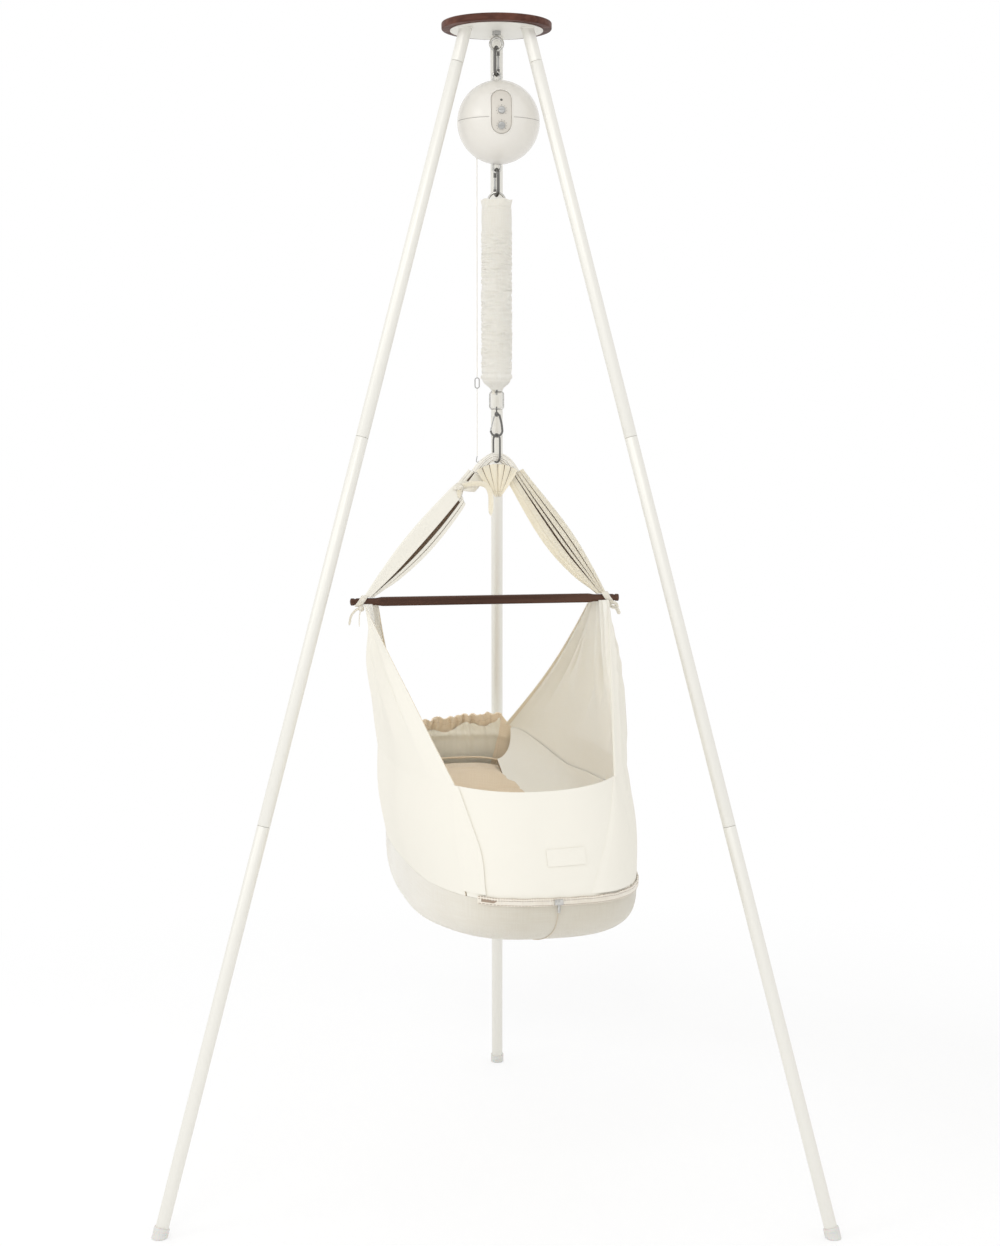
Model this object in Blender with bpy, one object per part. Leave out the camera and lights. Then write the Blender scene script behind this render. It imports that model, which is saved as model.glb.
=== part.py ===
"""Baby hammock hung from a tripod stand by a motor ball and a sprung chain of links.

Units are metres, +Z is up and -Y faces the viewer. Every piece is laid out around the
vertical axis of the tripod. At the end the whole assembly is moved so that the world
origin is at the middle of its footprint, on the floor.
"""
import math

import bmesh
import bpy
from mathutils import Matrix, Vector

# Shared clearances
GAP = 0.0003
RUNNING_CLEARANCE = 0.0003

# Stand
STAND_HEIGHT = 1.849
DISC_RADIUS = 0.0865
DISC_THICKNESS = 0.011
DISC_EDGE = 0.0022
PLATE_RADIUS = 0.073
PLATE_THICKNESS = 0.0015
FOOT_CIRCLE_RADIUS = 0.5875
LEG_HEAD_CIRCLE_RADIUS = 0.0554
LEG_RADIUS = 0.010
LEG_WALL = 0.0015
SOCKET_LENGTH = 0.0554
UPPER_SECTION_LENGTH = 0.6036
MIDDLE_SECTION_LENGTH = 0.6146
SPIGOT_LENGTH = 0.042
SPIGOT_WALL = 0.0013
SWAGE_LENGTH = 0.003
FOOT_RADIUS = 0.0120
FOOT_HEIGHT = 0.0165
FOOT_SOLE = 0.0085
LEG_AZIMUTHS = {"left": 210.0, "right": 330.0, "rear": 90.0}

# Eye bolt
EYE_RING_RADIUS = 0.00975
EYE_WIRE_RADIUS = 0.00225
EYE_DROP = 0.0195
EYE_STEM_RADIUS = 0.0030
EYE_STEM_IN_DISC = 0.0068
EYE_NUT_RADIUS = 0.0070
EYE_NUT_HEIGHT = 0.0056

# Carabiners
UPPER_CARABINER_LENGTH = 0.0480
LOWER_CARABINER_LENGTH = 0.0455
CARABINER_HALF_WIDTH = 0.0085
CARABINER_WIRE_RADIUS = 0.0024
CARABINER_GATE_RADIUS = 0.0018
CARABINER_GATE_START = 0.0020
CARABINER_GATE_END = 0.0035
UPPER_CARABINER_TURN = 72.0
LOWER_CARABINER_TURN = 108.0

# Motor ball
MOTOR_RADIUS = 0.065
MOTOR_WALL = 0.0028
MOTOR_SIDE_SHIFT = 0.0030
HANGER_LENGTH = 0.1588
HANGER_HALF_WIDTH = 0.0055
HANGER_WIRE_RADIUS = 0.0020
PANEL_WIDTH = 0.032
PANEL_HEIGHT = 0.069
PANEL_RECESS = 0.0009
PANEL_THICKNESS = 0.0030
PANEL_LATITUDE = 9.0
PANEL_TURN = 4.5
PANEL_POST_RADIUS = 0.0022
PANEL_POST_OFFSET = 0.0270
KNOB_RADIUS = 0.0058
KNOB_HEIGHT = 0.0030
KNOB_SHAFT_RADIUS = 0.0025
KNOB_SHAFT_LENGTH = 0.0085
KNOB_SLOT_WIDTH = 0.0014
KNOB_SLOT_DEPTH = 0.0010
SPEED_KNOB_LATITUDE = 8.8
TIMER_KNOB_LATITUDE = -11.9
LENS_LATITUDE = 24.2
LENS_RADIUS = 0.0017
BOARD_WIDTH = 0.022
BOARD_THICKNESS = 0.0016
BOARD_DISTANCE = 0.0470
POT_RADIUS = 0.0048
DRUM_RADIUS = 0.0100
DRUM_WIDTH = 0.0080
DRUM_FLANGE = 0.0018
DRUM_DROP = 0.0120
GEARBOX_RADIUS = 0.0128
GEARBOX_LENGTH = 0.0120
MOTOR_CAN_RADIUS = 0.0110
MOTOR_CAN_LENGTH = 0.0260
MOTOR_SHAFT_RADIUS = 0.0020
CRADLE_WIDTH = 0.0100
CRADLE_LENGTH = 0.0180
INLET_RADIUS = 0.0054
INLET_BORE_RADIUS = 0.0040
INLET_FLANGE_RADIUS = 0.0072
INLET_LENGTH = 0.0110
INLET_BORE_DEPTH = 0.0080
INLET_LATITUDE = -14.0

# Spring, its rings, its sleeve and its safety strap
TOP_RING_RADIUS = 0.0131
TOP_RING_WIRE_RADIUS = 0.0019
TOP_RING_LEG = 0.0095
SPRING_RADIUS = 0.0160
SPRING_WIRE_RADIUS = 0.0016
SPRING_TURNS = 14
SPRING_TOP_SPACE = 0.0140
SPRING_LOW_SPACE = 0.0255
SLEEVE_RADIUS = 0.0245
SLEEVE_WALL = 0.0018
SLEEVE_TOP_DROP = 0.0125
SLEEVE_TAIL_RADIUS = 0.0100
SLEEVE_TAIL_LENGTH = 0.0150
SLEEVE_TAIL_LIFT = 0.0026
SLEEVE_RUCHES = 11
SLEEVE_RUCHE_DEPTH = 0.0014
CHAIN_TO_BOTTOM_RING = 0.3138
BOTTOM_RING_HEIGHT = 0.0290
BOTTOM_RING_HALF_WIDTH = 0.0107
BOTTOM_RING_CORNER = 0.0034
BOTTOM_RING_WIRE_RADIUS = 0.0013
STRAP_BAND_WIDTH = 0.0045
STRAP_BAND_THICKNESS = 0.0013
STRAP_BAND_OFFSET = -0.0046

# Snap hook and hanging ring
SWIVEL_EYE_RADIUS = 0.0033
SWIVEL_WIRE_RADIUS = 0.0011
SWIVEL_STEM_RADIUS = 0.0012
SWIVEL_HEAD_RADIUS = 0.0021
SWIVEL_HEAD_HEIGHT = 0.0012
HOOK_BARREL_RADIUS = 0.0034
HOOK_BARREL_HEIGHT = 0.0056
HOOK_HALF_WIDTH = 0.0092
HOOK_WIRE_RADIUS = 0.0017
HOOK_BODY_LENGTH = 0.0360
HOOK_GATE_RADIUS = 0.0012
HANGING_RING_LENGTH = 0.0480
HANGING_RING_HALF_WIDTH = 0.0105
HANGING_RING_WIRE_RADIUS = 0.0015
HANGING_RING_TURN = 120.0

# Pull cord
CORD_RADIUS = 0.00075
CORD_OFFSET = 0.0310
CLIP_RISE = 0.1171
CLIP_LENGTH = 0.0180
CLIP_HALF_WIDTH = 0.0034
CLIP_WIRE_RADIUS = 0.0009
END_HOOK_LENGTH = 0.0100

# Hammock
HAMMOCK_YAW = 12.0
BAR_DROP = 0.2288
BAR_SIDE_SHIFT = -0.0170
BASKET_SIDE_SHIFT = 0.0120
BAR_HALF_LENGTH = 0.2200
BAR_BODY_HALF_LENGTH = 0.1800
BAR_BODY_HALF_DEPTH = 0.0066
BAR_BODY_HALF_HEIGHT = 0.0072
BAR_PEG_RADIUS = 0.0058
BAR_GROOVE_DEPTH = 0.0011
CLOTH_THICKNESS = 0.0024
GATHER_CENTRE = 0.1905
GATHER_HALF_WIDTH = 0.0085
APEX_HALF_LENGTH = 0.0300
APEX_DROP = 0.0260
APEX_BUNDLE_HALF_DEPTH = 0.0068
APEX_BUNDLE_HALF_HEIGHT = 0.0070
DRAPE_DEPTH = 0.0520
DRAPE_HALF_WIDTH = 0.0290
STRAP_HALF_WIDTH = 0.0220
STRAP_TOP_HALF_WIDTH = 0.0105
STRAP_FOLD = 0.0042
PANEL_DROP = 0.4076
BASKET_HALF_WIDTH = 0.1720
BASKET_HALF_LENGTH = 0.3750
BASKET_EXPONENT = 3.0
POCKET_DEPTH = 0.0950
WALL_HEIGHT = 0.1570
RIM_HALF_WIDTH = 0.1800
RIM_HALF_LENGTH = 0.3300
RIM_EXPONENT = 2.6
FOOT_CORNER_X = 0.1220
HEAD_CORNER_X = 0.0780
FOOT_SEAM_CORNER_X = 0.1250
HEAD_SEAM_CORNER_X = 0.1150
FOOT_EDGE_SAG = 0.0120
HEAD_EDGE_LIFT = 0.0100
HEAD_RUFFLE = 0.0035
SIDE_FOLD = 0.0055
MATTRESS_HALF_WIDTH = 0.1450
MATTRESS_HALF_LENGTH = 0.3450
MATTRESS_THICKNESS = 0.0780
MATTRESS_HEAD_RISE = 0.1050
MATTRESS_FOOT_RISE = 0.0450
ZIP_TAPE_HEIGHT = 0.0110
ZIP_TAPE_THICKNESS = 0.0016
ZIP_SLIDER_LENGTH = 0.0130
ZIP_SLIDER_HEIGHT = 0.0080
ZIP_SLIDER_THICKNESS = 0.0028
ZIP_PULL_LENGTH = 0.0160
TIE_BAND_WIDTH = 0.0050
TIE_BAND_THICKNESS = 0.0022
TIE_KNOT_RADIUS = 0.0050
TIE_TAIL_LENGTH = 0.0240

# Facets
TUBE_SIDES = 12
ROUND_SIDES = 32
BALL_SIDES = 24
WIRE_SIDES = 8

FINISHES = {
    "walnut": ((0.085, 0.032, 0.020), 0.45, 0.0),
    "cream_paint": ((0.80, 0.785, 0.73), 0.38, 0.0),
    "cream_plastic": ((0.76, 0.735, 0.68), 0.35, 0.0),
    "gunmetal": ((0.16, 0.155, 0.15), 0.28, 1.0),
    "chrome": ((0.62, 0.61, 0.59), 0.16, 1.0),
    "steel": ((0.45, 0.45, 0.44), 0.35, 1.0),
    "rubber": ((0.70, 0.69, 0.66), 0.60, 0.0),
    "natural_cotton": ((0.84, 0.81, 0.73), 0.90, 0.0),
    "beige_cotton": ((0.70, 0.58, 0.43), 0.90, 0.0),
    "lens": ((0.10, 0.10, 0.09), 0.20, 0.0),
    "board_green": ((0.05, 0.16, 0.08), 0.50, 0.0),
    "dark_plastic": ((0.06, 0.06, 0.06), 0.45, 0.0),
    "zip_tape": ((0.62, 0.54, 0.43), 0.80, 0.0),
}

X_AXIS = Vector((1.0, 0.0, 0.0))
Y_AXIS = Vector((0.0, 1.0, 0.0))
Z_AXIS = Vector((0.0, 0.0, 1.0))

PLATE_UNDERSIDE = STAND_HEIGHT - DISC_THICKNESS - GAP - PLATE_THICKNESS
DISC_UNDERSIDE = STAND_HEIGHT - DISC_THICKNESS

# Heights of the chain of links, each from the one that carries it
EYE_CENTRE = PLATE_UNDERSIDE - EYE_DROP
EYE_SEAT = EYE_CENTRE - EYE_RING_RADIUS
UPPER_CARABINER_TOP = EYE_SEAT + EYE_WIRE_RADIUS + GAP + 2 * CARABINER_WIRE_RADIUS
UPPER_CARABINER_BOTTOM = UPPER_CARABINER_TOP - UPPER_CARABINER_LENGTH
HANGER_TOP = UPPER_CARABINER_BOTTOM + 2 * CARABINER_WIRE_RADIUS + GAP + 2 * HANGER_WIRE_RADIUS
HANGER_BOTTOM = HANGER_TOP - HANGER_LENGTH
MOTOR_HEIGHT = 0.5 * (HANGER_TOP + HANGER_BOTTOM)
LOWER_CARABINER_TOP = HANGER_BOTTOM + 2 * HANGER_WIRE_RADIUS + GAP + 2 * CARABINER_WIRE_RADIUS
LOWER_CARABINER_BOTTOM = LOWER_CARABINER_TOP - LOWER_CARABINER_LENGTH
TOP_RING_TOP = LOWER_CARABINER_BOTTOM + 2 * CARABINER_WIRE_RADIUS + GAP + 2 * TOP_RING_WIRE_RADIUS
TOP_RING_CENTRE = TOP_RING_TOP - TOP_RING_WIRE_RADIUS - TOP_RING_RADIUS
TOP_RING_BAR = TOP_RING_CENTRE - TOP_RING_LEG
BOTTOM_RING_TOP = TOP_RING_TOP - CHAIN_TO_BOTTOM_RING
BOTTOM_RING_BOTTOM = BOTTOM_RING_TOP - BOTTOM_RING_HEIGHT
BOTTOM_RING_BAR = BOTTOM_RING_TOP - BOTTOM_RING_WIRE_RADIUS
SWIVEL_EYE_CENTRE = (
    BOTTOM_RING_BOTTOM + 2 * BOTTOM_RING_WIRE_RADIUS + GAP + SWIVEL_WIRE_RADIUS - SWIVEL_EYE_RADIUS
)
SWIVEL_EYE_BOTTOM = SWIVEL_EYE_CENTRE - SWIVEL_EYE_RADIUS - SWIVEL_WIRE_RADIUS
HOOK_BARREL_TOP = SWIVEL_EYE_BOTTOM - GAP
HOOK_BARREL_BOTTOM = HOOK_BARREL_TOP - HOOK_BARREL_HEIGHT
HOOK_BOTTOM = HOOK_BARREL_BOTTOM - HOOK_BODY_LENGTH + HOOK_WIRE_RADIUS
HANGING_RING_TOP = HOOK_BOTTOM + 2 * HOOK_WIRE_RADIUS + GAP + 2 * HANGING_RING_WIRE_RADIUS
HANGING_RING_BOTTOM = HANGING_RING_TOP - HANGING_RING_LENGTH
APEX_SEAT = HANGING_RING_BOTTOM + 2 * HANGING_RING_WIRE_RADIUS + GAP
APEX_CENTRE = APEX_SEAT + APEX_BUNDLE_HALF_HEIGHT
CLIP_HEIGHT = APEX_CENTRE + CLIP_RISE
BAR_HEIGHT = APEX_CENTRE - BAR_DROP
SEAM_HEIGHT = BAR_HEIGHT - PANEL_DROP
RIM_HEIGHT = SEAM_HEIGHT + WALL_HEIGHT


# Shapes as lists of points and faces

def ring_section(radius, sides):
    """Points of a round section, as offsets across and up."""
    step = 2 * math.pi / sides
    return [(radius * math.cos(step * i), radius * math.sin(step * i)) for i in range(sides)]


def stack(rings, closed=False):
    """Join rings of points one after another; a single point closes to a tip."""
    verts = []
    index = []
    for ring in rings:
        index.append(list(range(len(verts), len(verts) + len(ring))))
        verts.extend(Vector(point) for point in ring)
    faces = []
    pairs = list(zip(index[:-1], index[1:]))
    if closed:
        pairs.append((index[-1], index[0]))
    for lower, upper in pairs:
        count = max(len(lower), len(upper))
        for i in range(count):
            j = (i + 1) % count
            if len(lower) == 1:
                faces.append((lower[0], upper[j], upper[i]))
            elif len(upper) == 1:
                faces.append((lower[i], lower[j], upper[0]))
            else:
                faces.append((lower[i], lower[j], upper[j], upper[i]))
    if not closed:
        if len(index[0]) > 1:
            faces.append(tuple(reversed(index[0])))
        if len(index[-1]) > 1:
            faces.append(tuple(index[-1]))
    return verts, faces


def lathe(profile, sides, closed=False):
    """Turn a profile of (radius, height) about Z."""
    rings = []
    for radius, height in profile:
        if radius < 1e-7:
            rings.append([(0.0, 0.0, height)])
            continue
        rings.append([(x, y, height) for x, y in ring_section(radius, sides)])
    return stack(rings, closed)


def sweep(points, sections, up, closed=False):
    """Carry a section along points. sections is one section or one for each point."""
    points = [Vector(point) for point in points]
    count = len(points)
    if isinstance(sections[0], tuple):
        sections = [sections] * count
    normal = Vector(up)
    rings = []
    for i, point in enumerate(points):
        before = points[i - 1] if (closed or i > 0) else point
        after = points[(i + 1) % count] if (closed or i < count - 1) else point
        tangent = (after - before).normalized()
        normal = (normal - tangent * normal.dot(tangent)).normalized()
        side = tangent.cross(normal)
        rings.append([point + side * across + normal * high for across, high in sections[i]])
    return stack(rings, closed)


def wire(points, radius, up, closed=False, sides=WIRE_SIDES):
    """A round wire along points."""
    return sweep(points, ring_section(radius, sides), up, closed)


def sheet(grid, thickness):
    """A closed sheet of even thickness around a grid of points."""
    rows = len(grid)
    cols = len(grid[0])
    front = []
    back = []
    for i in range(rows):
        for j in range(cols):
            along = grid[i][min(j + 1, cols - 1)] - grid[i][max(j - 1, 0)]
            down = grid[min(i + 1, rows - 1)][j] - grid[max(i - 1, 0)][j]
            offset = along.cross(down).normalized() * (0.5 * thickness)
            front.append(grid[i][j] + offset)
            back.append(grid[i][j] - offset)
    shift = rows * cols
    faces = []
    for i in range(rows - 1):
        for j in range(cols - 1):
            a = i * cols + j
            quad = (a, a + 1, a + cols + 1, a + cols)
            faces.append(quad)
            faces.append(tuple(shift + k for k in reversed(quad)))
    edge = [j for j in range(cols)]
    edge += [i * cols + cols - 1 for i in range(1, rows)]
    edge += [(rows - 1) * cols + j for j in range(cols - 2, -1, -1)]
    edge += [i * cols for i in range(rows - 2, 0, -1)]
    for k, a in enumerate(edge):
        b = edge[(k + 1) % len(edge)]
        faces.append((b, a, a + shift, b + shift))
    return front + back, faces


def moved(shape, matrix):
    """A shape carried by a matrix."""
    verts, faces = shape
    return [matrix @ Vector(point) for point in verts], faces


def box(low, high):
    """A block between two corners."""
    x0, y0, z0 = low
    x1, y1, z1 = high
    return stack([
        [(x0, y0, z0), (x1, y0, z0), (x1, y1, z0), (x0, y1, z0)],
        [(x0, y0, z1), (x1, y0, z1), (x1, y1, z1), (x0, y1, z1)],
    ])


def rod(start, end, radius, sides=WIRE_SIDES):
    """A straight round rod."""
    start = Vector(start)
    end = Vector(end)
    return sweep([start, end], ring_section(radius, sides), (end - start).orthogonal())


def axis_matrix(point, direction):
    """A matrix that carries +Z to a direction at a point."""
    return Matrix.Translation(Vector(point)) @ Vector(direction).to_track_quat("Z", "Y").to_matrix().to_4x4()


def arc(centre, radius, start, end, steps, across, high):
    """Points of an arc in the plane of two directions, angles in degrees."""
    points = []
    for i in range(steps + 1):
        angle = math.radians(start + (end - start) * i / steps)
        points.append(Vector(centre) + across * (radius * math.cos(angle)) + high * (radius * math.sin(angle)))
    return points


def blend(a, b, t):
    """The value a share t of the way from a to b."""
    return a + (b - a) * t


def ease(t):
    """A share that starts and ends gently."""
    return t * t * (3.0 - 2.0 * t)


# Objects

def make_material(name, finish):
    """The finish of one piece."""
    colour, roughness, metallic = FINISHES[finish]
    material = bpy.data.materials.new(name)
    material.use_nodes = True
    shader = material.node_tree.nodes["Principled BSDF"]
    shader.inputs["Base Color"].default_value = (*colour, 1.0)
    shader.inputs["Roughness"].default_value = roughness
    shader.inputs["Metallic"].default_value = metallic
    material.diffuse_color = (*colour, 1.0)
    return material


def new_object(name, shape, origin):
    """A mesh object whose own origin lies at a point of the assembly."""
    origin = Vector(origin)
    verts, faces = shape
    mesh = bpy.data.meshes.new(name)
    mesh.from_pydata([Vector(point) - origin for point in verts], [], faces)
    shell = bmesh.new()
    shell.from_mesh(mesh)
    bmesh.ops.recalc_face_normals(shell, faces=shell.faces)
    shell.to_mesh(mesh)
    shell.free()
    obj = bpy.data.objects.new(name, mesh)
    obj.location = origin
    obj.parent = bpy.data.objects["assembly_frame"]
    bpy.context.scene.collection.objects.link(obj)
    return obj


def add_piece(name, shape, finish, origin=(0.0, 0.0, 0.0)):
    """One sub-part, with its origin on its joint's axis."""
    obj = new_object(name, shape, origin)
    obj.data.shade_smooth()
    obj.data.set_sharp_from_angle(angle=math.radians(38.0))
    obj.data.materials.append(make_material(name + "_finish", finish))
    return obj


def add_operand(name, shape):
    """A shape that cuts or extends a piece and is no piece itself."""
    obj = new_object(name, shape, (0.0, 0.0, 0.0))
    obj.hide_render = True
    obj.display_type = "WIRE"
    return obj


def combine(target, shapes, operation, label):
    """Cut shapes from a piece, or add them to it."""
    for number, shape in enumerate(shapes):
        operand = add_operand(f"{label}_{number}", shape)
        modifier = target.modifiers.new(f"{label}_{number}", "BOOLEAN")
        modifier.operation = operation
        modifier.solver = "EXACT"
        modifier.object = operand


# Stand

def leg_axis(azimuth):
    """Head point under the plate, and direction down the leg."""
    angle = math.radians(azimuth)
    out = Vector((math.cos(angle), math.sin(angle), 0.0))
    head = out * LEG_HEAD_CIRCLE_RADIUS + Z_AXIS * PLATE_UNDERSIDE
    foot = out * FOOT_CIRCLE_RADIUS
    return head, (foot - head).normalized(), (foot - head).length


def leg_ring(head, direction, distance, radius, level=None):
    """A ring round a leg's axis, square to it or cut level at a height."""
    side = direction.cross(Z_AXIS).normalized()
    across = side.cross(direction)
    ring = []
    for a, b in ring_section(radius, TUBE_SIDES):
        point = head + direction * distance + side * a + across * b
        if level is not None:
            point = point + direction * ((level - point.z) / direction.z)
        ring.append(point)
    return ring


def leg_socket(head, direction):
    """The short tube under the plate, cut level where it meets the plate."""
    bore = LEG_RADIUS - LEG_WALL
    level = PLATE_UNDERSIDE + 0.5 * PLATE_THICKNESS
    return stack([
        leg_ring(head, direction, 0.0, LEG_RADIUS, level),
        leg_ring(head, direction, SOCKET_LENGTH, LEG_RADIUS),
        leg_ring(head, direction, SOCKET_LENGTH, bore),
        leg_ring(head, direction, 0.0, bore, level),
    ], closed=True)


def leg_tube(head, direction, start, end):
    """A section of a leg, its upper end drawn down to a spigot that fits the tube above."""
    bore = LEG_RADIUS - LEG_WALL
    spigot = bore - GAP
    spigot_bore = spigot - SPIGOT_WALL
    return stack([
        leg_ring(head, direction, start - SPIGOT_LENGTH, spigot),
        leg_ring(head, direction, start, spigot),
        leg_ring(head, direction, start, LEG_RADIUS),
        leg_ring(head, direction, end, LEG_RADIUS),
        leg_ring(head, direction, end, bore),
        leg_ring(head, direction, start + 2 * SWAGE_LENGTH, bore),
        leg_ring(head, direction, start + SWAGE_LENGTH, spigot_bore),
        leg_ring(head, direction, start - SPIGOT_LENGTH, spigot_bore),
    ], closed=True)


def build_top():
    """Walnut disc, and steel plate with its welded leg sockets."""
    disc = add_piece("top_disc", lathe([
        (0.0, DISC_UNDERSIDE),
        (DISC_RADIUS - DISC_EDGE, DISC_UNDERSIDE),
        (DISC_RADIUS - 0.3 * DISC_EDGE, DISC_UNDERSIDE + 0.3 * DISC_EDGE),
        (DISC_RADIUS, DISC_UNDERSIDE + DISC_EDGE),
        (DISC_RADIUS, STAND_HEIGHT - DISC_EDGE),
        (DISC_RADIUS - 0.3 * DISC_EDGE, STAND_HEIGHT - 0.3 * DISC_EDGE),
        (DISC_RADIUS - DISC_EDGE, STAND_HEIGHT),
        (0.0, STAND_HEIGHT),
    ], ROUND_SIDES), "walnut")
    plate = add_piece("top_plate", lathe([
        (0.0, PLATE_UNDERSIDE),
        (PLATE_RADIUS, PLATE_UNDERSIDE),
        (PLATE_RADIUS, PLATE_UNDERSIDE + PLATE_THICKNESS),
        (0.0, PLATE_UNDERSIDE + PLATE_THICKNESS),
    ], ROUND_SIDES), "cream_paint")
    hole = rod((0, 0, PLATE_UNDERSIDE - 0.01), (0, 0, DISC_UNDERSIDE + EYE_STEM_IN_DISC + GAP),
               EYE_STEM_RADIUS + RUNNING_CLEARANCE, 12)
    combine(disc, [hole], "DIFFERENCE", "disc_hole")
    combine(plate, [leg_socket(*leg_axis(azimuth)[:2]) for azimuth in LEG_AZIMUTHS.values()], "UNION", "leg_socket")
    combine(plate, [hole], "DIFFERENCE", "plate_hole")


def build_leg(name, azimuth):
    """One leg: its three sections and its foot."""
    head, direction, length = leg_axis(azimuth)
    upper = SOCKET_LENGTH
    middle = upper + UPPER_SECTION_LENGTH
    lower = middle + MIDDLE_SECTION_LENGTH
    end = length - FOOT_SOLE
    add_piece("leg_upper_" + name, leg_tube(head, direction, upper + GAP, middle), "cream_paint")
    add_piece("leg_middle_" + name, leg_tube(head, direction, middle + GAP, lower), "cream_paint")
    add_piece("leg_lower_" + name, leg_tube(head, direction, lower + GAP, end), "cream_paint")
    foot_top = length - FOOT_HEIGHT
    foot_bore = LEG_RADIUS + GAP
    add_piece("foot_" + name, stack([
        leg_ring(head, direction, length, FOOT_RADIUS, 0.0),
        leg_ring(head, direction, foot_top + 0.0015, FOOT_RADIUS),
        leg_ring(head, direction, foot_top, FOOT_RADIUS - 0.0007),
        leg_ring(head, direction, foot_top, foot_bore),
        leg_ring(head, direction, end + GAP, foot_bore),
    ]), "rubber")


def build_stand():
    """Top and legs."""
    build_top()
    for name, azimuth in LEG_AZIMUTHS.items():
        build_leg(name, azimuth)


# Chain of links

def build_eye_bolt():
    """Eye bolt and nut."""
    ring = wire(arc((0, 0, EYE_CENTRE), EYE_RING_RADIUS, 0, 340, 17, X_AXIS, Z_AXIS),
                EYE_WIRE_RADIUS, Y_AXIS, closed=True)
    bolt = add_piece("eye_bolt", ring, "chrome")
    stem = rod((0, 0, EYE_CENTRE + EYE_RING_RADIUS), (0, 0, DISC_UNDERSIDE + EYE_STEM_IN_DISC),
               EYE_STEM_RADIUS, 12)
    combine(bolt, [stem], "UNION", "eye_stem")
    nut_top = PLATE_UNDERSIDE - GAP
    nut = add_piece("eye_bolt_nut", rod((0, 0, nut_top - EYE_NUT_HEIGHT), (0, 0, nut_top), EYE_NUT_RADIUS, 6),
                    "steel")
    bore = rod((0, 0, nut_top - 0.02), (0, 0, nut_top + 0.01), EYE_STEM_RADIUS + RUNNING_CLEARANCE, 12)
    combine(nut, [bore], "DIFFERENCE", "nut_bore")


def build_carabiner(name, top, bottom, turn):
    """A long link with a sprung gate on one side. The gate's origin is on its pivot."""
    angle = math.radians(turn)
    across = Vector((math.cos(angle), math.sin(angle), 0.0))
    depth = across.cross(Z_AXIS)
    half = CARABINER_HALF_WIDTH
    upper = top - CARABINER_WIRE_RADIUS - half
    lower = bottom + CARABINER_WIRE_RADIUS + half
    gate_low = lower + CARABINER_GATE_START
    gate_high = upper - CARABINER_GATE_END
    path = [across * half + Z_AXIS * gate_high]
    path += arc((0, 0, upper), half, 0, 180, 8, across, Z_AXIS)
    path += arc((0, 0, lower), half, 180, 360, 8, across, Z_AXIS)
    path += [across * half + Z_AXIS * gate_low]
    seat = CARABINER_GATE_RADIUS + GAP
    pivot = across * half + Z_AXIS * (gate_low + seat)
    tip = across * half + Z_AXIS * (gate_high - seat)
    add_piece(name, wire(path, CARABINER_WIRE_RADIUS, depth), "gunmetal", path[2])
    add_piece(name + "_gate", gate_bar(pivot, tip, CARABINER_GATE_RADIUS, depth), "steel", pivot)


def gate_bar(pivot, tip, radius, up):
    """A bar with round ends."""
    along = (tip - pivot).normalized()
    points = []
    sections = []
    for share in (-0.98, -0.7, 0.0):
        points.append(pivot + along * (radius * share))
        sections.append(ring_section(radius * math.sqrt(1 - share * share), WIRE_SIDES))
    for share in (0.0, 0.7, 0.98):
        points.append(tip + along * (radius * share))
        sections.append(ring_section(radius * math.sqrt(1 - share * share), WIRE_SIDES))
    return sweep(points, sections, up)


# Motor ball

def ball_centre():
    """Middle of the motor ball."""
    return Vector((MOTOR_SIDE_SHIFT, 0.0, MOTOR_HEIGHT))


def ball_direction(latitude, turn=PANEL_TURN):
    """Direction out of the ball's front, or out of its back for a turn of 180 degrees."""
    lat = math.radians(latitude)
    side = math.radians(turn)
    return Vector((math.sin(side) * math.cos(lat), -math.cos(side) * math.cos(lat), math.sin(lat)))


def half_shell(upper):
    """One half of the ball's shell, open at the seam."""
    sign = 1.0 if upper else -1.0
    inner = MOTOR_RADIUS - MOTOR_WALL
    profile = []
    for i in range(7):
        angle = math.radians(90.0 - i * 90.0 / 6)
        profile.append((MOTOR_RADIUS * math.cos(angle), max(MOTOR_RADIUS * math.sin(angle), 0.5 * GAP)))
    for i in range(5):
        angle = math.radians(i * 90.0 / 4)
        profile.append((inner * math.cos(angle), max(inner * math.sin(angle), 0.5 * GAP)))
    profile[0] = (0.0, MOTOR_RADIUS)
    profile[-1] = (0.0, inner)
    shape = lathe([(radius, sign * height) for radius, height in profile], BALL_SIDES)
    return moved(shape, Matrix.Translation(ball_centre()))


def stadium(width, height, steps=6):
    """Outline of an upright stadium, as (across, high) pairs."""
    radius = 0.5 * width
    straight = 0.5 * height - radius
    outline = []
    for i in range(steps + 1):
        angle = math.pi * i / steps
        outline.append((radius * math.cos(angle), straight + radius * math.sin(angle)))
    for i in range(steps + 1):
        angle = math.pi + math.pi * i / steps
        outline.append((radius * math.cos(angle), -straight + radius * math.sin(angle)))
    return outline


def panel_axes():
    """Panel's outward direction, its direction across and its direction up."""
    out = ball_direction(PANEL_LATITUDE)
    across = Z_AXIS.cross(out).normalized()
    high = out.cross(across)
    return out, across, high


def panel_point(a, b, radius):
    """A point of the panel's curved face."""
    out, across, high = panel_axes()
    return ball_centre() + out * math.sqrt(radius * radius - a * a - b * b) + across * a + high * b


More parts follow.
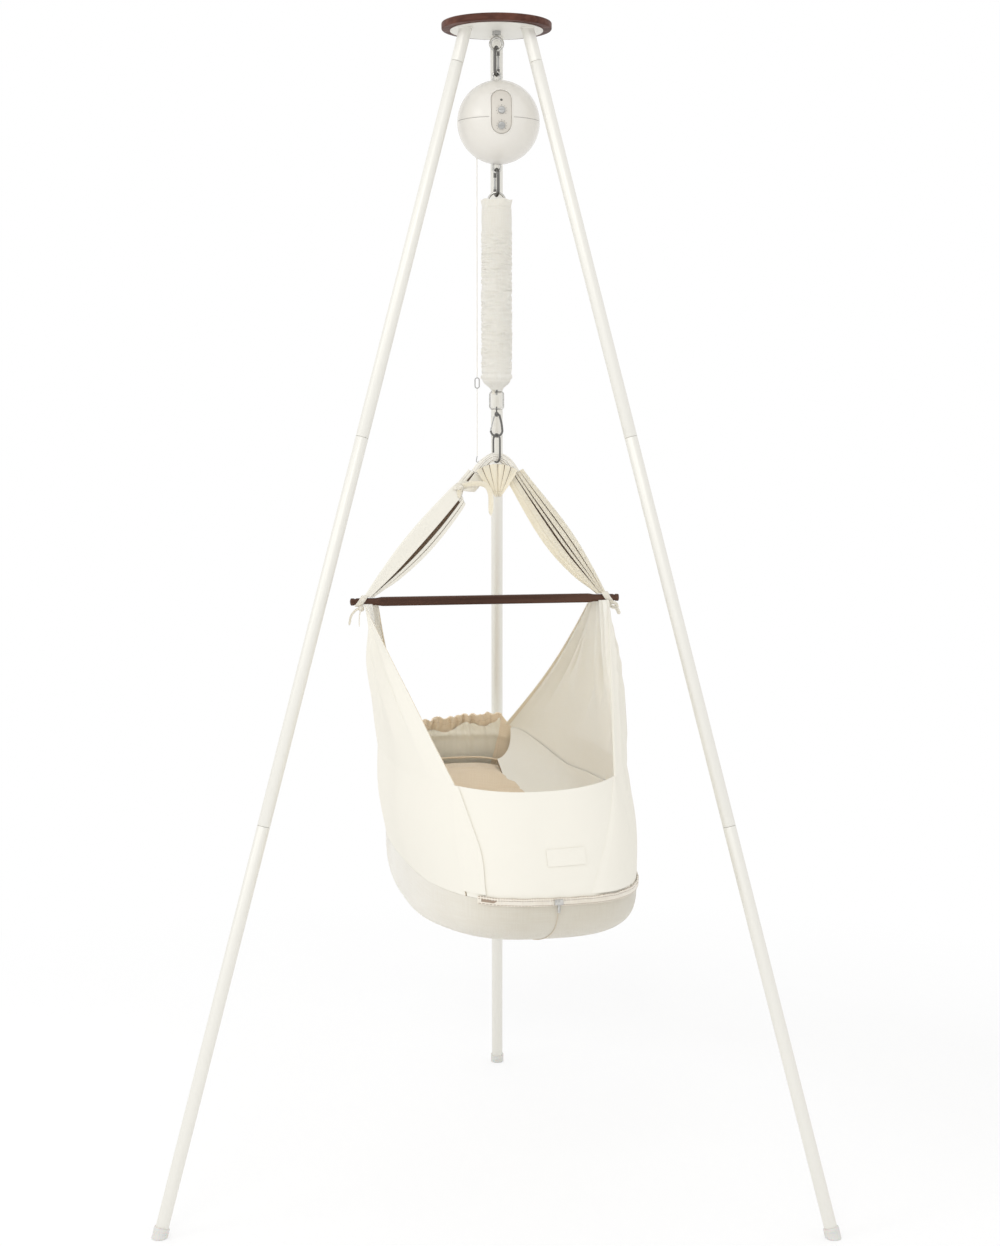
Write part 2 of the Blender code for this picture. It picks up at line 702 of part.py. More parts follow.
def build_shells():
    """Two halves of the ball, with the openings that the other pieces need."""
    out, across, high = panel_axes()
    pocket = stack([
        [ball_centre() + out * depth + across * a + high * b for a, b in stadium(PANEL_WIDTH, PANEL_HEIGHT)]
        for depth in (0.4 * MOTOR_RADIUS, 1.3 * MOTOR_RADIUS)
    ])
    slot_half = HANGER_HALF_WIDTH + HANGER_WIRE_RADIUS + 3 * GAP
    slot_depth = HANGER_WIRE_RADIUS + 3 * GAP
    upper_slot = box((-slot_half, -slot_depth, MOTOR_HEIGHT + 0.8 * MOTOR_RADIUS),
                     (slot_half, slot_depth, MOTOR_HEIGHT + 1.2 * MOTOR_RADIUS))
    lower_slot = box((-slot_half, -slot_depth, MOTOR_HEIGHT - 1.2 * MOTOR_RADIUS),
                     (slot_half, slot_depth, MOTOR_HEIGHT - 0.8 * MOTOR_RADIUS))
    upper = add_piece("motor_shell_upper", half_shell(True), "cream_plastic")
    combine(upper, [upper_slot, pocket], "DIFFERENCE", "upper_shell_opening")
    lower = add_piece("motor_shell_lower", half_shell(False), "cream_plastic")
    cradle_top = drum_height() - MOTOR_CAN_RADIUS - GAP
    cradle_y = 0.5 * DRUM_WIDTH + GEARBOX_LENGTH + 0.0035
    drum_x = -CORD_OFFSET + DRUM_RADIUS
    reach = MOTOR_RADIUS - 0.5 * MOTOR_WALL
    depth = math.sqrt(reach ** 2 - (abs(drum_x - MOTOR_SIDE_SHIFT) + 0.5 * CRADLE_WIDTH) ** 2
                      - (cradle_y + CRADLE_LENGTH) ** 2)
    cradle = box((drum_x - 0.5 * CRADLE_WIDTH, cradle_y, MOTOR_HEIGHT - depth),
                 (drum_x + 0.5 * CRADLE_WIDTH, cradle_y + CRADLE_LENGTH, cradle_top))
    combine(lower, [cradle], "UNION", "motor_cradle")
    cord_hole = rod((-CORD_OFFSET, 0, MOTOR_HEIGHT - MOTOR_RADIUS), (-CORD_OFFSET, 0, MOTOR_HEIGHT - 0.7 * MOTOR_RADIUS),
                    2.6 * CORD_RADIUS, 10)
    back = ball_direction(INLET_LATITUDE, 180.0)
    inlet_hole = rod(ball_centre() + back * 0.8 * MOTOR_RADIUS, ball_centre() + back * 1.2 * MOTOR_RADIUS,
                     INLET_RADIUS + RUNNING_CLEARANCE, 12)
    combine(lower, [lower_slot, pocket, cord_hole, inlet_hole], "DIFFERENCE", "lower_shell_opening")


def build_hanger():
    """The steel link that carries the load through the ball."""
    half = HANGER_HALF_WIDTH
    upper = HANGER_TOP - HANGER_WIRE_RADIUS - half
    lower = HANGER_BOTTOM + HANGER_WIRE_RADIUS + half
    path = arc((0, 0, upper), half, 0, 180, 8, X_AXIS, Z_AXIS)
    path += arc((0, 0, lower), half, 180, 360, 8, X_AXIS, Z_AXIS)
    add_piece("motor_hanger", wire(path, HANGER_WIRE_RADIUS, Y_AXIS, closed=True), "chrome",
              (0, 0, HANGER_TOP - HANGER_WIRE_RADIUS))


def build_panel():
    """Control panel, knobs, lens and the circuit board behind them."""
    outline = stadium(PANEL_WIDTH - 4 * GAP, PANEL_HEIGHT - 4 * GAP)
    face = MOTOR_RADIUS - PANEL_RECESS
    back = face - PANEL_THICKNESS
    rings = [[panel_point(0, 0, face)]]
    for share in (0.5, 1.0):
        rings.append([panel_point(a * share, b * share, face) for a, b in outline])
    for share in (1.0, 0.5):
        rings.append([panel_point(a * share, b * share, back) for a, b in outline])
    rings.append([panel_point(0, 0, back)])
    panel = add_piece("control_panel", stack(rings), "cream_plastic", panel_point(0, 0, face))
    out, across, high = panel_axes()
    centre = ball_centre()
    posts = []
    for side in (-1.0, 1.0):
        foot = centre + high * (side * PANEL_POST_OFFSET)
        posts.append(rod(foot + out * (BOARD_DISTANCE + BOARD_THICKNESS + GAP),
                         foot + out * (back * 0.92), PANEL_POST_RADIUS, 8))
    combine(panel, posts, "UNION", "panel_post")
    holes = []
    for latitude, radius in ((SPEED_KNOB_LATITUDE, KNOB_SHAFT_RADIUS), (TIMER_KNOB_LATITUDE, KNOB_SHAFT_RADIUS),
                             (LENS_LATITUDE, LENS_RADIUS)):
        way = ball_direction(latitude)
        holes.append(rod(centre + way * 0.8 * MOTOR_RADIUS, centre + way * 1.2 * MOTOR_RADIUS,
                         radius + RUNNING_CLEARANCE, 12))
    combine(panel, holes, "DIFFERENCE", "panel_hole")
    build_knob("speed_knob", SPEED_KNOB_LATITUDE, face)
    build_knob("timer_knob", TIMER_KNOB_LATITUDE, face)
    way = ball_direction(LENS_LATITUDE)
    lens = lathe([(0.0, back), (LENS_RADIUS, back), (LENS_RADIUS, face), (0.6 * LENS_RADIUS, face + 0.0006),
                  (0.0, face + 0.0008)], 10)
    add_piece("indicator_lens", moved(lens, axis_matrix(centre, way)), "lens")
    board_half = 0.5 * BOARD_WIDTH
    board_high = PANEL_POST_OFFSET + 2 * PANEL_POST_RADIUS
    board_matrix = Matrix.Translation(centre) @ Matrix((across, high, out)).transposed().to_4x4()
    board = add_piece("circuit_board", moved(
        box((-board_half, -board_high, BOARD_DISTANCE), (board_half, board_high, BOARD_DISTANCE + BOARD_THICKNESS)),
        board_matrix), "board_green")
    pots = []
    for latitude in (SPEED_KNOB_LATITUDE, TIMER_KNOB_LATITUDE):
        way = ball_direction(latitude)
        shaft_end = way * (face + GAP - KNOB_SHAFT_LENGTH)
        height = shaft_end.dot(high)
        reach = shaft_end.dot(out) - KNOB_SHAFT_RADIUS * math.sin(way.angle(out)) - GAP
        pots.append(rod(centre + high * height + out * (BOARD_DISTANCE + 0.5 * BOARD_THICKNESS),
                        centre + high * height + out * reach, POT_RADIUS, 10))
    combine(board, pots, "UNION", "board_pot")


def build_knob(name, latitude, face):
    """A slotted knob on its shaft, turning about its own axis."""
    base = face + GAP
    top = base + KNOB_HEIGHT
    way = ball_direction(latitude)
    matrix = axis_matrix(ball_centre(), way)
    body = lathe([
        (0.0, top),
        (0.82 * KNOB_RADIUS, top),
        (KNOB_RADIUS, top - 0.25 * KNOB_HEIGHT),
        (KNOB_RADIUS, base),
        (KNOB_SHAFT_RADIUS, base),
        (KNOB_SHAFT_RADIUS, base - KNOB_SHAFT_LENGTH),
        (0.0, base - KNOB_SHAFT_LENGTH),
    ], 14)
    knob = add_piece(name, moved(body, matrix), "steel", matrix @ Vector((0, 0, base)))
    slot = box((-2 * KNOB_RADIUS, -0.5 * KNOB_SLOT_WIDTH, top - KNOB_SLOT_DEPTH),
               (2 * KNOB_RADIUS, 0.5 * KNOB_SLOT_WIDTH, top + KNOB_HEIGHT))
    combine(knob, [moved(slot, matrix)], "DIFFERENCE", name + "_slot")


def drum_height():
    """Height of the cord drum's axis."""
    return MOTOR_HEIGHT - DRUM_DROP


def build_drive():
    """Gear motor, cord drum and power inlet."""
    axis = Vector((-CORD_OFFSET + DRUM_RADIUS, 0.0, drum_height()))
    across = axis_matrix(axis, Y_AXIS)
    half = 0.5 * DRUM_WIDTH
    groove = DRUM_RADIUS - CORD_RADIUS - GAP
    bore = MOTOR_SHAFT_RADIUS + GAP
    rim = groove + DRUM_FLANGE
    drum = lathe([
        (bore, -half), (rim, -half), (rim, -0.6 * half), (groove, -0.3 * half),
        (groove, 0.3 * half), (rim, 0.6 * half), (rim, half), (bore, half),
    ], 16, closed=True)
    add_piece("cord_drum", moved(drum, across), "dark_plastic", axis)
    gear_start = half + GAP
    can_start = gear_start + GEARBOX_LENGTH
    can_end = can_start + MOTOR_CAN_LENGTH
    motor = lathe([
        (0.0, -half),
        (MOTOR_SHAFT_RADIUS, -half),
        (MOTOR_SHAFT_RADIUS, gear_start),
        (GEARBOX_RADIUS, gear_start),
        (GEARBOX_RADIUS, can_start),
        (MOTOR_CAN_RADIUS, can_start),
        (MOTOR_CAN_RADIUS, can_end),
        (0.0, can_end),
    ], 16)
    add_piece("gear_motor", moved(motor, across), "steel")
    back = ball_direction(INLET_LATITUDE, 180.0)
    seat = MOTOR_RADIUS + GAP
    mouth = seat + 0.0012
    inlet = lathe([
        (0.0, mouth - INLET_BORE_DEPTH),
        (INLET_BORE_RADIUS, mouth - INLET_BORE_DEPTH),
        (INLET_BORE_RADIUS, mouth),
        (INLET_FLANGE_RADIUS, mouth),
        (INLET_FLANGE_RADIUS, seat),
        (INLET_RADIUS, seat),
        (INLET_RADIUS, mouth - INLET_LENGTH),
        (0.0, mouth - INLET_LENGTH),
    ], 14)
    add_piece("power_inlet", moved(inlet, axis_matrix(ball_centre(), back)), "dark_plastic")


# Spring group

def build_top_ring():
    """D-ring that carries the spring."""
    path = arc((0, 0, TOP_RING_CENTRE), TOP_RING_RADIUS, 0, 180, 12, X_AXIS, Z_AXIS)
    corner = 0.003
    path += arc((-TOP_RING_RADIUS + corner, 0, TOP_RING_BAR + corner), corner, 180, 270, 3, X_AXIS, Z_AXIS)
    path += arc((TOP_RING_RADIUS - corner, 0, TOP_RING_BAR + corner), corner, 270, 360, 3, X_AXIS, Z_AXIS)
    add_piece("spring_top_ring", wire(path, TOP_RING_WIRE_RADIUS, Y_AXIS, closed=True), "chrome",
              (0, 0, TOP_RING_TOP - TOP_RING_WIRE_RADIUS))


def build_spring():
    """Coil spring as one unbroken wire, with a hook at each end."""
    top_hook = TOP_RING_WIRE_RADIUS + GAP + SPRING_WIRE_RADIUS
    low_hook = BOTTOM_RING_WIRE_RADIUS + GAP + SPRING_WIRE_RADIUS
    coil_top = TOP_RING_BAR - SPRING_TOP_SPACE
    coil_low = BOTTOM_RING_BAR + SPRING_LOW_SPACE
    steps = 8
    path = arc((0, 0, TOP_RING_BAR), top_hook, 160, -20, 6, Y_AXIS, Z_AXIS)
    path.append(Vector((0.3 * SPRING_RADIUS, 0.2 * SPRING_RADIUS, coil_top + 0.35 * SPRING_TOP_SPACE)))
    for i in range(SPRING_TURNS * steps + 1):
        angle = 2 * math.pi * i / steps
        height = blend(coil_top, coil_low, i / (SPRING_TURNS * steps))
        path.append(Vector((SPRING_RADIUS * math.cos(angle), SPRING_RADIUS * math.sin(angle), height)))
    path.append(Vector((0.3 * SPRING_RADIUS, 0.2 * SPRING_RADIUS, coil_low - 0.35 * SPRING_LOW_SPACE)))
    path += arc((0, 0, BOTTOM_RING_BAR), low_hook, 20, -160, 6, Y_AXIS, Z_AXIS)
    add_piece("spring", wire(path, SPRING_WIRE_RADIUS, X_AXIS, sides=5), "steel", (0, 0, TOP_RING_BAR))
    pitch = (coil_top - coil_low) / SPRING_TURNS
    print("spring: gap between turns", round(pitch - 2 * SPRING_WIRE_RADIUS, 5), "m")


def build_safety_strap():
    """Closed webbing band round both rings, beside the spring's hooks."""
    half = max(TOP_RING_WIRE_RADIUS, BOTTOM_RING_WIRE_RADIUS) + GAP + 0.5 * STRAP_BAND_THICKNESS
    offset = STRAP_BAND_OFFSET * X_AXIS
    path = arc(offset + Z_AXIS * TOP_RING_BAR, half, 0, 180, 6, Y_AXIS, Z_AXIS)
    path += arc(offset + Z_AXIS * BOTTOM_RING_BAR, half, 180, 360, 6, Y_AXIS, Z_AXIS)
    a = 0.5 * STRAP_BAND_THICKNESS
    b = 0.5 * STRAP_BAND_WIDTH
    section = [(-a, -b), (a, -b), (a, b), (-a, b)]
    add_piece("safety_strap", sweep(path, section, X_AXIS, closed=True), "natural_cotton",
              offset + Z_AXIS * TOP_RING_BAR)


def build_sleeve():
    """Gathered cotton sleeve over the spring, ruched in its middle, drawn in to a tail."""
    top = TOP_RING_TOP - SLEEVE_TOP_DROP
    tail_end = BOTTOM_RING_TOP + SLEEVE_TAIL_LIFT
    low = tail_end + SLEEVE_TAIL_LENGTH
    length = top - low
    profile = [(SLEEVE_RADIUS - 0.0012, top), (SLEEVE_RADIUS + 0.0016, top - 0.004)]
    profile.append((SLEEVE_RADIUS - 0.0008, top - 0.013))
    ruche_top = top - 0.16 * length
    ruche_low = low + 0.10 * length
    for i in range(2 * SLEEVE_RUCHES + 1):
        height = blend(ruche_top, ruche_low, i / (2 * SLEEVE_RUCHES))
        proud = SLEEVE_RUCHE_DEPTH if i % 2 else 0.0
        profile.append((SLEEVE_RADIUS - 0.0006 + proud, height))
    profile.append((SLEEVE_RADIUS - 0.001, low + 0.012))
    profile.append((SLEEVE_RADIUS + 0.0014, low + 0.005))
    profile.append((SLEEVE_RADIUS - 0.0030, low))
    profile.append((SLEEVE_TAIL_RADIUS, tail_end))
    profile.append((SLEEVE_TAIL_RADIUS - SLEEVE_WALL, tail_end))
    inner = SLEEVE_RADIUS - SLEEVE_WALL - 0.001
    profile.append((inner - 0.003, low + 0.002))
    profile.append((inner, low + 0.008))
    profile.append((inner, top))
    shape = lathe(profile, 16, closed=True)
    add_piece("spring_sleeve", shape, "natural_cotton", (0, 0, TOP_RING_BAR))


def build_bottom_ring():
    """Ring under the spring that takes the snap hook."""
    half = BOTTOM_RING_HALF_WIDTH
    corner = BOTTOM_RING_CORNER
    high = BOTTOM_RING_BAR
    low = BOTTOM_RING_BOTTOM + BOTTOM_RING_WIRE_RADIUS
    path = []
    for x, z, start in ((half, high, 0), (-half, high, 90), (-half, low, 180), (half, low, 270)):
        sx = 1.0 if x > 0 else -1.0
        sz = 1.0 if z == high else -1.0
        path += arc((x - sx * corner, 0, z - sz * corner), corner, start, start + 90, 4, X_AXIS, Z_AXIS)
    add_piece("spring_bottom_ring", wire(path, BOTTOM_RING_WIRE_RADIUS, Y_AXIS, closed=True), "chrome",
              (0, 0, BOTTOM_RING_BAR))


# Snap hook and hanging ring

def build_snap_hook():
    """Swivel eye, snap hook body and gate."""
    eye = wire(arc((0, 0, SWIVEL_EYE_CENTRE), SWIVEL_EYE_RADIUS, 0, 330, 11, Y_AXIS, Z_AXIS),
               SWIVEL_WIRE_RADIUS, X_AXIS, closed=True, sides=6)
    head_top = HOOK_BARREL_BOTTOM - GAP
    stem = lathe([
        (0.0, SWIVEL_EYE_CENTRE - SWIVEL_EYE_RADIUS),
        (SWIVEL_STEM_RADIUS, SWIVEL_EYE_CENTRE - SWIVEL_EYE_RADIUS),
        (SWIVEL_STEM_RADIUS, head_top),
        (SWIVEL_HEAD_RADIUS, head_top),
        (SWIVEL_HEAD_RADIUS, head_top - SWIVEL_HEAD_HEIGHT),
        (0.0, head_top - SWIVEL_HEAD_HEIGHT),
    ], 10)
    swivel = add_piece("hook_swivel", eye, "gunmetal", (0, 0, SWIVEL_EYE_CENTRE))
    combine(swivel, [stem], "UNION", "swivel_stem")
    barrel = lathe([
        (SWIVEL_STEM_RADIUS + GAP, HOOK_BARREL_TOP),
        (0.75 * HOOK_BARREL_RADIUS, HOOK_BARREL_TOP),
        (HOOK_BARREL_RADIUS, HOOK_BARREL_TOP - 0.4 * HOOK_BARREL_HEIGHT),
        (HOOK_BARREL_RADIUS, HOOK_BARREL_BOTTOM),
        (SWIVEL_STEM_RADIUS + GAP, HOOK_BARREL_BOTTOM),
    ], 12, closed=True)
    half = HOOK_HALF_WIDTH
    low = HOOK_BOTTOM + HOOK_WIRE_RADIUS + half
    shoulder = HOOK_BARREL_BOTTOM + 0.4 * HOOK_BARREL_HEIGHT
    attach = HOOK_BARREL_RADIUS + 0.4 * HOOK_WIRE_RADIUS
    path = [Vector((attach, 0, shoulder))]
    path.append(Vector((blend(attach, half, 0.42), 0, blend(shoulder, low, 0.30))))
    path.append(Vector((blend(attach, half, 0.80), 0, blend(shoulder, low, 0.65))))
    path += arc((0, 0, low), half, 0, -180, 10, X_AXIS, Z_AXIS)
    body = add_piece("snap_hook", barrel, "gunmetal", (0, 0, HOOK_BARREL_BOTTOM))
    web = sweep([(0, 0, HOOK_BARREL_TOP - 0.6 * HOOK_BARREL_HEIGHT), (0, 0, HOOK_BARREL_BOTTOM + 0.0002)],
                [(-0.0014, -0.0056), (0.0014, -0.0056), (0.0014, 0.0056), (-0.0014, 0.0056)], X_AXIS)
    bore = rod((0, 0, HOOK_BARREL_BOTTOM - 0.01), (0, 0, HOOK_BARREL_TOP + 0.01), SWIVEL_STEM_RADIUS + GAP, 12)
    combine(body, [web, wire(path, HOOK_WIRE_RADIUS, Y_AXIS)], "UNION", "hook_body")
    combine(body, [bore], "DIFFERENCE", "hook_bore")
    pivot = Vector((-0.0040, 0, HOOK_BARREL_BOTTOM - HOOK_GATE_RADIUS - GAP))
    tip = Vector((-half, 0, low + HOOK_GATE_RADIUS + 2 * GAP))
    add_piece("snap_hook_gate", gate_bar(pivot, tip, HOOK_GATE_RADIUS, Y_AXIS), "steel", pivot)


def build_hanging_ring():
    """Long ring that the cloth hangs from."""
    angle = math.radians(HANGING_RING_TURN)
    across = Vector((math.cos(angle), math.sin(angle), 0.0))
    half = HANGING_RING_HALF_WIDTH
    upper = HANGING_RING_TOP - HANGING_RING_WIRE_RADIUS - half
    lower = HANGING_RING_BOTTOM + HANGING_RING_WIRE_RADIUS + half
    path = arc((0, 0, upper), half, 0, 180, 8, across, Z_AXIS)
    path += arc((0, 0, lower), half, 180, 360, 8, across, Z_AXIS)
    add_piece("hanging_ring", wire(path, HANGING_RING_WIRE_RADIUS, across.cross(Z_AXIS), closed=True),
              "gunmetal", (0, 0, HANGING_RING_TOP - HANGING_RING_WIRE_RADIUS))


# Hammock, in its own frame: X along the bar, -Y towards the foot end

def side_shift(height):
    """Sideways lean of the hammock at a height."""
    if height > BAR_HEIGHT:
        return BAR_SIDE_SHIFT * max(0.0, (APEX_CENTRE - height) / (APEX_CENTRE - BAR_HEIGHT))
    if height < SEAM_HEIGHT:
        return BASKET_SIDE_SHIFT
    return blend(BASKET_SIDE_SHIFT, BAR_SIDE_SHIFT, (height - SEAM_HEIGHT) / (BAR_HEIGHT - SEAM_HEIGHT))


def hang(x, y, z):
    """A point of the hammock's own frame, turned and leaned into the assembly."""
    angle = math.radians(HAMMOCK_YAW)
    return Vector((
        x * math.cos(angle) - y * math.sin(angle) + side_shift(z),
        x * math.sin(angle) + y * math.cos(angle),
        z,
    ))


def hung(shape):
    """A shape of the hammock's own frame, in the assembly."""
    verts, faces = shape
    return [hang(*point) for point in verts], faces


def oval(angle, half_width, half_length, exponent):
    """Point of a rounded-rectangle outline at an angle from the right side."""
    c = math.cos(angle)
    s = math.sin(angle)
    scale = (abs(c / half_width) ** exponent + abs(s / half_length) ** exponent) ** (-1.0 / exponent)
    return c * scale, s * scale


def oval_y(x, half_width, half_length, exponent):
    """Length of an outline at a distance across it."""
    return half_length * (1.0 - (abs(x) / half_width) ** exponent) ** (1.0 / exponent)


def build_bar():
    """Spreader bar with a peg at each end."""
    stations = [
        (0.0, 1.0, 1.0),
        (BAR_BODY_HALF_LENGTH - 0.010, 1.0, 1.0),
        (BAR_BODY_HALF_LENGTH - 0.003, 0.93, 0.8),
        (BAR_BODY_HALF_LENGTH, 0.0, 0.0),
        (BAR_HALF_LENGTH - 0.010, 0.0, 0.0),
        (BAR_HALF_LENGTH - 0.0075, -1.0, 0.0),
        (BAR_HALF_LENGTH - 0.005, 0.0, 0.0),
        (BAR_HALF_LENGTH - 0.0015, 0.0, 0.0),
        (BAR_HALF_LENGTH, -2.2, 0.0),
    ]
    rings = []
    for side in (-1.0, 1.0):
        order = reversed(stations) if side < 0 else stations[1:]
        for x, swell, square in order:
            depth = blend(BAR_PEG_RADIUS, BAR_BODY_HALF_DEPTH, max(swell, 0.0)) + min(swell, 0.0) * BAR_GROOVE_DEPTH
            height = blend(BAR_PEG_RADIUS, BAR_BODY_HALF_HEIGHT, max(swell, 0.0)) + min(swell, 0.0) * BAR_GROOVE_DEPTH
            exponent = blend(2.0, 5.0, square)
            ring = []
            for i in range(12):
                a, b = oval(2 * math.pi * (i + 0.5) / 12, depth, height, exponent)
                ring.append((side * x, a, BAR_HEIGHT + b))
            rings.append(ring)
    add_piece("spreader_bar", hung(stack(rings)), "walnut", hang(0, 0, BAR_HEIGHT))


def build_apex():
    """Gathered cloth through the hanging ring, with the front drape under it."""
    rings = []
    steps = 10
    for i in range(steps + 1):
        t = -1.0 + 2.0 * i / steps
        x = APEX_HALF_LENGTH * t
        drop = APEX_DROP * abs(t) ** 2.2
        swell = 1.0 + 0.45 * t * t
        tilt = math.atan(apex_slope(t))
        ring = []
        for a, b in ring_section(1.0, 10):
            depth = a * APEX_BUNDLE_HALF_DEPTH * swell
            high = b * APEX_BUNDLE_HALF_HEIGHT * swell
            ring.append((x - high * math.sin(tilt), depth, APEX_CENTRE - drop + high * math.cos(tilt)))
        rings.append(ring)
    gather = add_piece("apex_gather", hung(stack(rings)), "natural_cotton", (0, 0, APEX_CENTRE))
    rows = 7
    cols = 13
    grid = []
    for i in range(rows):
        v = i / (rows - 1)
        row = []
        for j in range(cols):
            u = -1.0 + 2.0 * j / (cols - 1)
            wide = DRAPE_HALF_WIDTH * (1.0 - 0.90 * v ** 1.3)
            fold = 0.0016 * math.sin(u * 2.5 * math.pi) * (1.0 - 0.5 * v)
            out = -APEX_BUNDLE_HALF_DEPTH * (0.72 + 0.55 * u * u) + fold
            high = HANGING_RING_BOTTOM - 3 * GAP - 0.010 * abs(u) ** 2.2 * (1 - v) - DRAPE_DEPTH * v
            row.append(Vector((u * wide, out, high)))
        grid.append(row)
    combine(gather, [hung(sheet(grid, CLOTH_THICKNESS))], "UNION", "apex_drape")


def apex_slope(t):
    """Slope of the gathered cloth at a share t of its half length."""
    return -APEX_DROP * 2.2 * abs(t) ** 1.2 * math.copysign(1.0, t) / APEX_HALF_LENGTH


def strap_point(side, t, s):
    """Point of a strap, t from the apex to the bar and s across it."""
    tilt = math.atan(apex_slope(1.0))
    start = Vector((side * (APEX_HALF_LENGTH + 3 * GAP * math.cos(tilt)), 0.0,
                    APEX_CENTRE - APEX_DROP + 3 * GAP * math.sin(tilt)))
    end = Vector((side * GATHER_CENTRE, 0.0, BAR_HEIGHT + BAR_PEG_RADIUS + GAP + 0.3 * CLOTH_THICKNESS))
    line = (end - start).normalized()
    upper_way = Vector((-math.sin(tilt), 0.0, side * math.cos(tilt)))
    middle_way = Vector((-line.z * side, 0.0, line.x * side))
    lower_way = Vector((side, 0.0, 0.0))
    way = upper_way.lerp(middle_way, min(1.0, t / 0.25)) if t < 0.8 else middle_way.lerp(lower_way, (t - 0.8) / 0.2)
    half = blend(STRAP_TOP_HALF_WIDTH, GATHER_HALF_WIDTH - GAP, t)
    half += (STRAP_HALF_WIDTH - half) * math.sin(math.pi * t) ** 1.2
    fold = STRAP_FOLD * math.cos(s * 2.0 * math.pi) * (0.75 + 0.25 * math.cos(2 * math.pi * t))
    sag = -0.006 * math.sin(math.pi * t)
    centre = start.lerp(end, t) + Vector((0.0, 0.0, sag))
    return centre + way.normalized() * (half * s) + Y_AXIS * fold


def build_straps():
    """Left and right strap from the apex to the bar."""
    for name, side in (("left", -1.0), ("right", 1.0)):
        grid = []
        for i in range(10):
            grid.append([strap_point(side, i / 9, -1.0 + 2.0 * j / 12) for j in range(13)])
        add_piece("strap_" + name, hung(sheet(grid, CLOTH_THICKNESS)), "natural_cotton",
                  hang(side * GATHER_CENTRE, 0, BAR_HEIGHT))


def tie_shapes(centre, axis, inner_radius, tail_ways, flatness=1.0):
    """Ribbon band round a peg or strap, and its knot and two tails. flatness narrows it from front to back."""
    outer = inner_radius + TIE_BAND_THICKNESS
    half = 0.5 * TIE_BAND_WIDTH
    band = lathe([
        (inner_radius, -half), (outer, -0.7 * half), (outer, 0.7 * half), (inner_radius, half),
    ], 14, closed=True)
    way_out = Vector((0, -0.35, -0.94))
    way_out = (way_out - axis * (way_out.dot(axis) / axis.length_squared)).normalized()
    front = hang(0, 1, BAR_HEIGHT) - hang(0, 0, BAR_HEIGHT)
    narrow = Matrix.Translation(centre) @ Matrix.Scale(flatness, 4, front) @ Matrix.Translation(-centre)
    way_out = (narrow.to_3x3() @ (narrow.to_3x3() @ way_out)).normalized()
    knot_centre = centre + way_out * (outer + 0.55 * TIE_KNOT_RADIUS)
    knot = lathe([
        (0.0, -TIE_KNOT_RADIUS), (0.72 * TIE_KNOT_RADIUS, -0.7 * TIE_KNOT_RADIUS), (TIE_KNOT_RADIUS, 0.0),
        (0.72 * TIE_KNOT_RADIUS, 0.7 * TIE_KNOT_RADIUS), (0.0, TIE_KNOT_RADIUS),
    ], 8)
    parts = [moved(knot, Matrix.Translation(knot_centre))]
    for way in tail_ways:
        way = Vector(way).normalized()
        points = [knot_centre + way * (TIE_TAIL_LENGTH * t) + Vector((0, 0, -0.010 * t * t)) for t in (0.0, 0.5, 1.0)]
        section = [(-0.0007, -0.0034), (0.0007, -0.0034), (0.0007, 0.0034), (-0.0007, 0.0034)]
        parts.append(sweep(points, section, Y_AXIS.cross(way) + 0.3 * X_AXIS))
    return moved(band, narrow @ axis_matrix(centre, axis)), parts


def build_ties():
    """Ties at the two bar ends and at the apex."""
    axis = hang(1, 0, BAR_HEIGHT) - hang(0, 0, BAR_HEIGHT)
    for name, side in (("left", -1.0), ("right", 1.0)):
        centre = hang(side * (GATHER_CENTRE + GATHER_HALF_WIDTH + 0.5 * TIE_BAND_WIDTH + 2 * GAP), 0, BAR_HEIGHT)
        band, parts = tie_shapes(centre, axis, BAR_PEG_RADIUS + GAP,
                                 ((side, -0.3, -0.6), (side * 0.3, -0.2, -1.0)))
        tie = add_piece("bar_tie_" + name, band, "natural_cotton", centre)
        combine(tie, parts, "UNION", name + "_tie_knot")
    low, high = (strap_point(-1.0, t, -0.25).lerp(strap_point(-1.0, t, 0.25), 0.5) for t in (0.10, 0.16))
    centre = hang(*(0.5 * (low + high)))
    wide = (strap_point(-1.0, 0.13, 1.0) - strap_point(-1.0, 0.13, 0.0)).length
    deep = 0.5 * CLOTH_THICKNESS + STRAP_FOLD
    inner = wide + 4 * GAP
    band, parts = tie_shapes(centre, hang(*high) - hang(*low), inner, ((0.4, -0.2, -1.0), (-0.5, -0.1, -1.0)),
                             (deep + 4 * GAP) / inner)
    tie = add_piece("apex_tie", band, "natural_cotton", centre)
    combine(tie, parts, "UNION", "apex_tie_knot")


# Basket

def pocket_exponent(angle):
    """Roundness of the underside: boxy at the sides, round at the ends."""
    x, y = oval(angle, 1.0, 1.0, BASKET_EXPONENT)
    return blend(3.0, 5.5, abs(x) ** BASKET_EXPONENT)


def pocket_point(angle, phase, inset):
    """Point of the underside, phase 0 at the seam and 1 at the lowest point."""
    exponent = pocket_exponent(angle)
    turn = 0.5 * math.pi * phase
    reach = max(0.0, math.cos(turn)) ** (2.0 / exponent)
    depth = math.sin(turn) ** (2.0 / exponent)
    x, y = oval(angle, BASKET_HALF_WIDTH - inset, BASKET_HALF_LENGTH - inset, BASKET_EXPONENT)
    return Vector((x * reach, y * reach, SEAM_HEIGHT - (POCKET_DEPTH - inset) * depth))


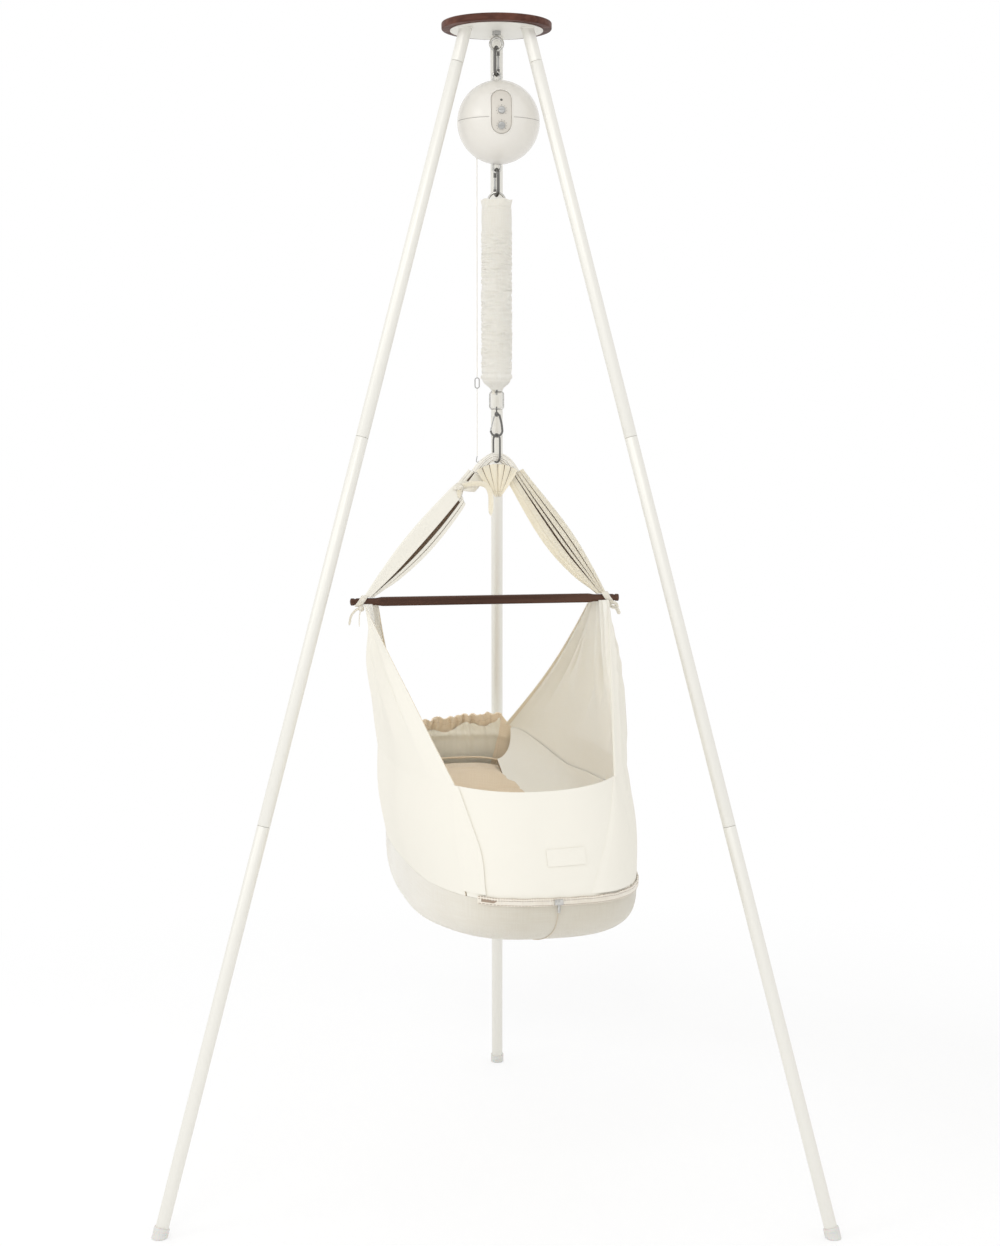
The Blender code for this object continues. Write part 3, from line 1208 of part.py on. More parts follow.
def build_pocket():
    """Underside of the basket, an open shell that holds the mattress."""
    angles = [2 * math.pi * i / 28 for i in range(28)]
    phases = (0.0, 0.22, 0.42, 0.60, 0.80)
    rings = [[(0.0, 0.0, SEAM_HEIGHT - POCKET_DEPTH)]]
    for phase in reversed(phases):
        rings.append([pocket_point(angle, phase, 0.0) for angle in angles])
    for phase in phases:
        rings.append([pocket_point(angle, phase, CLOTH_THICKNESS) for angle in angles])
    rings.append([(0.0, 0.0, SEAM_HEIGHT - POCKET_DEPTH + CLOTH_THICKNESS)])
    add_piece("mattress_pocket", hung(stack(rings)), "natural_cotton", hang(0, 0, SEAM_HEIGHT))


def mattress_rise(y):
    """Lift of the mattress along its length."""
    rise = MATTRESS_HEAD_RISE if y > 0 else MATTRESS_FOOT_RISE
    return rise * (abs(y) / MATTRESS_HALF_LENGTH) ** 2


def build_mattress():
    """Crowned cushion with drawn-in sides, lifted towards the head."""
    angles = [2 * math.pi * i / 24 for i in range(24)]
    base = SEAM_HEIGHT - POCKET_DEPTH + CLOTH_THICKNESS + GAP
    half = 0.5 * MATTRESS_THICKNESS
    rings = []
    for share, level in ((0.0, -1.0), (0.55, -0.97), (0.86, -0.80), (0.97, -0.45), (0.955, 0.0),
                         (0.97, 0.45), (0.86, 0.80), (0.55, 0.96), (0.0, 1.0)):
        ring = []
        for angle in angles:
            x, y = oval(angle, MATTRESS_HALF_WIDTH * share, MATTRESS_HALF_LENGTH * share, 3.2) if share else (0, 0)
            ring.append((x, y, base + half * (1.0 + level) + mattress_rise(y)))
        rings.append(ring if share else ring[:1])
    add_piece("mattress", hung(stack(rings)), "beige_cotton", hang(0, 0, base))


def wall_point(x_seam, y_seam, x_rim, y_rim, t):
    """Point of the wall between the seam (t 0) and the rim line (t 1), bowed outwards."""
    bow = 0.010 * math.sin(math.pi * t)
    x = blend(x_seam, x_rim, t)
    y = blend(y_seam, y_rim, t)
    length = max(math.hypot(x, y), 1e-6)
    return Vector((x * (1 + bow / length), y * (1 + bow / length), blend(SEAM_HEIGHT + GAP, RIM_HEIGHT, t)))


def side_line(u, side):
    """Seam and rim points of a side panel, u from the foot corner to the head corner."""
    seam_foot = oval_y(FOOT_SEAM_CORNER_X, BASKET_HALF_WIDTH, BASKET_HALF_LENGTH, BASKET_EXPONENT)
    seam_head = oval_y(HEAD_SEAM_CORNER_X, BASKET_HALF_WIDTH, BASKET_HALF_LENGTH, BASKET_EXPONENT)
    start = math.atan2(-seam_foot, FOOT_SEAM_CORNER_X)
    end = math.atan2(seam_head, HEAD_SEAM_CORNER_X)
    share = side_share(u, start, end)
    inset = 0.5 * CLOTH_THICKNESS
    x_seam, y_seam = oval(share, BASKET_HALF_WIDTH - inset, BASKET_HALF_LENGTH - inset, BASKET_EXPONENT)
    rim_foot = oval_y(FOOT_CORNER_X, RIM_HALF_WIDTH, RIM_HALF_LENGTH, RIM_EXPONENT)
    rim_head = oval_y(HEAD_CORNER_X, RIM_HALF_WIDTH, RIM_HALF_LENGTH, RIM_EXPONENT)
    start = math.atan2(-rim_foot, FOOT_CORNER_X)
    end = math.atan2(rim_head, HEAD_CORNER_X)
    x_rim, y_rim = oval(side_share(u, start, end), RIM_HALF_WIDTH, RIM_HALF_LENGTH, RIM_EXPONENT)
    return side * x_seam, y_seam, side * x_rim, y_rim


def side_share(u, start, end):
    """Angle along a side, with its steps spread more evenly along the length."""
    low = math.tan(start * 0.80)
    high = math.tan(end * 0.80)
    return math.atan(blend(low, high, u)) / 0.80


def side_point(u, v, side):
    """Point of a side panel, v 0 at the seam, 0.4 at the rim line and 1 at the bar."""
    x_seam, y_seam, x_rim, y_rim = side_line(u, side)
    top_x = side * (GATHER_CENTRE + GATHER_HALF_WIDTH * 0.65 * math.sin(u * 5 * math.pi))
    top_y = blend(-0.0115, 0.0115, u)
    top_z = BAR_HEIGHT - BAR_PEG_RADIUS - GAP - 0.5 * CLOTH_THICKNESS
    top = Vector((top_x, top_y, top_z))
    rim = wall_point(x_seam, y_seam, x_rim, y_rim, 1.0)
    if v <= 0.4:
        point = wall_point(x_seam, y_seam, x_rim, y_rim, v / 0.4)
        fold_share = 0.25 * ease(v / 0.4)
    else:
        t = (v - 0.4) / 0.6
        point = rim + (top - rim) * t
        point.x += side * 0.006 * math.sin(math.pi * t) * math.sin(math.pi * u)
        fold_share = blend(0.25, 1.0, math.sin(0.5 * math.pi * min(1.0, t / 0.6)))
        fold_share *= blend(1.0, 0.10, ease(max(0.0, (t - 0.6) / 0.4)))
    edge = math.sin(math.pi * u) ** 0.5
    fold = SIDE_FOLD * fold_share * edge * math.sin(u * 5 * math.pi)
    return point + Vector((side * fold, 0.0, 0.0))


def build_sides():
    """Left and right side panel, gathered to the bar's pegs."""
    rows = (0.0, 0.13, 0.27, 0.40, 0.52, 0.64, 0.76, 0.86, 0.94, 1.0)
    cols = 20
    margin = 0.006
    for name, side in (("left", -1.0), ("right", 1.0)):
        grid = []
        for v in rows:
            grid.append([side_point(margin + (1 - 2 * margin) * j / cols, v, side) for j in range(cols + 1)])
        add_piece("side_panel_" + name, hung(sheet(grid, CLOTH_THICKNESS)), "natural_cotton",
                  hang(side * GATHER_CENTRE, 0, BAR_HEIGHT))


def end_point(u, t, foot):
    """Point of the foot or head panel, u from left to right, t from the seam to the edge."""
    seam_corner = FOOT_SEAM_CORNER_X if foot else HEAD_SEAM_CORNER_X
    rim_corner = FOOT_CORNER_X if foot else HEAD_CORNER_X
    sign = -1.0 if foot else 1.0
    inset = 0.5 * CLOTH_THICKNESS
    x_seam = (seam_corner - 0.0042) * u
    y_seam = sign * oval_y(x_seam, BASKET_HALF_WIDTH - inset, BASKET_HALF_LENGTH - inset, BASKET_EXPONENT)
    x_rim = (rim_corner - 0.0042) * u
    y_rim = sign * oval_y(x_rim, RIM_HALF_WIDTH, RIM_HALF_LENGTH, RIM_EXPONENT)
    point = wall_point(x_seam, y_seam, x_rim, y_rim, t)
    if foot:
        point.z -= FOOT_EDGE_SAG * (1.0 - u * u) * t * t
    else:
        point.z += HEAD_EDGE_LIFT * t * t
        point.y += HEAD_RUFFLE * math.sin(u * 5 * math.pi) * ease(max(0.0, (t - 0.5) / 0.5)) * (1.0 - u ** 6)
    return point


def build_ends():
    """Foot panel and ruffled head panel."""
    for name, foot, cols in (("foot_panel", True, 12), ("head_panel", False, 20)):
        rows = (0.0, 0.25, 0.5, 0.75, 1.0)
        grid = []
        for t in rows:
            grid.append([end_point(-1.0 + 2.0 * j / cols, t, foot) for j in range(cols + 1)])
        add_piece(name, hung(sheet(grid, CLOTH_THICKNESS)), "natural_cotton", hang(0, 0, SEAM_HEIGHT))


def zip_outline(angle, out):
    """Point outside the seam by a distance."""
    x, y = oval(angle, BASKET_HALF_WIDTH + out, BASKET_HALF_LENGTH + out, BASKET_EXPONENT)
    return x, y


def build_zip():
    """Zip tape round the foot end, and its slider with a pull."""
    inner = GAP + 0.0004
    outer = inner + ZIP_TAPE_THICKNESS
    start = math.radians(-90 - 36)
    end = math.radians(-90 + 62)
    low = SEAM_HEIGHT - 0.62 * ZIP_TAPE_HEIGHT
    high = low + ZIP_TAPE_HEIGHT
    rings = []
    steps = 20
    for i in range(steps + 1):
        angle = math.atan2(math.sin(blend(start, end, i / steps)) * 2.2, math.cos(blend(start, end, i / steps)))
        near = zip_outline(angle, inner)
        far = zip_outline(angle, outer)
        rings.append([(*near, low), (*far, low), (*far, high), (*near, high)])
    add_piece("zip", hung(stack(rings)), "zip_tape")
    front = -(BASKET_HALF_LENGTH + outer + GAP)
    half = 0.5 * ZIP_SLIDER_LENGTH
    middle = 0.5 * (low + high)
    body = box((-half, front - ZIP_SLIDER_THICKNESS, middle - 0.5 * ZIP_SLIDER_HEIGHT),
               (half, front, middle + 0.5 * ZIP_SLIDER_HEIGHT))
    slider = add_piece("zip_slider", hung(body), "steel", hang(0, front, middle))
    pull = box((-0.3 * half, front - 0.8 * ZIP_SLIDER_THICKNESS, middle - ZIP_PULL_LENGTH),
               (0.3 * half, front - 0.4 * ZIP_SLIDER_THICKNESS, middle))
    combine(slider, [hung(pull)], "UNION", "zip_pull")


# Pull cord

def build_cord():
    """Thin cord from the drum to the clip, and on to its hook at the apex."""
    x = -CORD_OFFSET
    clip_top = CLIP_HEIGHT + 0.5 * CLIP_LENGTH
    clip_low = CLIP_HEIGHT - 0.5 * CLIP_LENGTH
    top = drum_height()
    add_piece("pull_cord_upper", rod((x, 0, clip_top + GAP), (x, 0, top), CORD_RADIUS, 6), "natural_cotton",
              (x, 0, top))
    half = CLIP_HALF_WIDTH
    upper = clip_top - CLIP_WIRE_RADIUS - half
    lower = clip_low + CLIP_WIRE_RADIUS + half
    path = arc((x, 0, upper), half, 0, 180, 6, X_AXIS, Z_AXIS)
    path += arc((x, 0, lower), half, 180, 360, 6, X_AXIS, Z_AXIS)
    add_piece("cord_clip", wire(path, CLIP_WIRE_RADIUS, Y_AXIS, closed=True, sides=6), "steel", (x, 0, CLIP_HEIGHT))
    hook_top = APEX_CENTRE + 0.0012
    add_piece("pull_cord_lower", rod((x, 0, hook_top + GAP), (x, 0, clip_low - GAP), CORD_RADIUS, 6),
              "natural_cotton", (x, 0, clip_low))
    hook = [Vector((x, 0, hook_top))]
    hook.append(Vector((x - 0.001, 0, hook_top - 0.5 * END_HOOK_LENGTH)))
    hook += arc((x + 0.0008, 0, hook_top - 0.75 * END_HOOK_LENGTH), 0.0022, 200, 350, 4, X_AXIS, Z_AXIS)
    add_piece("cord_hook", wire(hook, 0.0007, Y_AXIS, sides=6), "steel", (x, 0, hook_top))


def centre_assembly():
    """Put the world origin at the middle of the footprint, on the floor."""
    bpy.context.view_layer.update()
    depsgraph = bpy.context.evaluated_depsgraph_get()
    low = Vector((1e9, 1e9, 1e9))
    high = -low
    for obj in bpy.context.scene.objects:
        if obj.type != "MESH" or obj.hide_render:
            continue
        shape = obj.evaluated_get(depsgraph)
        for vertex in shape.data.vertices:
            point = obj.matrix_world @ vertex.co
            low = Vector(map(min, low, point))
            high = Vector(map(max, high, point))
    frame = bpy.data.objects["assembly_frame"]
    frame.location = (-0.5 * (low.x + high.x), -0.5 * (low.y + high.y), -low.z)
    print("assembly moved by", tuple(round(value, 6) for value in frame.location))


def main():
    """Build the whole hammock and stand."""
    for obj in list(bpy.data.objects):
        bpy.data.objects.remove(obj, do_unlink=True)
    frame = bpy.data.objects.new("assembly_frame", None)
    bpy.context.scene.collection.objects.link(frame)
    build_stand()
    build_eye_bolt()
    build_carabiner("upper_carabiner", UPPER_CARABINER_TOP, UPPER_CARABINER_BOTTOM, UPPER_CARABINER_TURN)
    build_shells()
    build_hanger()
    build_panel()
    build_drive()
    build_carabiner("lower_carabiner", LOWER_CARABINER_TOP, LOWER_CARABINER_BOTTOM, LOWER_CARABINER_TURN)
    build_top_ring()
    build_spring()
    build_safety_strap()
    build_sleeve()
    build_bottom_ring()
    build_snap_hook()
    build_hanging_ring()
    build_bar()
    build_apex()
    build_straps()
    build_ties()
    build_pocket()
    build_mattress()
    build_sides()
    build_ends()
    build_zip()
    build_cord()
    centre_assembly()


main()
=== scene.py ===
"""Looks of the baby hammock with stand: its finishes, its cloth and its stage.

Laid out as an add-on and run as a script. Lengths are metres. Every piece is worked out
around the tripod's upright axis and moved by AXIS_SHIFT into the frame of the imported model.
"""

import math

import bmesh
import bpy
import numpy as np
from bpy.props import FloatProperty, FloatVectorProperty, PointerProperty
from mathutils import Matrix, Vector, noise


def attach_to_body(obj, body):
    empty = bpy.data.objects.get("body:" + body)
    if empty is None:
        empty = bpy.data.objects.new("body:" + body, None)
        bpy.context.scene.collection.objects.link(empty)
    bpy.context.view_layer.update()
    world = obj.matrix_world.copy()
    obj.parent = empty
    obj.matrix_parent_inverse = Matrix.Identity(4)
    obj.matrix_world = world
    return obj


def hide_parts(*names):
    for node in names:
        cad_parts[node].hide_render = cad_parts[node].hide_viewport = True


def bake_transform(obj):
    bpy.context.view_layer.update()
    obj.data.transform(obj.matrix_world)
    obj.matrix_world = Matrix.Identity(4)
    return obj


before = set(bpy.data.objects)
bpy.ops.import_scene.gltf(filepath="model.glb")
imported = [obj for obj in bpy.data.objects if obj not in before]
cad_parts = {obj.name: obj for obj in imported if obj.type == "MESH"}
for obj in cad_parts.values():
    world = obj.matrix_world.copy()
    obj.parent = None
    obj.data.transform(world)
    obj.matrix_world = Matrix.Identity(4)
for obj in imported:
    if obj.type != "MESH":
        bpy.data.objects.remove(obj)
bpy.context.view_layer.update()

bl_info = {
    "name": "Baby hammock with stand",
    "version": (1, 0, 0),
    "blender": (4, 5, 0),
    "location": "3D View > Sidebar > Hammock",
    "description": "Dresses the packed hammock and stand with cloth, wood, paint and metal",
    "category": "Object",
}

AXIS_SHIFT = np.array((0.0, -0.111734, 0.0))
GAP = 0.0003
X_AXIS = Vector((1.0, 0.0, 0.0))
Y_AXIS = Vector((0.0, 1.0, 0.0))
Z_AXIS = Vector((0.0, 0.0, 1.0))

# Stand
STAND_HEIGHT = 1.849
DISC_RADIUS = 0.0865
DISC_UNDERSIDE = 1.838
PLATE_RADIUS = 0.073
PLATE_UNDERSIDE = 1.8362
PLATE_TOP = 1.8377
LEG_RADIUS = 0.010
LEG_HEAD_CIRCLE = 0.0554
FOOT_CIRCLE = 0.5875
LEG_SEAMS = (0.0554, 0.6590, 1.2736)
FOOT_RADIUS = 0.0120
FOOT_HEIGHT = 0.0165
FOOT_SOLE = 0.0085
LEG_AZIMUTHS = {"left": 210.0, "right": 330.0, "rear": 90.0}

# Chain of links
EYE_CENTRE = 1.8167
EYE_RADIUS = 0.00975
EYE_WIRE = 0.00225
UPPER_CARABINER = (1.8143, 1.7663, 72.0)
LOWER_CARABINER = (1.6257, 1.5802, 108.0)
CARABINER_HALF = 0.0085
CARABINER_WIRE = 0.0024
GATE_WIRE = 0.0018
HANGER_TOP = 1.7754
HANGER_LOW = 1.6166
HANGER_HALF = 0.0055
HANGER_WIRE = 0.0020
BALL_CENTRE = Vector((0.0030, 0.0, 1.6960))
BALL_RADIUS = 0.065
BALL_WALL = 0.0028
PANEL_SIZE = (0.032, 0.069)
PANEL_RECESS = 0.0009
PANEL_TURN = 4.5
KNOB_LATITUDES = {"speed_knob": 8.8, "timer_knob": -11.9}
KNOB_RADIUS = 0.0058
KNOB_HEIGHT = 0.0030
LENS_LATITUDE = 24.2
LENS_RADIUS = 0.0017
TOP_RING_CENTRE = 1.5741
TOP_RING_RADIUS = 0.0131
TOP_RING_BAR = 1.5646
TOP_RING_WIRE = 0.0019
SPRING_RADIUS = 0.0160
SPRING_WIRE = 0.0016
SPRING_COIL = (1.5506, 1.2995, 14)
SLEEVE_RADIUS = 0.0245
SLEEVE_TOP = 1.5766
SLEEVE_LOW = 1.2929
SLEEVE_TAIL = 1.2779
SLEEVE_TAIL_RADIUS = 0.0100
BOTTOM_RING = (1.2740, 1.2476, 0.0107, 0.0034, 0.0013)
SWIVEL_EYE = 1.2470
HOOK_BARREL = (1.2423, 1.2367, 0.0034)
HOOK_LOW = 1.2024
HOOK_HALF = 0.0092
HOOK_WIRE = 0.0017
HANGING_RING = (1.2091, 1.1611, 0.0105, 0.0015, 120.0)
CORD_X = -0.0310
CORD_RADIUS = 0.00075
CORD_TOP = 1.684
CLIP_CENTRE = 1.2885
CLIP_LENGTH = 0.0180
CORD_LOW = 1.1729

# Hammock
YAW = math.radians(12.0)
BAR_HEIGHT = 0.9426
BAR_SHIFT = -0.0170
BASKET_SHIFT = 0.0120
BAR_HALF_LENGTH = 0.2200
BAR_BODY_HALF = 0.1800
BAR_PEG = 0.0058
GATHER_CENTRE = 0.1905
GATHER_HALF = 0.0085
APEX_HALF_LENGTH = 0.0300
APEX_DROP = 0.0260
APEX_CENTRE = 1.1714
STRAP_HALF_WIDTH = 0.0220
STRAP_TOP_HALF = 0.0105
SEAM_HEIGHT = 0.5350
BASKET = (0.1720, 0.3750, 3.0)
POCKET_DEPTH = 0.0950
RIM_HEIGHT = 0.6920
RIM = (0.1800, 0.3300, 2.6)
FOOT_CORNER_X = 0.1220
HEAD_CORNER_X = 0.0780
FOOT_SEAM_CORNER_X = 0.1250
HEAD_SEAM_CORNER_X = 0.1150
FOOT_EDGE_SAG = 0.0080
HEAD_EDGE_LIFT = 0.0170
MATTRESS = (0.1450, 0.3450, 3.2)
MATTRESS_THICKNESS = 0.0780
MATTRESS_BASE = SEAM_HEIGHT - POCKET_DEPTH + 0.0024 + GAP
MATTRESS_HEAD_RISE = 0.1050
MATTRESS_FOOT_RISE = 0.0450
ZIP_TAPE_HEIGHT = 0.0110
SEAM_INSET = 0.0012

# Flat cloth before it is gathered, folded or sewn: width and length
SLEEVE_FLAT = (0.172, 0.36)
STRAP_LENGTH = 0.285
DRAPE_FLAT = (0.090, 0.062)
SIDE_FLAT = (0.74, 0.54)
FOOT_FLAT = (0.262, 0.165)
HEAD_FLAT = (0.300, 0.180)
HEAD_LINING_FLAT = (0.225, 0.135)
CORNER_FLATS = {"left": (0.095, 0.170), "right": (0.130, 0.170)}
HEAD_FOLD_FLAT = (0.085, 0.125)
INNER_FLAT = (0.115, 0.66)
PATCH_FLAT = (0.058, 0.0262)

# Camera and lamps
CAMERA_PLACE = (0.0054, -3.457084, 1.22224)
CAMERA_TILT = 0.0945922
CAMERA_LENS = 60.34
CAMERA_SENSOR = 36.0
KEY_LAMP = ((-3.7, -2.3, 2.9), 2.0)
FRONT_LAMP = ((-0.7, -3.3, 3.1), 1.4)
LAMP_TARGET = Vector((0.0, -0.1, 0.9))


# Values that a user would change

def colour_property(name, description, value):
    """A colour of the object."""
    return FloatVectorProperty(name=name, description=description, subtype="COLOR", size=3,
                               min=0.0, max=1.0, default=value)


def length_property(name, description, value, high):
    """A length of the object."""
    return FloatProperty(name=name, description=description, subtype="DISTANCE", unit="LENGTH",
                         min=0.0, max=high, default=value, precision=5)


class HammockColours(bpy.types.PropertyGroup):
    """Colours of the hammock and its stand"""

    walnut: colour_property("Walnut disc", "Disc on top of the stand", (0.105, 0.040, 0.026))
    bar: colour_property("Walnut bar", "Spreader bar", (0.092, 0.046, 0.030))
    paint: colour_property("Powder coat", "Legs and top plate", (0.765, 0.755, 0.71))
    plastic: colour_property("Ball", "Moulded shell of the motor ball", (0.615, 0.58, 0.515))
    cotton: colour_property("Natural cotton", "Outside of the hammock, straps and sleeve", (0.895, 0.875, 0.815))
    # Painted light: the inner faces get a lighter colour than the outside cotton, standing in for light that comes
    # through the thin cloth.
    lining: colour_property("Lining cotton", "Inner face of the panels", (0.965, 0.945, 0.875))
    mattress: colour_property("Mattress cotton", "Mattress cover and ruffle", (0.88, 0.75, 0.58))
    tape: colour_property("Zip tape", "Woven tape of the zip", (0.96, 0.90, 0.80))
    gunmetal: colour_property("Gunmetal", "Carabiners and snap hook", (0.20, 0.195, 0.19))
    nickel: colour_property("Nickel", "Rings, eye bolt and hanger", (0.62, 0.61, 0.58))
    steel: colour_property("Steel", "Gates, nut and knobs", (0.42, 0.42, 0.42))
    rubber: colour_property("Rubber", "Feet", (0.70, 0.68, 0.62))


class HammockCloth(bpy.types.PropertyGroup):
    """Sizes of the cloth and its folds"""

    thickness: length_property("Cloth thickness", "Thickness of the double cotton", 0.0020, 0.004)
    hem: length_property("Hem width", "Width of the turned hems", 0.0120, 0.03)
    fold: length_property("Fold depth", "Depth of the long folds under the bar", 0.0085, 0.012)
    ruche: length_property("Ruche depth", "Depth of the sleeve's gathers", 0.0017, 0.003)
    pitch: length_property("Thread pitch", "Distance between the threads of the weave", 0.0007, 0.003)


class HammockStage(bpy.types.PropertyGroup):
    """Lamps and floor"""

    key: FloatProperty(name="Key lamp", description="Power of the large soft lamp", subtype="POWER", default=20.0)
    fill: FloatProperty(name="Front lamp", description="Power of the soft lamp above the camera", subtype="POWER",
                        default=17.0)
    sky: FloatProperty(name="Sky", description="Level of the white surroundings", default=0.95, min=0.0, max=1.0)
    floor: length_property("Floor radius", "Radius of the pale floor", 9.0, 50.0)


def colours():
    """The object's colours."""
    return bpy.context.scene.hammock_colours


def cloth():
    """The cloth's sizes."""
    return bpy.context.scene.hammock_cloth


# Meshes from grids of points

def blend(a, b, t):
    """The value a share t of the way from a to b."""
    return a + (b - a) * t


def ease(t):
    """A share that starts and ends gently."""
    t = min(1.0, max(0.0, t))
    return t * t * (3.0 - 2.0 * t)


def oval(angle, half_width, half_length, exponent):
    """Point of a rounded-rectangle outline at an angle from the right side."""
    c = math.cos(angle)
    s = math.sin(angle)
    scale = (abs(c / half_width) ** exponent + abs(s / half_length) ** exponent) ** (-1.0 / exponent)
    return c * scale, s * scale


def oval_y(x, half_width, half_length, exponent):
    """Length of an outline at a distance across it."""
    return half_length * (1.0 - (abs(x) / half_width) ** exponent) ** (1.0 / exponent)


def side_shift(height):
    """Sideways lean of the hammock at a height."""
    if height > BAR_HEIGHT:
        return BAR_SHIFT * max(0.0, (APEX_CENTRE - height) / (APEX_CENTRE - BAR_HEIGHT))
    if height < SEAM_HEIGHT:
        return BASKET_SHIFT
    return blend(BASKET_SHIFT, BAR_SHIFT, (height - SEAM_HEIGHT) / (BAR_HEIGHT - SEAM_HEIGHT))


def hang(x, y, z):
    """A point of the hammock's own frame, turned and leaned into the assembly."""
    return Vector((x * math.cos(YAW) - y * math.sin(YAW) + side_shift(z), x * math.sin(YAW) + y * math.cos(YAW), z))


def hang_grid(grid):
    """A grid of the hammock's own frame, in the assembly."""
    return np.array([[hang(*point) for point in row] for row in grid])


def plan_direction(azimuth):
    """Level direction at an angle in degrees from X."""
    return Vector((math.cos(math.radians(azimuth)), math.sin(math.radians(azimuth)), 0.0))


def around(count):
    """Angles of evenly spaced points round a ring."""
    return [2 * math.pi * k / count for k in range(count)]


def arc(centre, radius, start, end, steps, across, high):
    """Points of an arc in the plane of two directions, angles in degrees."""
    points = []
    for i in range(steps + 1):
        angle = math.radians(start + (end - start) * i / steps)
        points.append(Vector(centre) + across * (radius * math.cos(angle)) + high * (radius * math.sin(angle)))
    return points


def axis_matrix(point, direction):
    """A matrix that carries +Z to a direction at a point."""
    return Matrix.Translation(Vector(point)) @ Vector(direction).to_track_quat("Z", "Y").to_matrix().to_4x4()


def smooth_path(points, steps, closed=False):
    """Points of a smooth curve through the given ones."""
    points = [Vector(point) for point in points]
    count = len(points)
    spans = count if closed else count - 1
    path = []
    for i in range(spans):
        b = points[i]
        c = points[(i + 1) % count]
        a = points[i - 1] if (closed or i > 0) else b * 2 - c
        d = points[(i + 2) % count] if (closed or i < count - 2) else c * 2 - b
        for k in range(steps):
            t = k / steps
            path.append(0.5 * ((2 * b) + (c - a) * t + (2 * a - 5 * b + 4 * c - d) * t * t
                               + (3 * b - a - 3 * c + d) * t ** 3))
    if not closed:
        path.append(points[-1])
    return path


def tube_grid(points, radius, up, sides=16, closed=False):
    """Rings of points round a path. radius is one value or a pair, across and up."""
    points = [Vector(point) for point in points]
    count = len(points)
    wide, high = radius if isinstance(radius, tuple) else (radius, radius)
    normal = Vector(up)
    rings = []
    for i, point in enumerate(points):
        before = points[i - 1] if (closed or i > 0) else point
        after = points[(i + 1) % count] if (closed or i < count - 1) else point
        tangent = (after - before).normalized()
        normal = (normal - tangent * normal.dot(tangent)).normalized()
        side = tangent.cross(normal)
        rings.append([point + side * (wide * math.cos(angle)) + normal * (high * math.sin(angle))
                      for angle in around(sides)])
    return np.array(rings)


def lathe_grid(profile, sides=64, matrix=None):
    """Rings of a profile of (radius, height) turned about Z, then carried by a matrix."""
    rings = []
    for radius, height in profile:
        ring = [Vector((radius * math.cos(angle), radius * math.sin(angle), height)) for angle in around(sides)]
        rings.append([matrix @ point for point in ring] if matrix else ring)
    return np.array(rings)


def grid_faces(rows, cols, closed_rows, closed_cols, start=0):
    """Quads over a grid of points."""
    faces = []
    for i in range(rows if closed_rows else rows - 1):
        for j in range(cols if closed_cols else cols - 1):
            a = start + i * cols + j
            b = start + i * cols + (j + 1) % cols
            c = start + ((i + 1) % rows) * cols + (j + 1) % cols
            d = start + ((i + 1) % rows) * cols + j
            faces.append((a, b, c, d))
    return faces


def joined(parts):
    """Points and faces of several grids. A part is (grid, closed along, closed across, capped)."""
    points = []
    faces = []
    for grid, closed_rows, closed_cols, capped in parts:
        rows, cols = grid.shape[:2]
        start = sum(len(block) for block in points)
        points.append(grid.reshape(-1, 3))
        faces += grid_faces(rows, cols, closed_rows, closed_cols, start)
        if capped:
            faces.append(tuple(start + j for j in range(cols))[::-1])
            faces.append(tuple(start + (rows - 1) * cols + j for j in range(cols)))
    return np.concatenate(points), faces


def link_part(x, top, low, half, wire, across, sides, steps=20):
    """A long closed link of wire between two heights, as one part."""
    path = arc((x, 0, top - wire - half), half, 0, 180, steps, across, Z_AXIS)
    path += arc((x, 0, low + wire + half), half, 180, 360, steps, across, Z_AXIS)
    return wire_part(path, wire, across.cross(Z_AXIS), sides, True)


def wire_part(points, radius, up, sides=16, closed=False):
    """A round wire as one part."""
    return (tube_grid(points, radius, up, sides, closed), closed, True, not closed)


def lathe_part(profile, sides=64, matrix=None):
    """A turned body as one part."""
    return (lathe_grid(profile, sides, matrix), False, True, True)


def new_piece(name, points, faces, materials, angle=35.0):
    """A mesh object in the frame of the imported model, its normals outwards."""
    mesh = bpy.data.meshes.new(name)
    mesh.from_pydata((np.asarray(points) + AXIS_SHIFT).tolist(), [], faces)
    body = bmesh.new()
    body.from_mesh(mesh)
    bmesh.ops.recalc_face_normals(body, faces=body.faces)
    body.to_mesh(mesh)
    body.free()
    for material in materials:
        mesh.materials.append(material)
    obj = bpy.data.objects.new(name, mesh)
    bpy.context.scene.collection.objects.link(obj)
    smooth(obj, angle)
    return obj


def smooth(obj, angle):
    """Smooth shading that breaks at edges sharper than an angle in degrees."""
    obj.data.shade_smooth()
    obj.data.set_sharp_from_angle(angle=math.radians(angle))


def grid_piece(name, parts, materials, angle=60.0):
    """A mesh object from parts, with box coordinates."""
    points, faces = joined(parts)
    obj = new_piece(name, points, faces, materials, angle)
    box_uv(obj)
    return obj


def settle(obj, body, slot, *nodes):
    """Put a piece on its body, in the place of CAD nodes. slot is not used."""
    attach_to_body(obj, body)
    if nodes:
        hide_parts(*nodes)


def solid_piece(name, parts, material, body, nodes, angle=35.0):
    """A rigid piece of one finish that stands for CAD nodes."""
    obj = grid_piece(name, parts, [material], angle)
    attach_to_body(obj, body)
    if nodes:
        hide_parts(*nodes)
    return obj


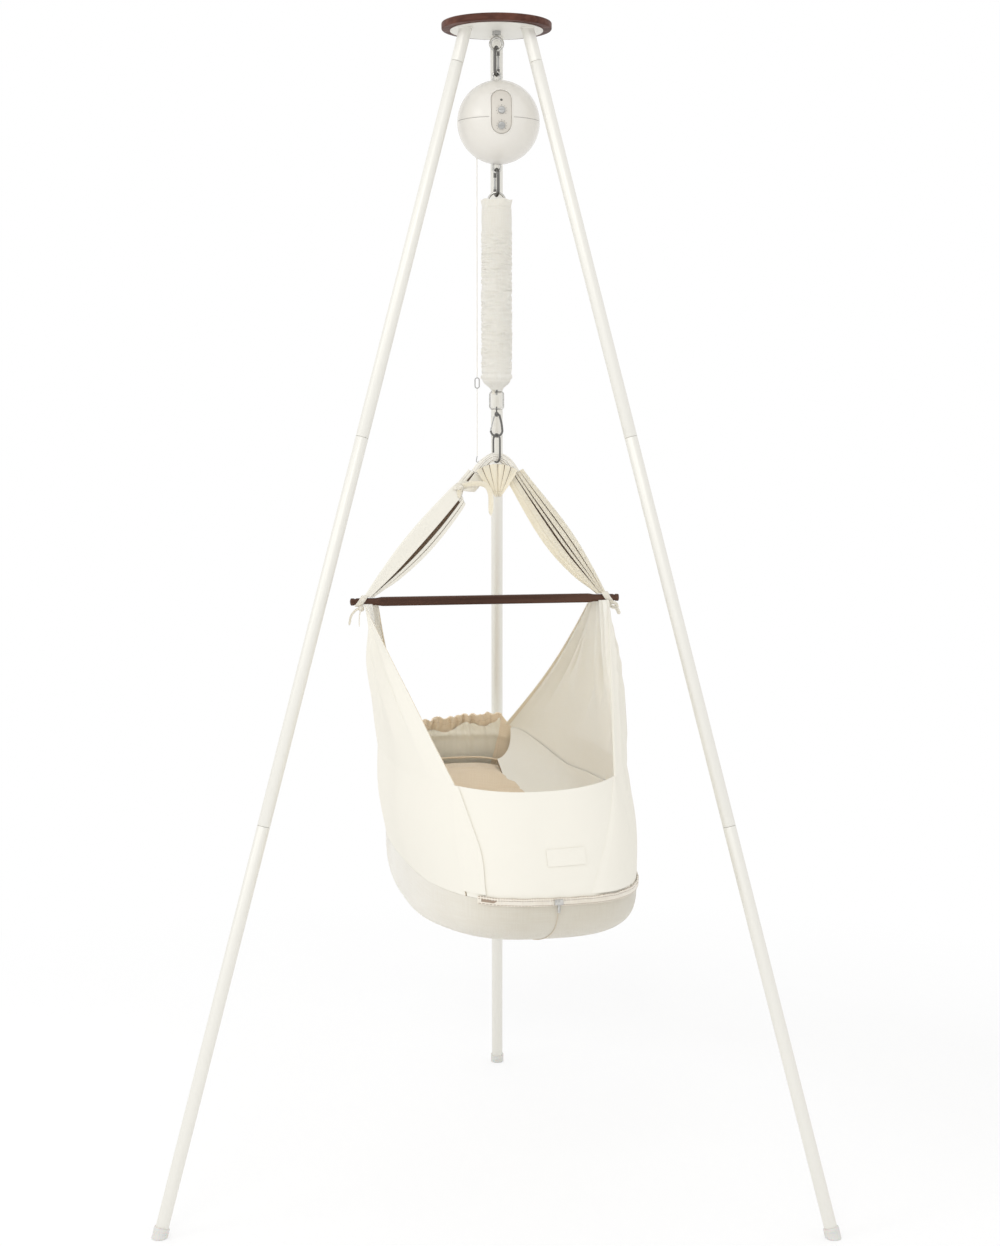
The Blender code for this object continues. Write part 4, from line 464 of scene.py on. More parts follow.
def box_uv(obj):
    """Thread and grain coordinates in metres, laid on from the side that each face looks to."""
    mesh = obj.data
    layer = mesh.uv_layers.new(name="cloth")
    count = len(mesh.loops)
    points = np.empty(len(mesh.vertices) * 3)
    mesh.vertices.foreach_get("co", points)
    points = points.reshape(-1, 3)
    index = np.empty(count, dtype=int)
    mesh.loops.foreach_get("vertex_index", index)
    normals = np.empty(len(mesh.polygons) * 3)
    mesh.polygons.foreach_get("normal", normals)
    sizes = np.empty(len(mesh.polygons), dtype=int)
    mesh.polygons.foreach_get("loop_total", sizes)
    main = np.repeat(np.abs(normals.reshape(-1, 3)).argmax(axis=1), sizes)
    across = np.array([1, 0, 0])[main]
    high = np.array([2, 2, 1])[main]
    pairs = np.stack([points[index, across], points[index, high]], axis=1)
    layer.data.foreach_set("uv", pairs.astype(np.float32).ravel())


def cloth_piece(name, grid, flat, materials, hem=(True, True, True, True), thickness=None, hem_width=None):
    """A closed sheet round a grid, thicker at its turned hems, with UVs in metres of flat cloth.

    hem tells which edges are hemmed: first column, last column, first row, last row. The first
    material is on the side that rows cross columns point to, the second on the other side.
    """
    grid = np.asarray(grid, dtype=float)
    rows, cols = grid.shape[:2]
    thickness = thickness or cloth().thickness
    hem_width = hem_width or cloth().hem
    normal = np.cross(np.gradient(grid, axis=1), np.gradient(grid, axis=0))
    normal /= np.maximum(np.linalg.norm(normal, axis=2, keepdims=True), 1e-9)
    flat_u = np.linspace(0.0, flat[0], cols)[None, :].repeat(rows, axis=0)
    flat_v = np.linspace(0.0, flat[1], rows)[:, None].repeat(cols, axis=1)
    far = np.full((rows, cols), 9.0)
    edges = [np.where(on, edge, far) for on, edge in zip(hem, (flat_u, flat[0] - flat_u, flat_v, flat[1] - flat_v))]
    side_edge = np.minimum(edges[0], edges[1])
    end_edge = np.minimum(edges[2], edges[3])
    distance = np.minimum(side_edge, end_edge)
    along = np.where(side_edge < end_edge, flat_v, flat_u)
    share = np.clip((hem_width - distance) / 0.0012, 0.0, 1.0)
    half = 0.5 * thickness * (1.0 + 0.45 * share)[..., None]
    front = (grid + normal * half).reshape(-1, 3)
    back = (grid - normal * half).reshape(-1, 3)
    shift = rows * cols
    front_faces = grid_faces(rows, cols, False, False)
    back_faces = [tuple(shift + k for k in reversed(face)) for face in front_faces]
    edge = list(range(cols))
    edge += [i * cols + cols - 1 for i in range(1, rows)]
    edge += [(rows - 1) * cols + j for j in range(cols - 2, -1, -1)]
    edge += [i * cols for i in range(rows - 2, 0, -1)]
    rim_faces = [(edge[(k + 1) % len(edge)], a, a + shift, edge[(k + 1) % len(edge)] + shift)
                 for k, a in enumerate(edge)]
    obj = new_piece(name, np.concatenate([front, back]), front_faces + back_faces + rim_faces, materials, 70.0)
    mesh = obj.data
    slots = [0] * len(front_faces) + [1 if len(materials) > 1 else 0] * len(back_faces) + [0] * len(rim_faces)
    mesh.polygons.foreach_set("material_index", slots)
    index = np.empty(len(mesh.loops), dtype=int)
    mesh.loops.foreach_get("vertex_index", index)
    index %= shift
    for label, first, second in (("cloth", flat_u, flat_v), ("hem", distance, along)):
        layer = mesh.uv_layers.new(name=label)
        pairs = np.stack([first.ravel()[index], second.ravel()[index]], axis=1)
        layer.data.foreach_set("uv", pairs.astype(np.float32).ravel())
    return obj


def shade_cells(obj, rows, cols, slot, test):
    """Give the cells of a sheet that pass a test of (row, column) another material."""
    for polygon in obj.data.polygons:
        cells = [index % (rows * cols) for index in polygon.vertices]
        if test(min(cell // cols for cell in cells), min(cell % cols for cell in cells)):
            polygon.material_index = slot


def crumple(u, v, seed, size, octaves=3):
    """Soft irregular height, about -1 to 1, of features of a size along u and v."""
    return noise.fractal(Vector((u / size[0], v / size[1], seed)), 0.7, 2.0, octaves)


def apply_modifiers(obj):
    """Make an object's modifiers part of its mesh."""
    bpy.context.view_layer.update()
    depsgraph = bpy.context.evaluated_depsgraph_get()
    mesh = bpy.data.meshes.new_from_object(obj.evaluated_get(depsgraph), preserve_all_data_layers=True,
                                           depsgraph=depsgraph)
    old = obj.data
    obj.modifiers.clear()
    obj.data = mesh
    bpy.data.meshes.remove(old)


def cut(obj, parts):
    """Cut parts from a piece."""
    points, faces = joined(parts)
    tool = new_piece(obj.name + "_cutter", points, faces, [])
    modifier = obj.modifiers.new("cut", "BOOLEAN")
    modifier.operation = "DIFFERENCE"
    modifier.solver = "EXACT"
    modifier.object = tool
    apply_modifiers(obj)
    bpy.data.objects.remove(tool, do_unlink=True)


# Shader groups and finishes

def add_node(tree, kind, inputs=None, **settings):
    """A shader node with its inputs set or linked."""
    node = tree.nodes.new(kind)
    for key, value in settings.items():
        setattr(node, key, value)
    for key, value in (inputs or {}).items():
        if isinstance(value, bpy.types.NodeSocket):
            tree.links.new(value, node.inputs[key])
        else:
            node.inputs[key].default_value = value
    return node


def maths(tree, operation, first, second=0.0):
    """One sum of two values."""
    return add_node(tree, "ShaderNodeMath", {0: first, 1: second}, operation=operation).outputs[0]


def mix_colour(tree, share, first, second, mode="MIX"):
    """A mix of two colours."""
    node = add_node(tree, "ShaderNodeMix", {0: share, 6: first, 7: second}, data_type="RGBA", blend_type=mode)
    return node.outputs[2]


def ramp(tree, value, low, high, start=0.0, end=1.0):
    """A value carried from one range to another, held at its ends."""
    return add_node(tree, "ShaderNodeMapRange", {0: value, 1: low, 2: high, 3: start, 4: end}).outputs[0]


def noise_value(tree, vector, scale, detail=3.0, roughness=0.5):
    """Noise from 0 to 1."""
    return add_node(tree, "ShaderNodeTexNoise", {"Vector": vector, "Scale": scale, "Detail": detail,
                                                 "Roughness": roughness}).outputs["Fac"]


def stretched(tree, vector, scale):
    """Coordinates stretched along their axes."""
    return add_node(tree, "ShaderNodeMapping", {"Vector": vector, "Scale": scale}).outputs[0]


def new_group(name, inputs, outputs):
    """A shader node group with named sockets, or the one that is there, and whether it is new."""
    if name in bpy.data.node_groups:
        return bpy.data.node_groups[name], None, None
    tree = bpy.data.node_groups.new(name, "ShaderNodeTree")
    for label, kind, value in inputs:
        socket = tree.interface.new_socket(label, in_out="INPUT", socket_type=kind)
        if value is not None:
            socket.default_value = value
    for label, kind in outputs:
        tree.interface.new_socket(label, in_out="OUTPUT", socket_type=kind)
    return tree, tree.nodes.new("NodeGroupInput").outputs, tree.nodes.new("NodeGroupOutput").inputs


FINISH_SOCKETS = [("Colour", "NodeSocketColor"), ("Height", "NodeSocketFloat"), ("Roughness", "NodeSocketFloat")]


def give(tree, result, **values):
    """Link the values that a group puts out."""
    for name, value in values.items():
        tree.links.new(value, result[name])


def weave_group():
    """Plain weave with slubs and soft clouding."""
    tree, given, result = new_group("cotton weave", [
        ("Threads", "NodeSocketVector", None), ("Place", "NodeSocketVector", None),
        ("Pitch", "NodeSocketFloat", 0.0007), ("Thread Colour", "NodeSocketColor", (0.8, 0.8, 0.8, 1)),
        ("Shade Colour", "NodeSocketColor", (0.6, 0.6, 0.6, 1)), ("Clouding", "NodeSocketFloat", 0.5),
    ], FINISH_SOCKETS)
    if given is None:
        return tree
    split = add_node(tree, "ShaderNodeSeparateXYZ", {0: given["Threads"]}).outputs
    count = [maths(tree, "DIVIDE", split[k], given["Pitch"]) for k in (0, 1)]
    ridge = [maths(tree, "ABSOLUTE", maths(tree, "SINE", maths(tree, "MULTIPLY", value, math.pi))) for value in count]
    cell = [maths(tree, "FLOOR", value) for value in count]
    over = maths(tree, "PINGPONG", maths(tree, "ADD", cell[0], cell[1]), 1.0)
    threads = maths(tree, "ADD", maths(tree, "MULTIPLY", ridge[0], over),
                    maths(tree, "MULTIPLY", ridge[1], maths(tree, "SUBTRACT", 1.0, over)))
    slub_u = noise_value(tree, stretched(tree, given["Threads"], (700.0, 26.0, 1.0)), 1.0, 2.0)
    slub_v = noise_value(tree, stretched(tree, given["Threads"], (22.0, 640.0, 1.0)), 1.0, 2.0)
    slub = maths(tree, "MULTIPLY", maths(tree, "ADD", slub_u, slub_v), 0.5)
    cloud = noise_value(tree, given["Place"], 5.5, 4.0, 0.55)
    height = maths(tree, "ADD", threads, maths(tree, "MULTIPLY", slub, 0.8))
    shade = maths(tree, "ADD", maths(tree, "MULTIPLY", ramp(tree, threads, 0.15, 0.75, 0.55, 0.0), 0.6),
                  maths(tree, "ADD", ramp(tree, slub, 0.36, 0.62, 0.30, 0.0),
                        maths(tree, "MULTIPLY", ramp(tree, cloud, 0.38, 0.68, 0.5, 0.0), given["Clouding"])))
    colour = mix_colour(tree, shade, given["Thread Colour"], given["Shade Colour"])
    give(tree, result, Colour=colour, Height=height, Roughness=ramp(tree, slub, 0.3, 0.7, 0.94, 0.84))
    return tree


def stitch_group():
    """A row of stitches at a distance from a hem's edge."""
    tree, given, result = new_group("stitch row", [
        ("Hem", "NodeSocketVector", None), ("Distance", "NodeSocketFloat", 0.010),
        ("Stitch", "NodeSocketFloat", 0.0035), ("Thread", "NodeSocketFloat", 0.0005),
    ], [("Mask", "NodeSocketFloat"), ("Height", "NodeSocketFloat")])
    if given is None:
        return tree
    split = add_node(tree, "ShaderNodeSeparateXYZ", {0: given["Hem"]}).outputs
    away = maths(tree, "ABSOLUTE", maths(tree, "SUBTRACT", split[0], given["Distance"]))
    line = maths(tree, "LESS_THAN", away, given["Thread"])
    step = maths(tree, "FRACT", maths(tree, "DIVIDE", split[1], given["Stitch"]))
    dash = maths(tree, "MULTIPLY", maths(tree, "GREATER_THAN", step, 0.12), maths(tree, "LESS_THAN", step, 0.88))
    mask = maths(tree, "MULTIPLY", line, dash)
    groove = ramp(tree, away, 0.0, 0.0016, 1.0, 0.0)
    give(tree, result, Mask=mask, Height=maths(tree, "SUBTRACT", mask, maths(tree, "MULTIPLY", groove, 1.4)))
    return tree


def grain_group():
    """Long wood grain with pores and growth bands, running along X."""
    tree, given, result = new_group("walnut grain", [
        ("Place", "NodeSocketVector", None), ("Light Colour", "NodeSocketColor", (0.2, 0.1, 0.06, 1)),
        ("Dark Colour", "NodeSocketColor", (0.06, 0.03, 0.02, 1)),
    ], FINISH_SOCKETS)
    if given is None:
        return tree
    waves = noise_value(tree, stretched(tree, given["Place"], (2.2, 16.0, 16.0)), 1.0, 3.0)
    bands = noise_value(tree, stretched(tree, given["Place"], (3.0, 120.0, 120.0)), 1.0, 5.0, 0.6)
    pores = noise_value(tree, stretched(tree, given["Place"], (70.0, 1500.0, 1500.0)), 1.0, 2.0, 0.6)
    share = maths(tree, "ADD", ramp(tree, waves, 0.35, 0.65, 0.0, 0.45), ramp(tree, bands, 0.38, 0.62, 0.0, 0.55))
    colour = mix_colour(tree, share, given["Light Colour"], given["Dark Colour"])
    pore = ramp(tree, pores, 0.60, 0.70, 0.0, 1.0)
    colour = mix_colour(tree, maths(tree, "MULTIPLY", pore, 0.6), colour, given["Dark Colour"])
    give(tree, result, Colour=colour, Height=maths(tree, "SUBTRACT", maths(tree, "MULTIPLY", bands, 0.5), pore),
         Roughness=ramp(tree, bands, 0.3, 0.7, 0.40, 0.58))
    return tree


def skin_group():
    """Fine orange peel and faint handling marks of paint and moulded plastic."""
    tree, given, result = new_group("coated skin", [
        ("Place", "NodeSocketVector", None), ("Colour", "NodeSocketColor", (0.8, 0.8, 0.8, 1)),
        ("Mark Colour", "NodeSocketColor", (0.6, 0.6, 0.6, 1)), ("Peel", "NodeSocketFloat", 900.0),
    ], FINISH_SOCKETS)
    if given is None:
        return tree
    peel = noise_value(tree, given["Place"], given["Peel"], 2.0)
    cloud = noise_value(tree, given["Place"], 9.0, 4.0, 0.6)
    speck = noise_value(tree, given["Place"], 420.0, 1.0)
    share = maths(tree, "ADD", ramp(tree, cloud, 0.45, 0.75, 0.0, 0.35), ramp(tree, speck, 0.68, 0.78, 0.0, 0.18))
    give(tree, result, Colour=mix_colour(tree, share, given["Colour"], given["Mark Colour"]), Height=peel,
         Roughness=ramp(tree, cloud, 0.3, 0.7, 0.30, 0.46))
    return tree


def scuff_group():
    """Fine scratches and dull spots of handled metal."""
    tree, given, result = new_group("metal scuffs", [
        ("Place", "NodeSocketVector", None), ("Colour", "NodeSocketColor", (0.5, 0.5, 0.5, 1)),
        ("Dull Colour", "NodeSocketColor", (0.3, 0.3, 0.3, 1)), ("Smooth", "NodeSocketFloat", 0.2),
        ("Worn", "NodeSocketFloat", 0.4),
    ], FINISH_SOCKETS)
    if given is None:
        return tree
    spots = noise_value(tree, given["Place"], 260.0, 4.0, 0.65)
    lines = noise_value(tree, stretched(tree, given["Place"], (2600.0, 300.0, 900.0)), 1.0, 2.0)
    dull = ramp(tree, spots, 0.42, 0.68, 0.0, 1.0)
    wear = maths(tree, "ADD", maths(tree, "MULTIPLY", lines, 0.5), maths(tree, "MULTIPLY", dull, 0.5))
    give(tree, result, Colour=mix_colour(tree, dull, given["Colour"], given["Dull Colour"]),
         Height=maths(tree, "ADD", maths(tree, "MULTIPLY", spots, 0.5), lines),
         Roughness=ramp(tree, wear, 0.0, 1.0, given["Smooth"], given["Worn"]))
    return tree


def start_material(name):
    """An empty node material with its Principled shader, or None with the one that is there."""
    if name in bpy.data.materials:
        return bpy.data.materials[name], None, None
    material = bpy.data.materials.new(name)
    material.use_nodes = True
    return material, material.node_tree, material.node_tree.nodes["Principled BSDF"]


def place_group(tree, group, inputs):
    """A group placed in a material with its own values."""
    return add_node(tree, "ShaderNodeGroup", inputs, node_tree=group).outputs


def object_place(tree):
    """Coordinates fixed to the object, in metres."""
    return add_node(tree, "ShaderNodeTexCoord").outputs["Object"]


def link_finish(tree, shader, colour, roughness, height, strength, distance):
    """Feed a shader its colour and roughness, and a bump from a height."""
    bump = add_node(tree, "ShaderNodeBump", {"Height": height, "Strength": strength, "Distance": distance})
    for value, name in ((colour, "Base Color"), (roughness, "Roughness"), (bump.outputs[0], "Normal")):
        tree.links.new(value, shader.inputs[name])


def set_inputs(shader, values):
    """Constant values on a shader's own sockets."""
    for name, value in values.items():
        shader.inputs[name].default_value = value


def with_alpha(colour, scale=1.0):
    """A colour, lighter or darker, with its alpha."""
    return tuple(min(1.0, part * scale) for part in colour) + (1.0,)


def cotton(name, colour, shade, hem=True, band=None, sheen=0.25, width=None, soft=0.45, right_shade=None):
    """Woven cotton, with a stitched hem where the piece has one, and a band of another colour at the hem.

    right_shade is painted shade: a tint that darkens the piece towards its right side, away from the key lamp.
    """
    material, tree, shader = start_material(name)
    if tree is None:
        return material
    threads = add_node(tree, "ShaderNodeUVMap", uv_map="cloth").outputs[0]
    weave = place_group(tree, weave_group(), {
        "Threads": threads, "Place": object_place(tree), "Pitch": cloth().pitch,
        "Thread Colour": with_alpha(colour), "Shade Colour": with_alpha(shade), "Clouding": 0.5})
    base = weave["Colour"]
    height = weave["Height"]
    if hem:
        width = width or cloth().hem
        hem_map = add_node(tree, "ShaderNodeUVMap", uv_map="hem").outputs[0]
        if band:
            from_edge = add_node(tree, "ShaderNodeSeparateXYZ", {0: hem_map}).outputs[0]
            inside = ramp(tree, from_edge, width + 0.001, width - 0.0006, 0.0, 1.0)
            base = mix_colour(tree, inside, base, mix_colour(tree, 1.0, base, with_alpha(band), "MULTIPLY"))
        stitch = place_group(tree, stitch_group(), {"Hem": hem_map, "Distance": width - 0.0018})
        base = mix_colour(tree, maths(tree, "MULTIPLY", stitch["Mask"], 0.55), base, with_alpha(shade, 0.82))
        height = maths(tree, "ADD", height, maths(tree, "MULTIPLY", stitch["Height"], 1.2))
    # Painted shade: the colour is tinted darker towards the right side, where less lamp light falls.
    if right_shade:
        across = add_node(tree, "ShaderNodeSeparateXYZ", {0: object_place(tree)}).outputs[0]
        right_shaded = mix_colour(tree, 1.0, base, with_alpha(right_shade), "MULTIPLY")
        base = mix_colour(tree, ramp(tree, across, -0.13, 0.04), base, right_shaded)
    set_inputs(shader, {"Subsurface Weight": soft, "Subsurface Radius": (1.0, 0.98, 0.95), "Subsurface Scale": 0.003,
                        "Sheen Weight": sheen, "Sheen Roughness": 0.5, "Specular IOR Level": 0.25})
    link_finish(tree, shader, base, weave["Roughness"], height, 0.55, 0.00025)
    return material


def tinted(colour, factors):
    """A colour times three factors."""
    return tuple(part * factor for part, factor in zip(colour, factors))


def natural_cotton():
    """Outside of the hammock."""
    colour = colours().cotton
    return cotton("natural_cotton", colour, tinted(colour, (0.86, 0.83, 0.76)))


def pocket_cotton():
    """Underside of the basket, with painted shade that greys it towards its right side, away from the key lamp."""
    colour = tinted(colours().cotton, (1.0, 0.995, 0.98))
    return cotton("pocket_cotton", colour, tinted(colour, (0.86, 0.82, 0.76)), hem=False,
                  right_shade=(0.76, 0.745, 0.71))


def pale_lining():
    """Loose inner panel at the head."""
    colour = tinted(colours().lining, (1.0, 0.985, 0.93))
    return cotton("pale_lining", colour, tinted(colour, (0.96, 0.93, 0.88)), hem=False, soft=0.2)


def strap_cotton():
    """Pinker cloth of the folded strap."""
    colour = tinted(colours().cotton, (0.99, 0.935, 0.82))
    return cotton("strap_cotton", colour, tinted(colour, (0.86, 0.82, 0.76)))


def stitch_and_shadow_cotton():
    """Brown seam rows of the zip tape, also used as painted shadow where the foot panel folds over the tape's left
    end.
    """
    return cotton("stitch_and_shadow_cotton", (0.42, 0.33, 0.255), (0.30, 0.23, 0.17), hem=False)


def fold_shade():
    """Painted shade: a dark cloth colour for the cells deep inside the pleats and slits, where shade falls."""
    return cotton("fold_shade", (0.20, 0.135, 0.085), (0.12, 0.08, 0.05), hem=False)


def shadow_cord():
    """Painted shadow: a dark cord along the inner cloth's edge that stands for the shaded gap above the mattress."""
    return cotton("shadow_cord", (0.34, 0.24, 0.15), (0.22, 0.15, 0.09), hem=False)


def plain_cotton():
    """Natural cotton on pieces with no hem of their own."""
    colour = colours().cotton
    return cotton("natural_cotton_plain", colour, tinted(colour, (0.84, 0.80, 0.72)), hem=False)


def lining_cotton():
    """Inside of the panels, lighter than the outside cotton as painted light for the light that comes through the thin
    cloth, with the deeper band of the turned hem.
    """
    colour = colours().lining
    return cotton("lining_cotton", colour, tinted(colour, (0.96, 0.94, 0.90)), band=(0.92, 0.85, 0.75), width=0.020,
                  soft=0.2)


def mattress_cotton():
    """Cover of the mattress."""
    colour = colours().mattress
    return cotton("mattress_cotton", colour, tinted(colour, (0.84, 0.80, 0.75)), hem=False)


def ruffle_cotton():
    """Head panel's inner face."""
    colour = colours().mattress
    return cotton("ruffle_cotton", tinted(colour, (1.04, 1.06, 1.08)), tinted(colour, (0.88, 0.83, 0.76)), soft=0.2)


def ribbon_cotton():
    """Twill ribbon of the ties."""
    colour = colours().cotton
    return cotton("ribbon_cotton", tinted(colour, (0.98, 0.96, 0.92)), tinted(colour, (0.80, 0.74, 0.65)), hem=False)


def coated(name, colour, peel, strength, coat=0.0):
    """Paint or moulded plastic."""
    material, tree, shader = start_material(name)
    if tree is None:
        return material
    skin = place_group(tree, skin_group(), {
        "Place": object_place(tree), "Colour": with_alpha(colour),
        "Mark Colour": with_alpha(tinted(colour, (0.90, 0.885, 0.86))), "Peel": peel})
    set_inputs(shader, {"Coat Weight": coat, "Coat Roughness": 0.25})
    link_finish(tree, shader, skin["Colour"], skin["Roughness"], skin["Height"], strength, 0.0001)
    return material


def powder_coat():
    """Legs and plate."""
    return coated("cream_powder_coat", colours().paint, 1100.0, 0.30)


def ball_plastic():
    """Shell of the ball."""
    return coated("cream_plastic", colours().plastic, 2400.0, 0.12, 0.10)


def panel_plastic():
    """Face of the control panel."""
    return coated("panel_plastic", tinted(colours().plastic, (1.05, 1.05, 1.06)), 3200.0, 0.20)


def dark_plastic():
    """Inlet, drum and printed ticks."""
    return coated("dark_plastic", (0.045, 0.045, 0.045), 2600.0, 0.20)


def foot_rubber():
    """Pale feet."""
    material = coated("foot_rubber", colours().rubber, 1800.0, 0.35)
    set_inputs(material.node_tree.nodes["Principled BSDF"], {"Subsurface Weight": 0.15, "Subsurface Scale": 0.003})
    return material


def metal(name, colour, smooth, worn):
    """Handled metal."""
    material, tree, shader = start_material(name)
    if tree is None:
        return material
    scuffs = place_group(tree, scuff_group(), {
        "Place": object_place(tree), "Colour": with_alpha(colour), "Dull Colour": with_alpha(colour, 0.62),
        "Smooth": smooth, "Worn": worn})
    set_inputs(shader, {"Metallic": 1.0})
    link_finish(tree, shader, scuffs["Colour"], scuffs["Roughness"], scuffs["Height"], 0.10, 0.00005)
    return material


def gunmetal():
    """Carabiners, snap hook and hanging ring."""
    return metal("gunmetal", colours().gunmetal, 0.14, 0.36)


def nickel():
    """Rings, eye bolt and hanger."""
    return metal("nickel", colours().nickel, 0.10, 0.28)


def steel():
    """Gates, nut, knobs and clip."""
    return metal("steel", colours().steel, 0.22, 0.45)


def walnut(name, colour, turn=0.0):
    """Oiled walnut. turn is the angle of the grain in the plan."""
    material, tree, shader = start_material(name)
    if tree is None:
        return material
    mapping = add_node(tree, "ShaderNodeMapping", {"Vector": object_place(tree), "Rotation": (0.0, 0.0, turn)})
    grain = place_group(tree, grain_group(), {
        "Place": mapping.outputs[0], "Light Colour": with_alpha(colour, 1.25),
        "Dark Colour": with_alpha(tinted(colour, (0.42, 0.36, 0.34)))})
    set_inputs(shader, {"Specular IOR Level": 0.16})
    link_finish(tree, shader, grain["Colour"], grain["Roughness"], grain["Height"], 0.30, 0.0002)
    return material


def zip_tape():
    """Twill tape with a ribbed edge."""
    colour = colours().tape
    return cotton("zip_tape", colour, tinted(colour, (0.72, 0.68, 0.62)), hem=False, sheen=0.1)


def board_green():
    """Circuit board."""
    return coated("board_green", (0.02, 0.12, 0.05), 500.0, 0.3)


def lens_dark():
    """Indicator lens."""
    return coated("lens", (0.08, 0.08, 0.075), 1500.0, 0.05, 0.6)


# Piece builders. Each operator below makes one piece or one group of like pieces.

def dress_cad(nodes, material):
    """Give CAD nodes that stay as they are their finish."""
    for node in nodes:
        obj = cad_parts[node]
        obj.data.materials.clear()
        obj.data.materials.append(material)


def rounded_profile(radius, low, high, edge, steps=5):
    """Profile of a disc with rounded edges."""
    profile = [(0.0005, low), (radius - edge, low)]
    for k in range(1, steps + 1):
        angle = math.radians(-90.0 + 90.0 * k / steps)
        profile.append((radius - edge + edge * math.cos(angle), low + edge + edge * math.sin(angle)))
    for k in range(steps + 1):
        angle = math.radians(90.0 * k / steps)
        profile.append((radius - edge + edge * math.cos(angle), high - edge + edge * math.sin(angle)))
    profile.append((0.0005, high))
    return profile


class HammockOperator(bpy.types.Operator):
    """Base of the operators that make the pieces"""

    bl_idname = "hammock.base"
    bl_label = "Hammock piece"
    bl_options = {"REGISTER", "UNDO"}

    def execute(self, context):
        """Make the piece."""
        self.make()
        return {"FINISHED"}


class MakeDisc(HammockOperator):
    """Walnut disc on top of the stand"""

    bl_idname = "hammock.disc"
    bl_label = "Disc"

    def make(self):
        """One turned disc with rounded edges."""
        profile = rounded_profile(DISC_RADIUS, DISC_UNDERSIDE, STAND_HEIGHT, 0.0022)
        wood = walnut("walnut_disc_wood", colours().walnut, 0.4)
        solid_piece("walnut_disc", [lathe_part(profile, 160)], wood, "stand", ["top_disc"])


def leg_line(azimuth):
    """Head point under the plate, direction down the leg and length."""
    out = plan_direction(azimuth)
    head = out * LEG_HEAD_CIRCLE + Z_AXIS * PLATE_UNDERSIDE
    foot = out * FOOT_CIRCLE
    return head, (foot - head).normalized(), (foot - head).length


def leg_profile(start, end, bevel=0.0007):
    """Profile of a tube section along its axis."""
    inner = LEG_RADIUS - 0.0015
    low = [(inner, start + 0.002), (inner, start), (LEG_RADIUS - bevel, start),
           (LEG_RADIUS - 0.3 * bevel, start + 0.3 * bevel), (LEG_RADIUS, start + bevel)]
    return low + [(radius, start + end - height) for radius, height in reversed(low)]


class MakePlate(HammockOperator):
    """Steel plate under the disc, with its three welded leg sockets"""

    bl_idname = "hammock.plate"
    bl_label = "Top plate"

    def make(self):
        """A thin turned plate, three tubes and their weld beads."""
        parts = [lathe_part(rounded_profile(PLATE_RADIUS, PLATE_UNDERSIDE, PLATE_TOP, 0.0005, 3), 128)]
        for azimuth in LEG_AZIMUTHS.values():
            head, way, _ = leg_line(azimuth)
            matrix = axis_matrix(head, way)
            parts.append(lathe_part([(LEG_RADIUS, 0.001), (LEG_RADIUS, LEG_SEAMS[0] - 0.0007),
                                     (LEG_RADIUS - 0.0006, LEG_SEAMS[0])], 48, matrix))
            out = Vector((way.x, way.y, 0.0)).normalized()
            side = Z_AXIS.cross(out)
            long_radius = LEG_RADIUS * math.hypot(1.0, math.hypot(way.x, way.y) / way.z)
            bead = [head + out * (long_radius * math.cos(angle)) + side * (LEG_RADIUS * math.sin(angle))
                    - Z_AXIS * 0.0004 for angle in around(48)]
            parts.append(wire_part(bead, 0.0013, Z_AXIS, 8, True))
        solid_piece("plate_with_sockets", parts, powder_coat(), "stand", ["top_plate"])


class MakeLegs(HammockOperator):
    """Three legs of three sections, and their rubber feet"""

    bl_idname = "hammock.legs"
    bl_label = "Legs and feet"

    def make(self):
        """Tubes with a fine joint line between the sections."""
        for name, azimuth in LEG_AZIMUTHS.items():
            head, way, length = leg_line(azimuth)
            matrix = axis_matrix(head, way)
            ends = list(LEG_SEAMS) + [length - FOOT_SOLE]
            for part, start, end in zip(("upper", "middle", "lower"), ends[:-1], ends[1:]):
                solid_piece(f"{part}_leg_tube_{name}", [lathe_part(leg_profile(start + GAP, end), 48, matrix)],
                            powder_coat(), "stand", [f"leg_{part}_{name}"])
            self.make_foot(name, head, way, length)

    def make_foot(self, name, head, way, length):
        """Rubber cup, its sole level with the floor, with two grip rings."""
        side = way.cross(Z_AXIS).normalized()
        across = side.cross(way)
        top = length - FOOT_HEIGHT
        stations = [(top, LEG_RADIUS + 0.0004), (top, FOOT_RADIUS - 0.0007), (top + 0.0010, FOOT_RADIUS),
                    (top + 0.0050, FOOT_RADIUS), (top + 0.0054, FOOT_RADIUS - 0.0004), (top + 0.0058, FOOT_RADIUS),
                    (top + 0.0078, FOOT_RADIUS), (top + 0.0082, FOOT_RADIUS - 0.0004), (top + 0.0086, FOOT_RADIUS),
                    (None, FOOT_RADIUS), (None, FOOT_RADIUS - 0.0010), (None, 0.0003)]
        rings = []
        for number, (distance, radius) in enumerate(stations):
            ring = []
            for angle in around(48):
                offset = side * (radius * math.cos(angle)) + across * (radius * math.sin(angle))
                point = head + way * (length if distance is None else distance) + offset
                if distance is None:
                    level = 0.0008 if number == len(stations) - 3 else 0.0
                    point = point + way * ((level - point.z) / way.z)
                ring.append(point)
            rings.append(ring)
        solid_piece(f"rubber_foot_{name}", [(np.array(rings), False, True, True)], foot_rubber(), "stand",
                    [f"foot_{name}"])


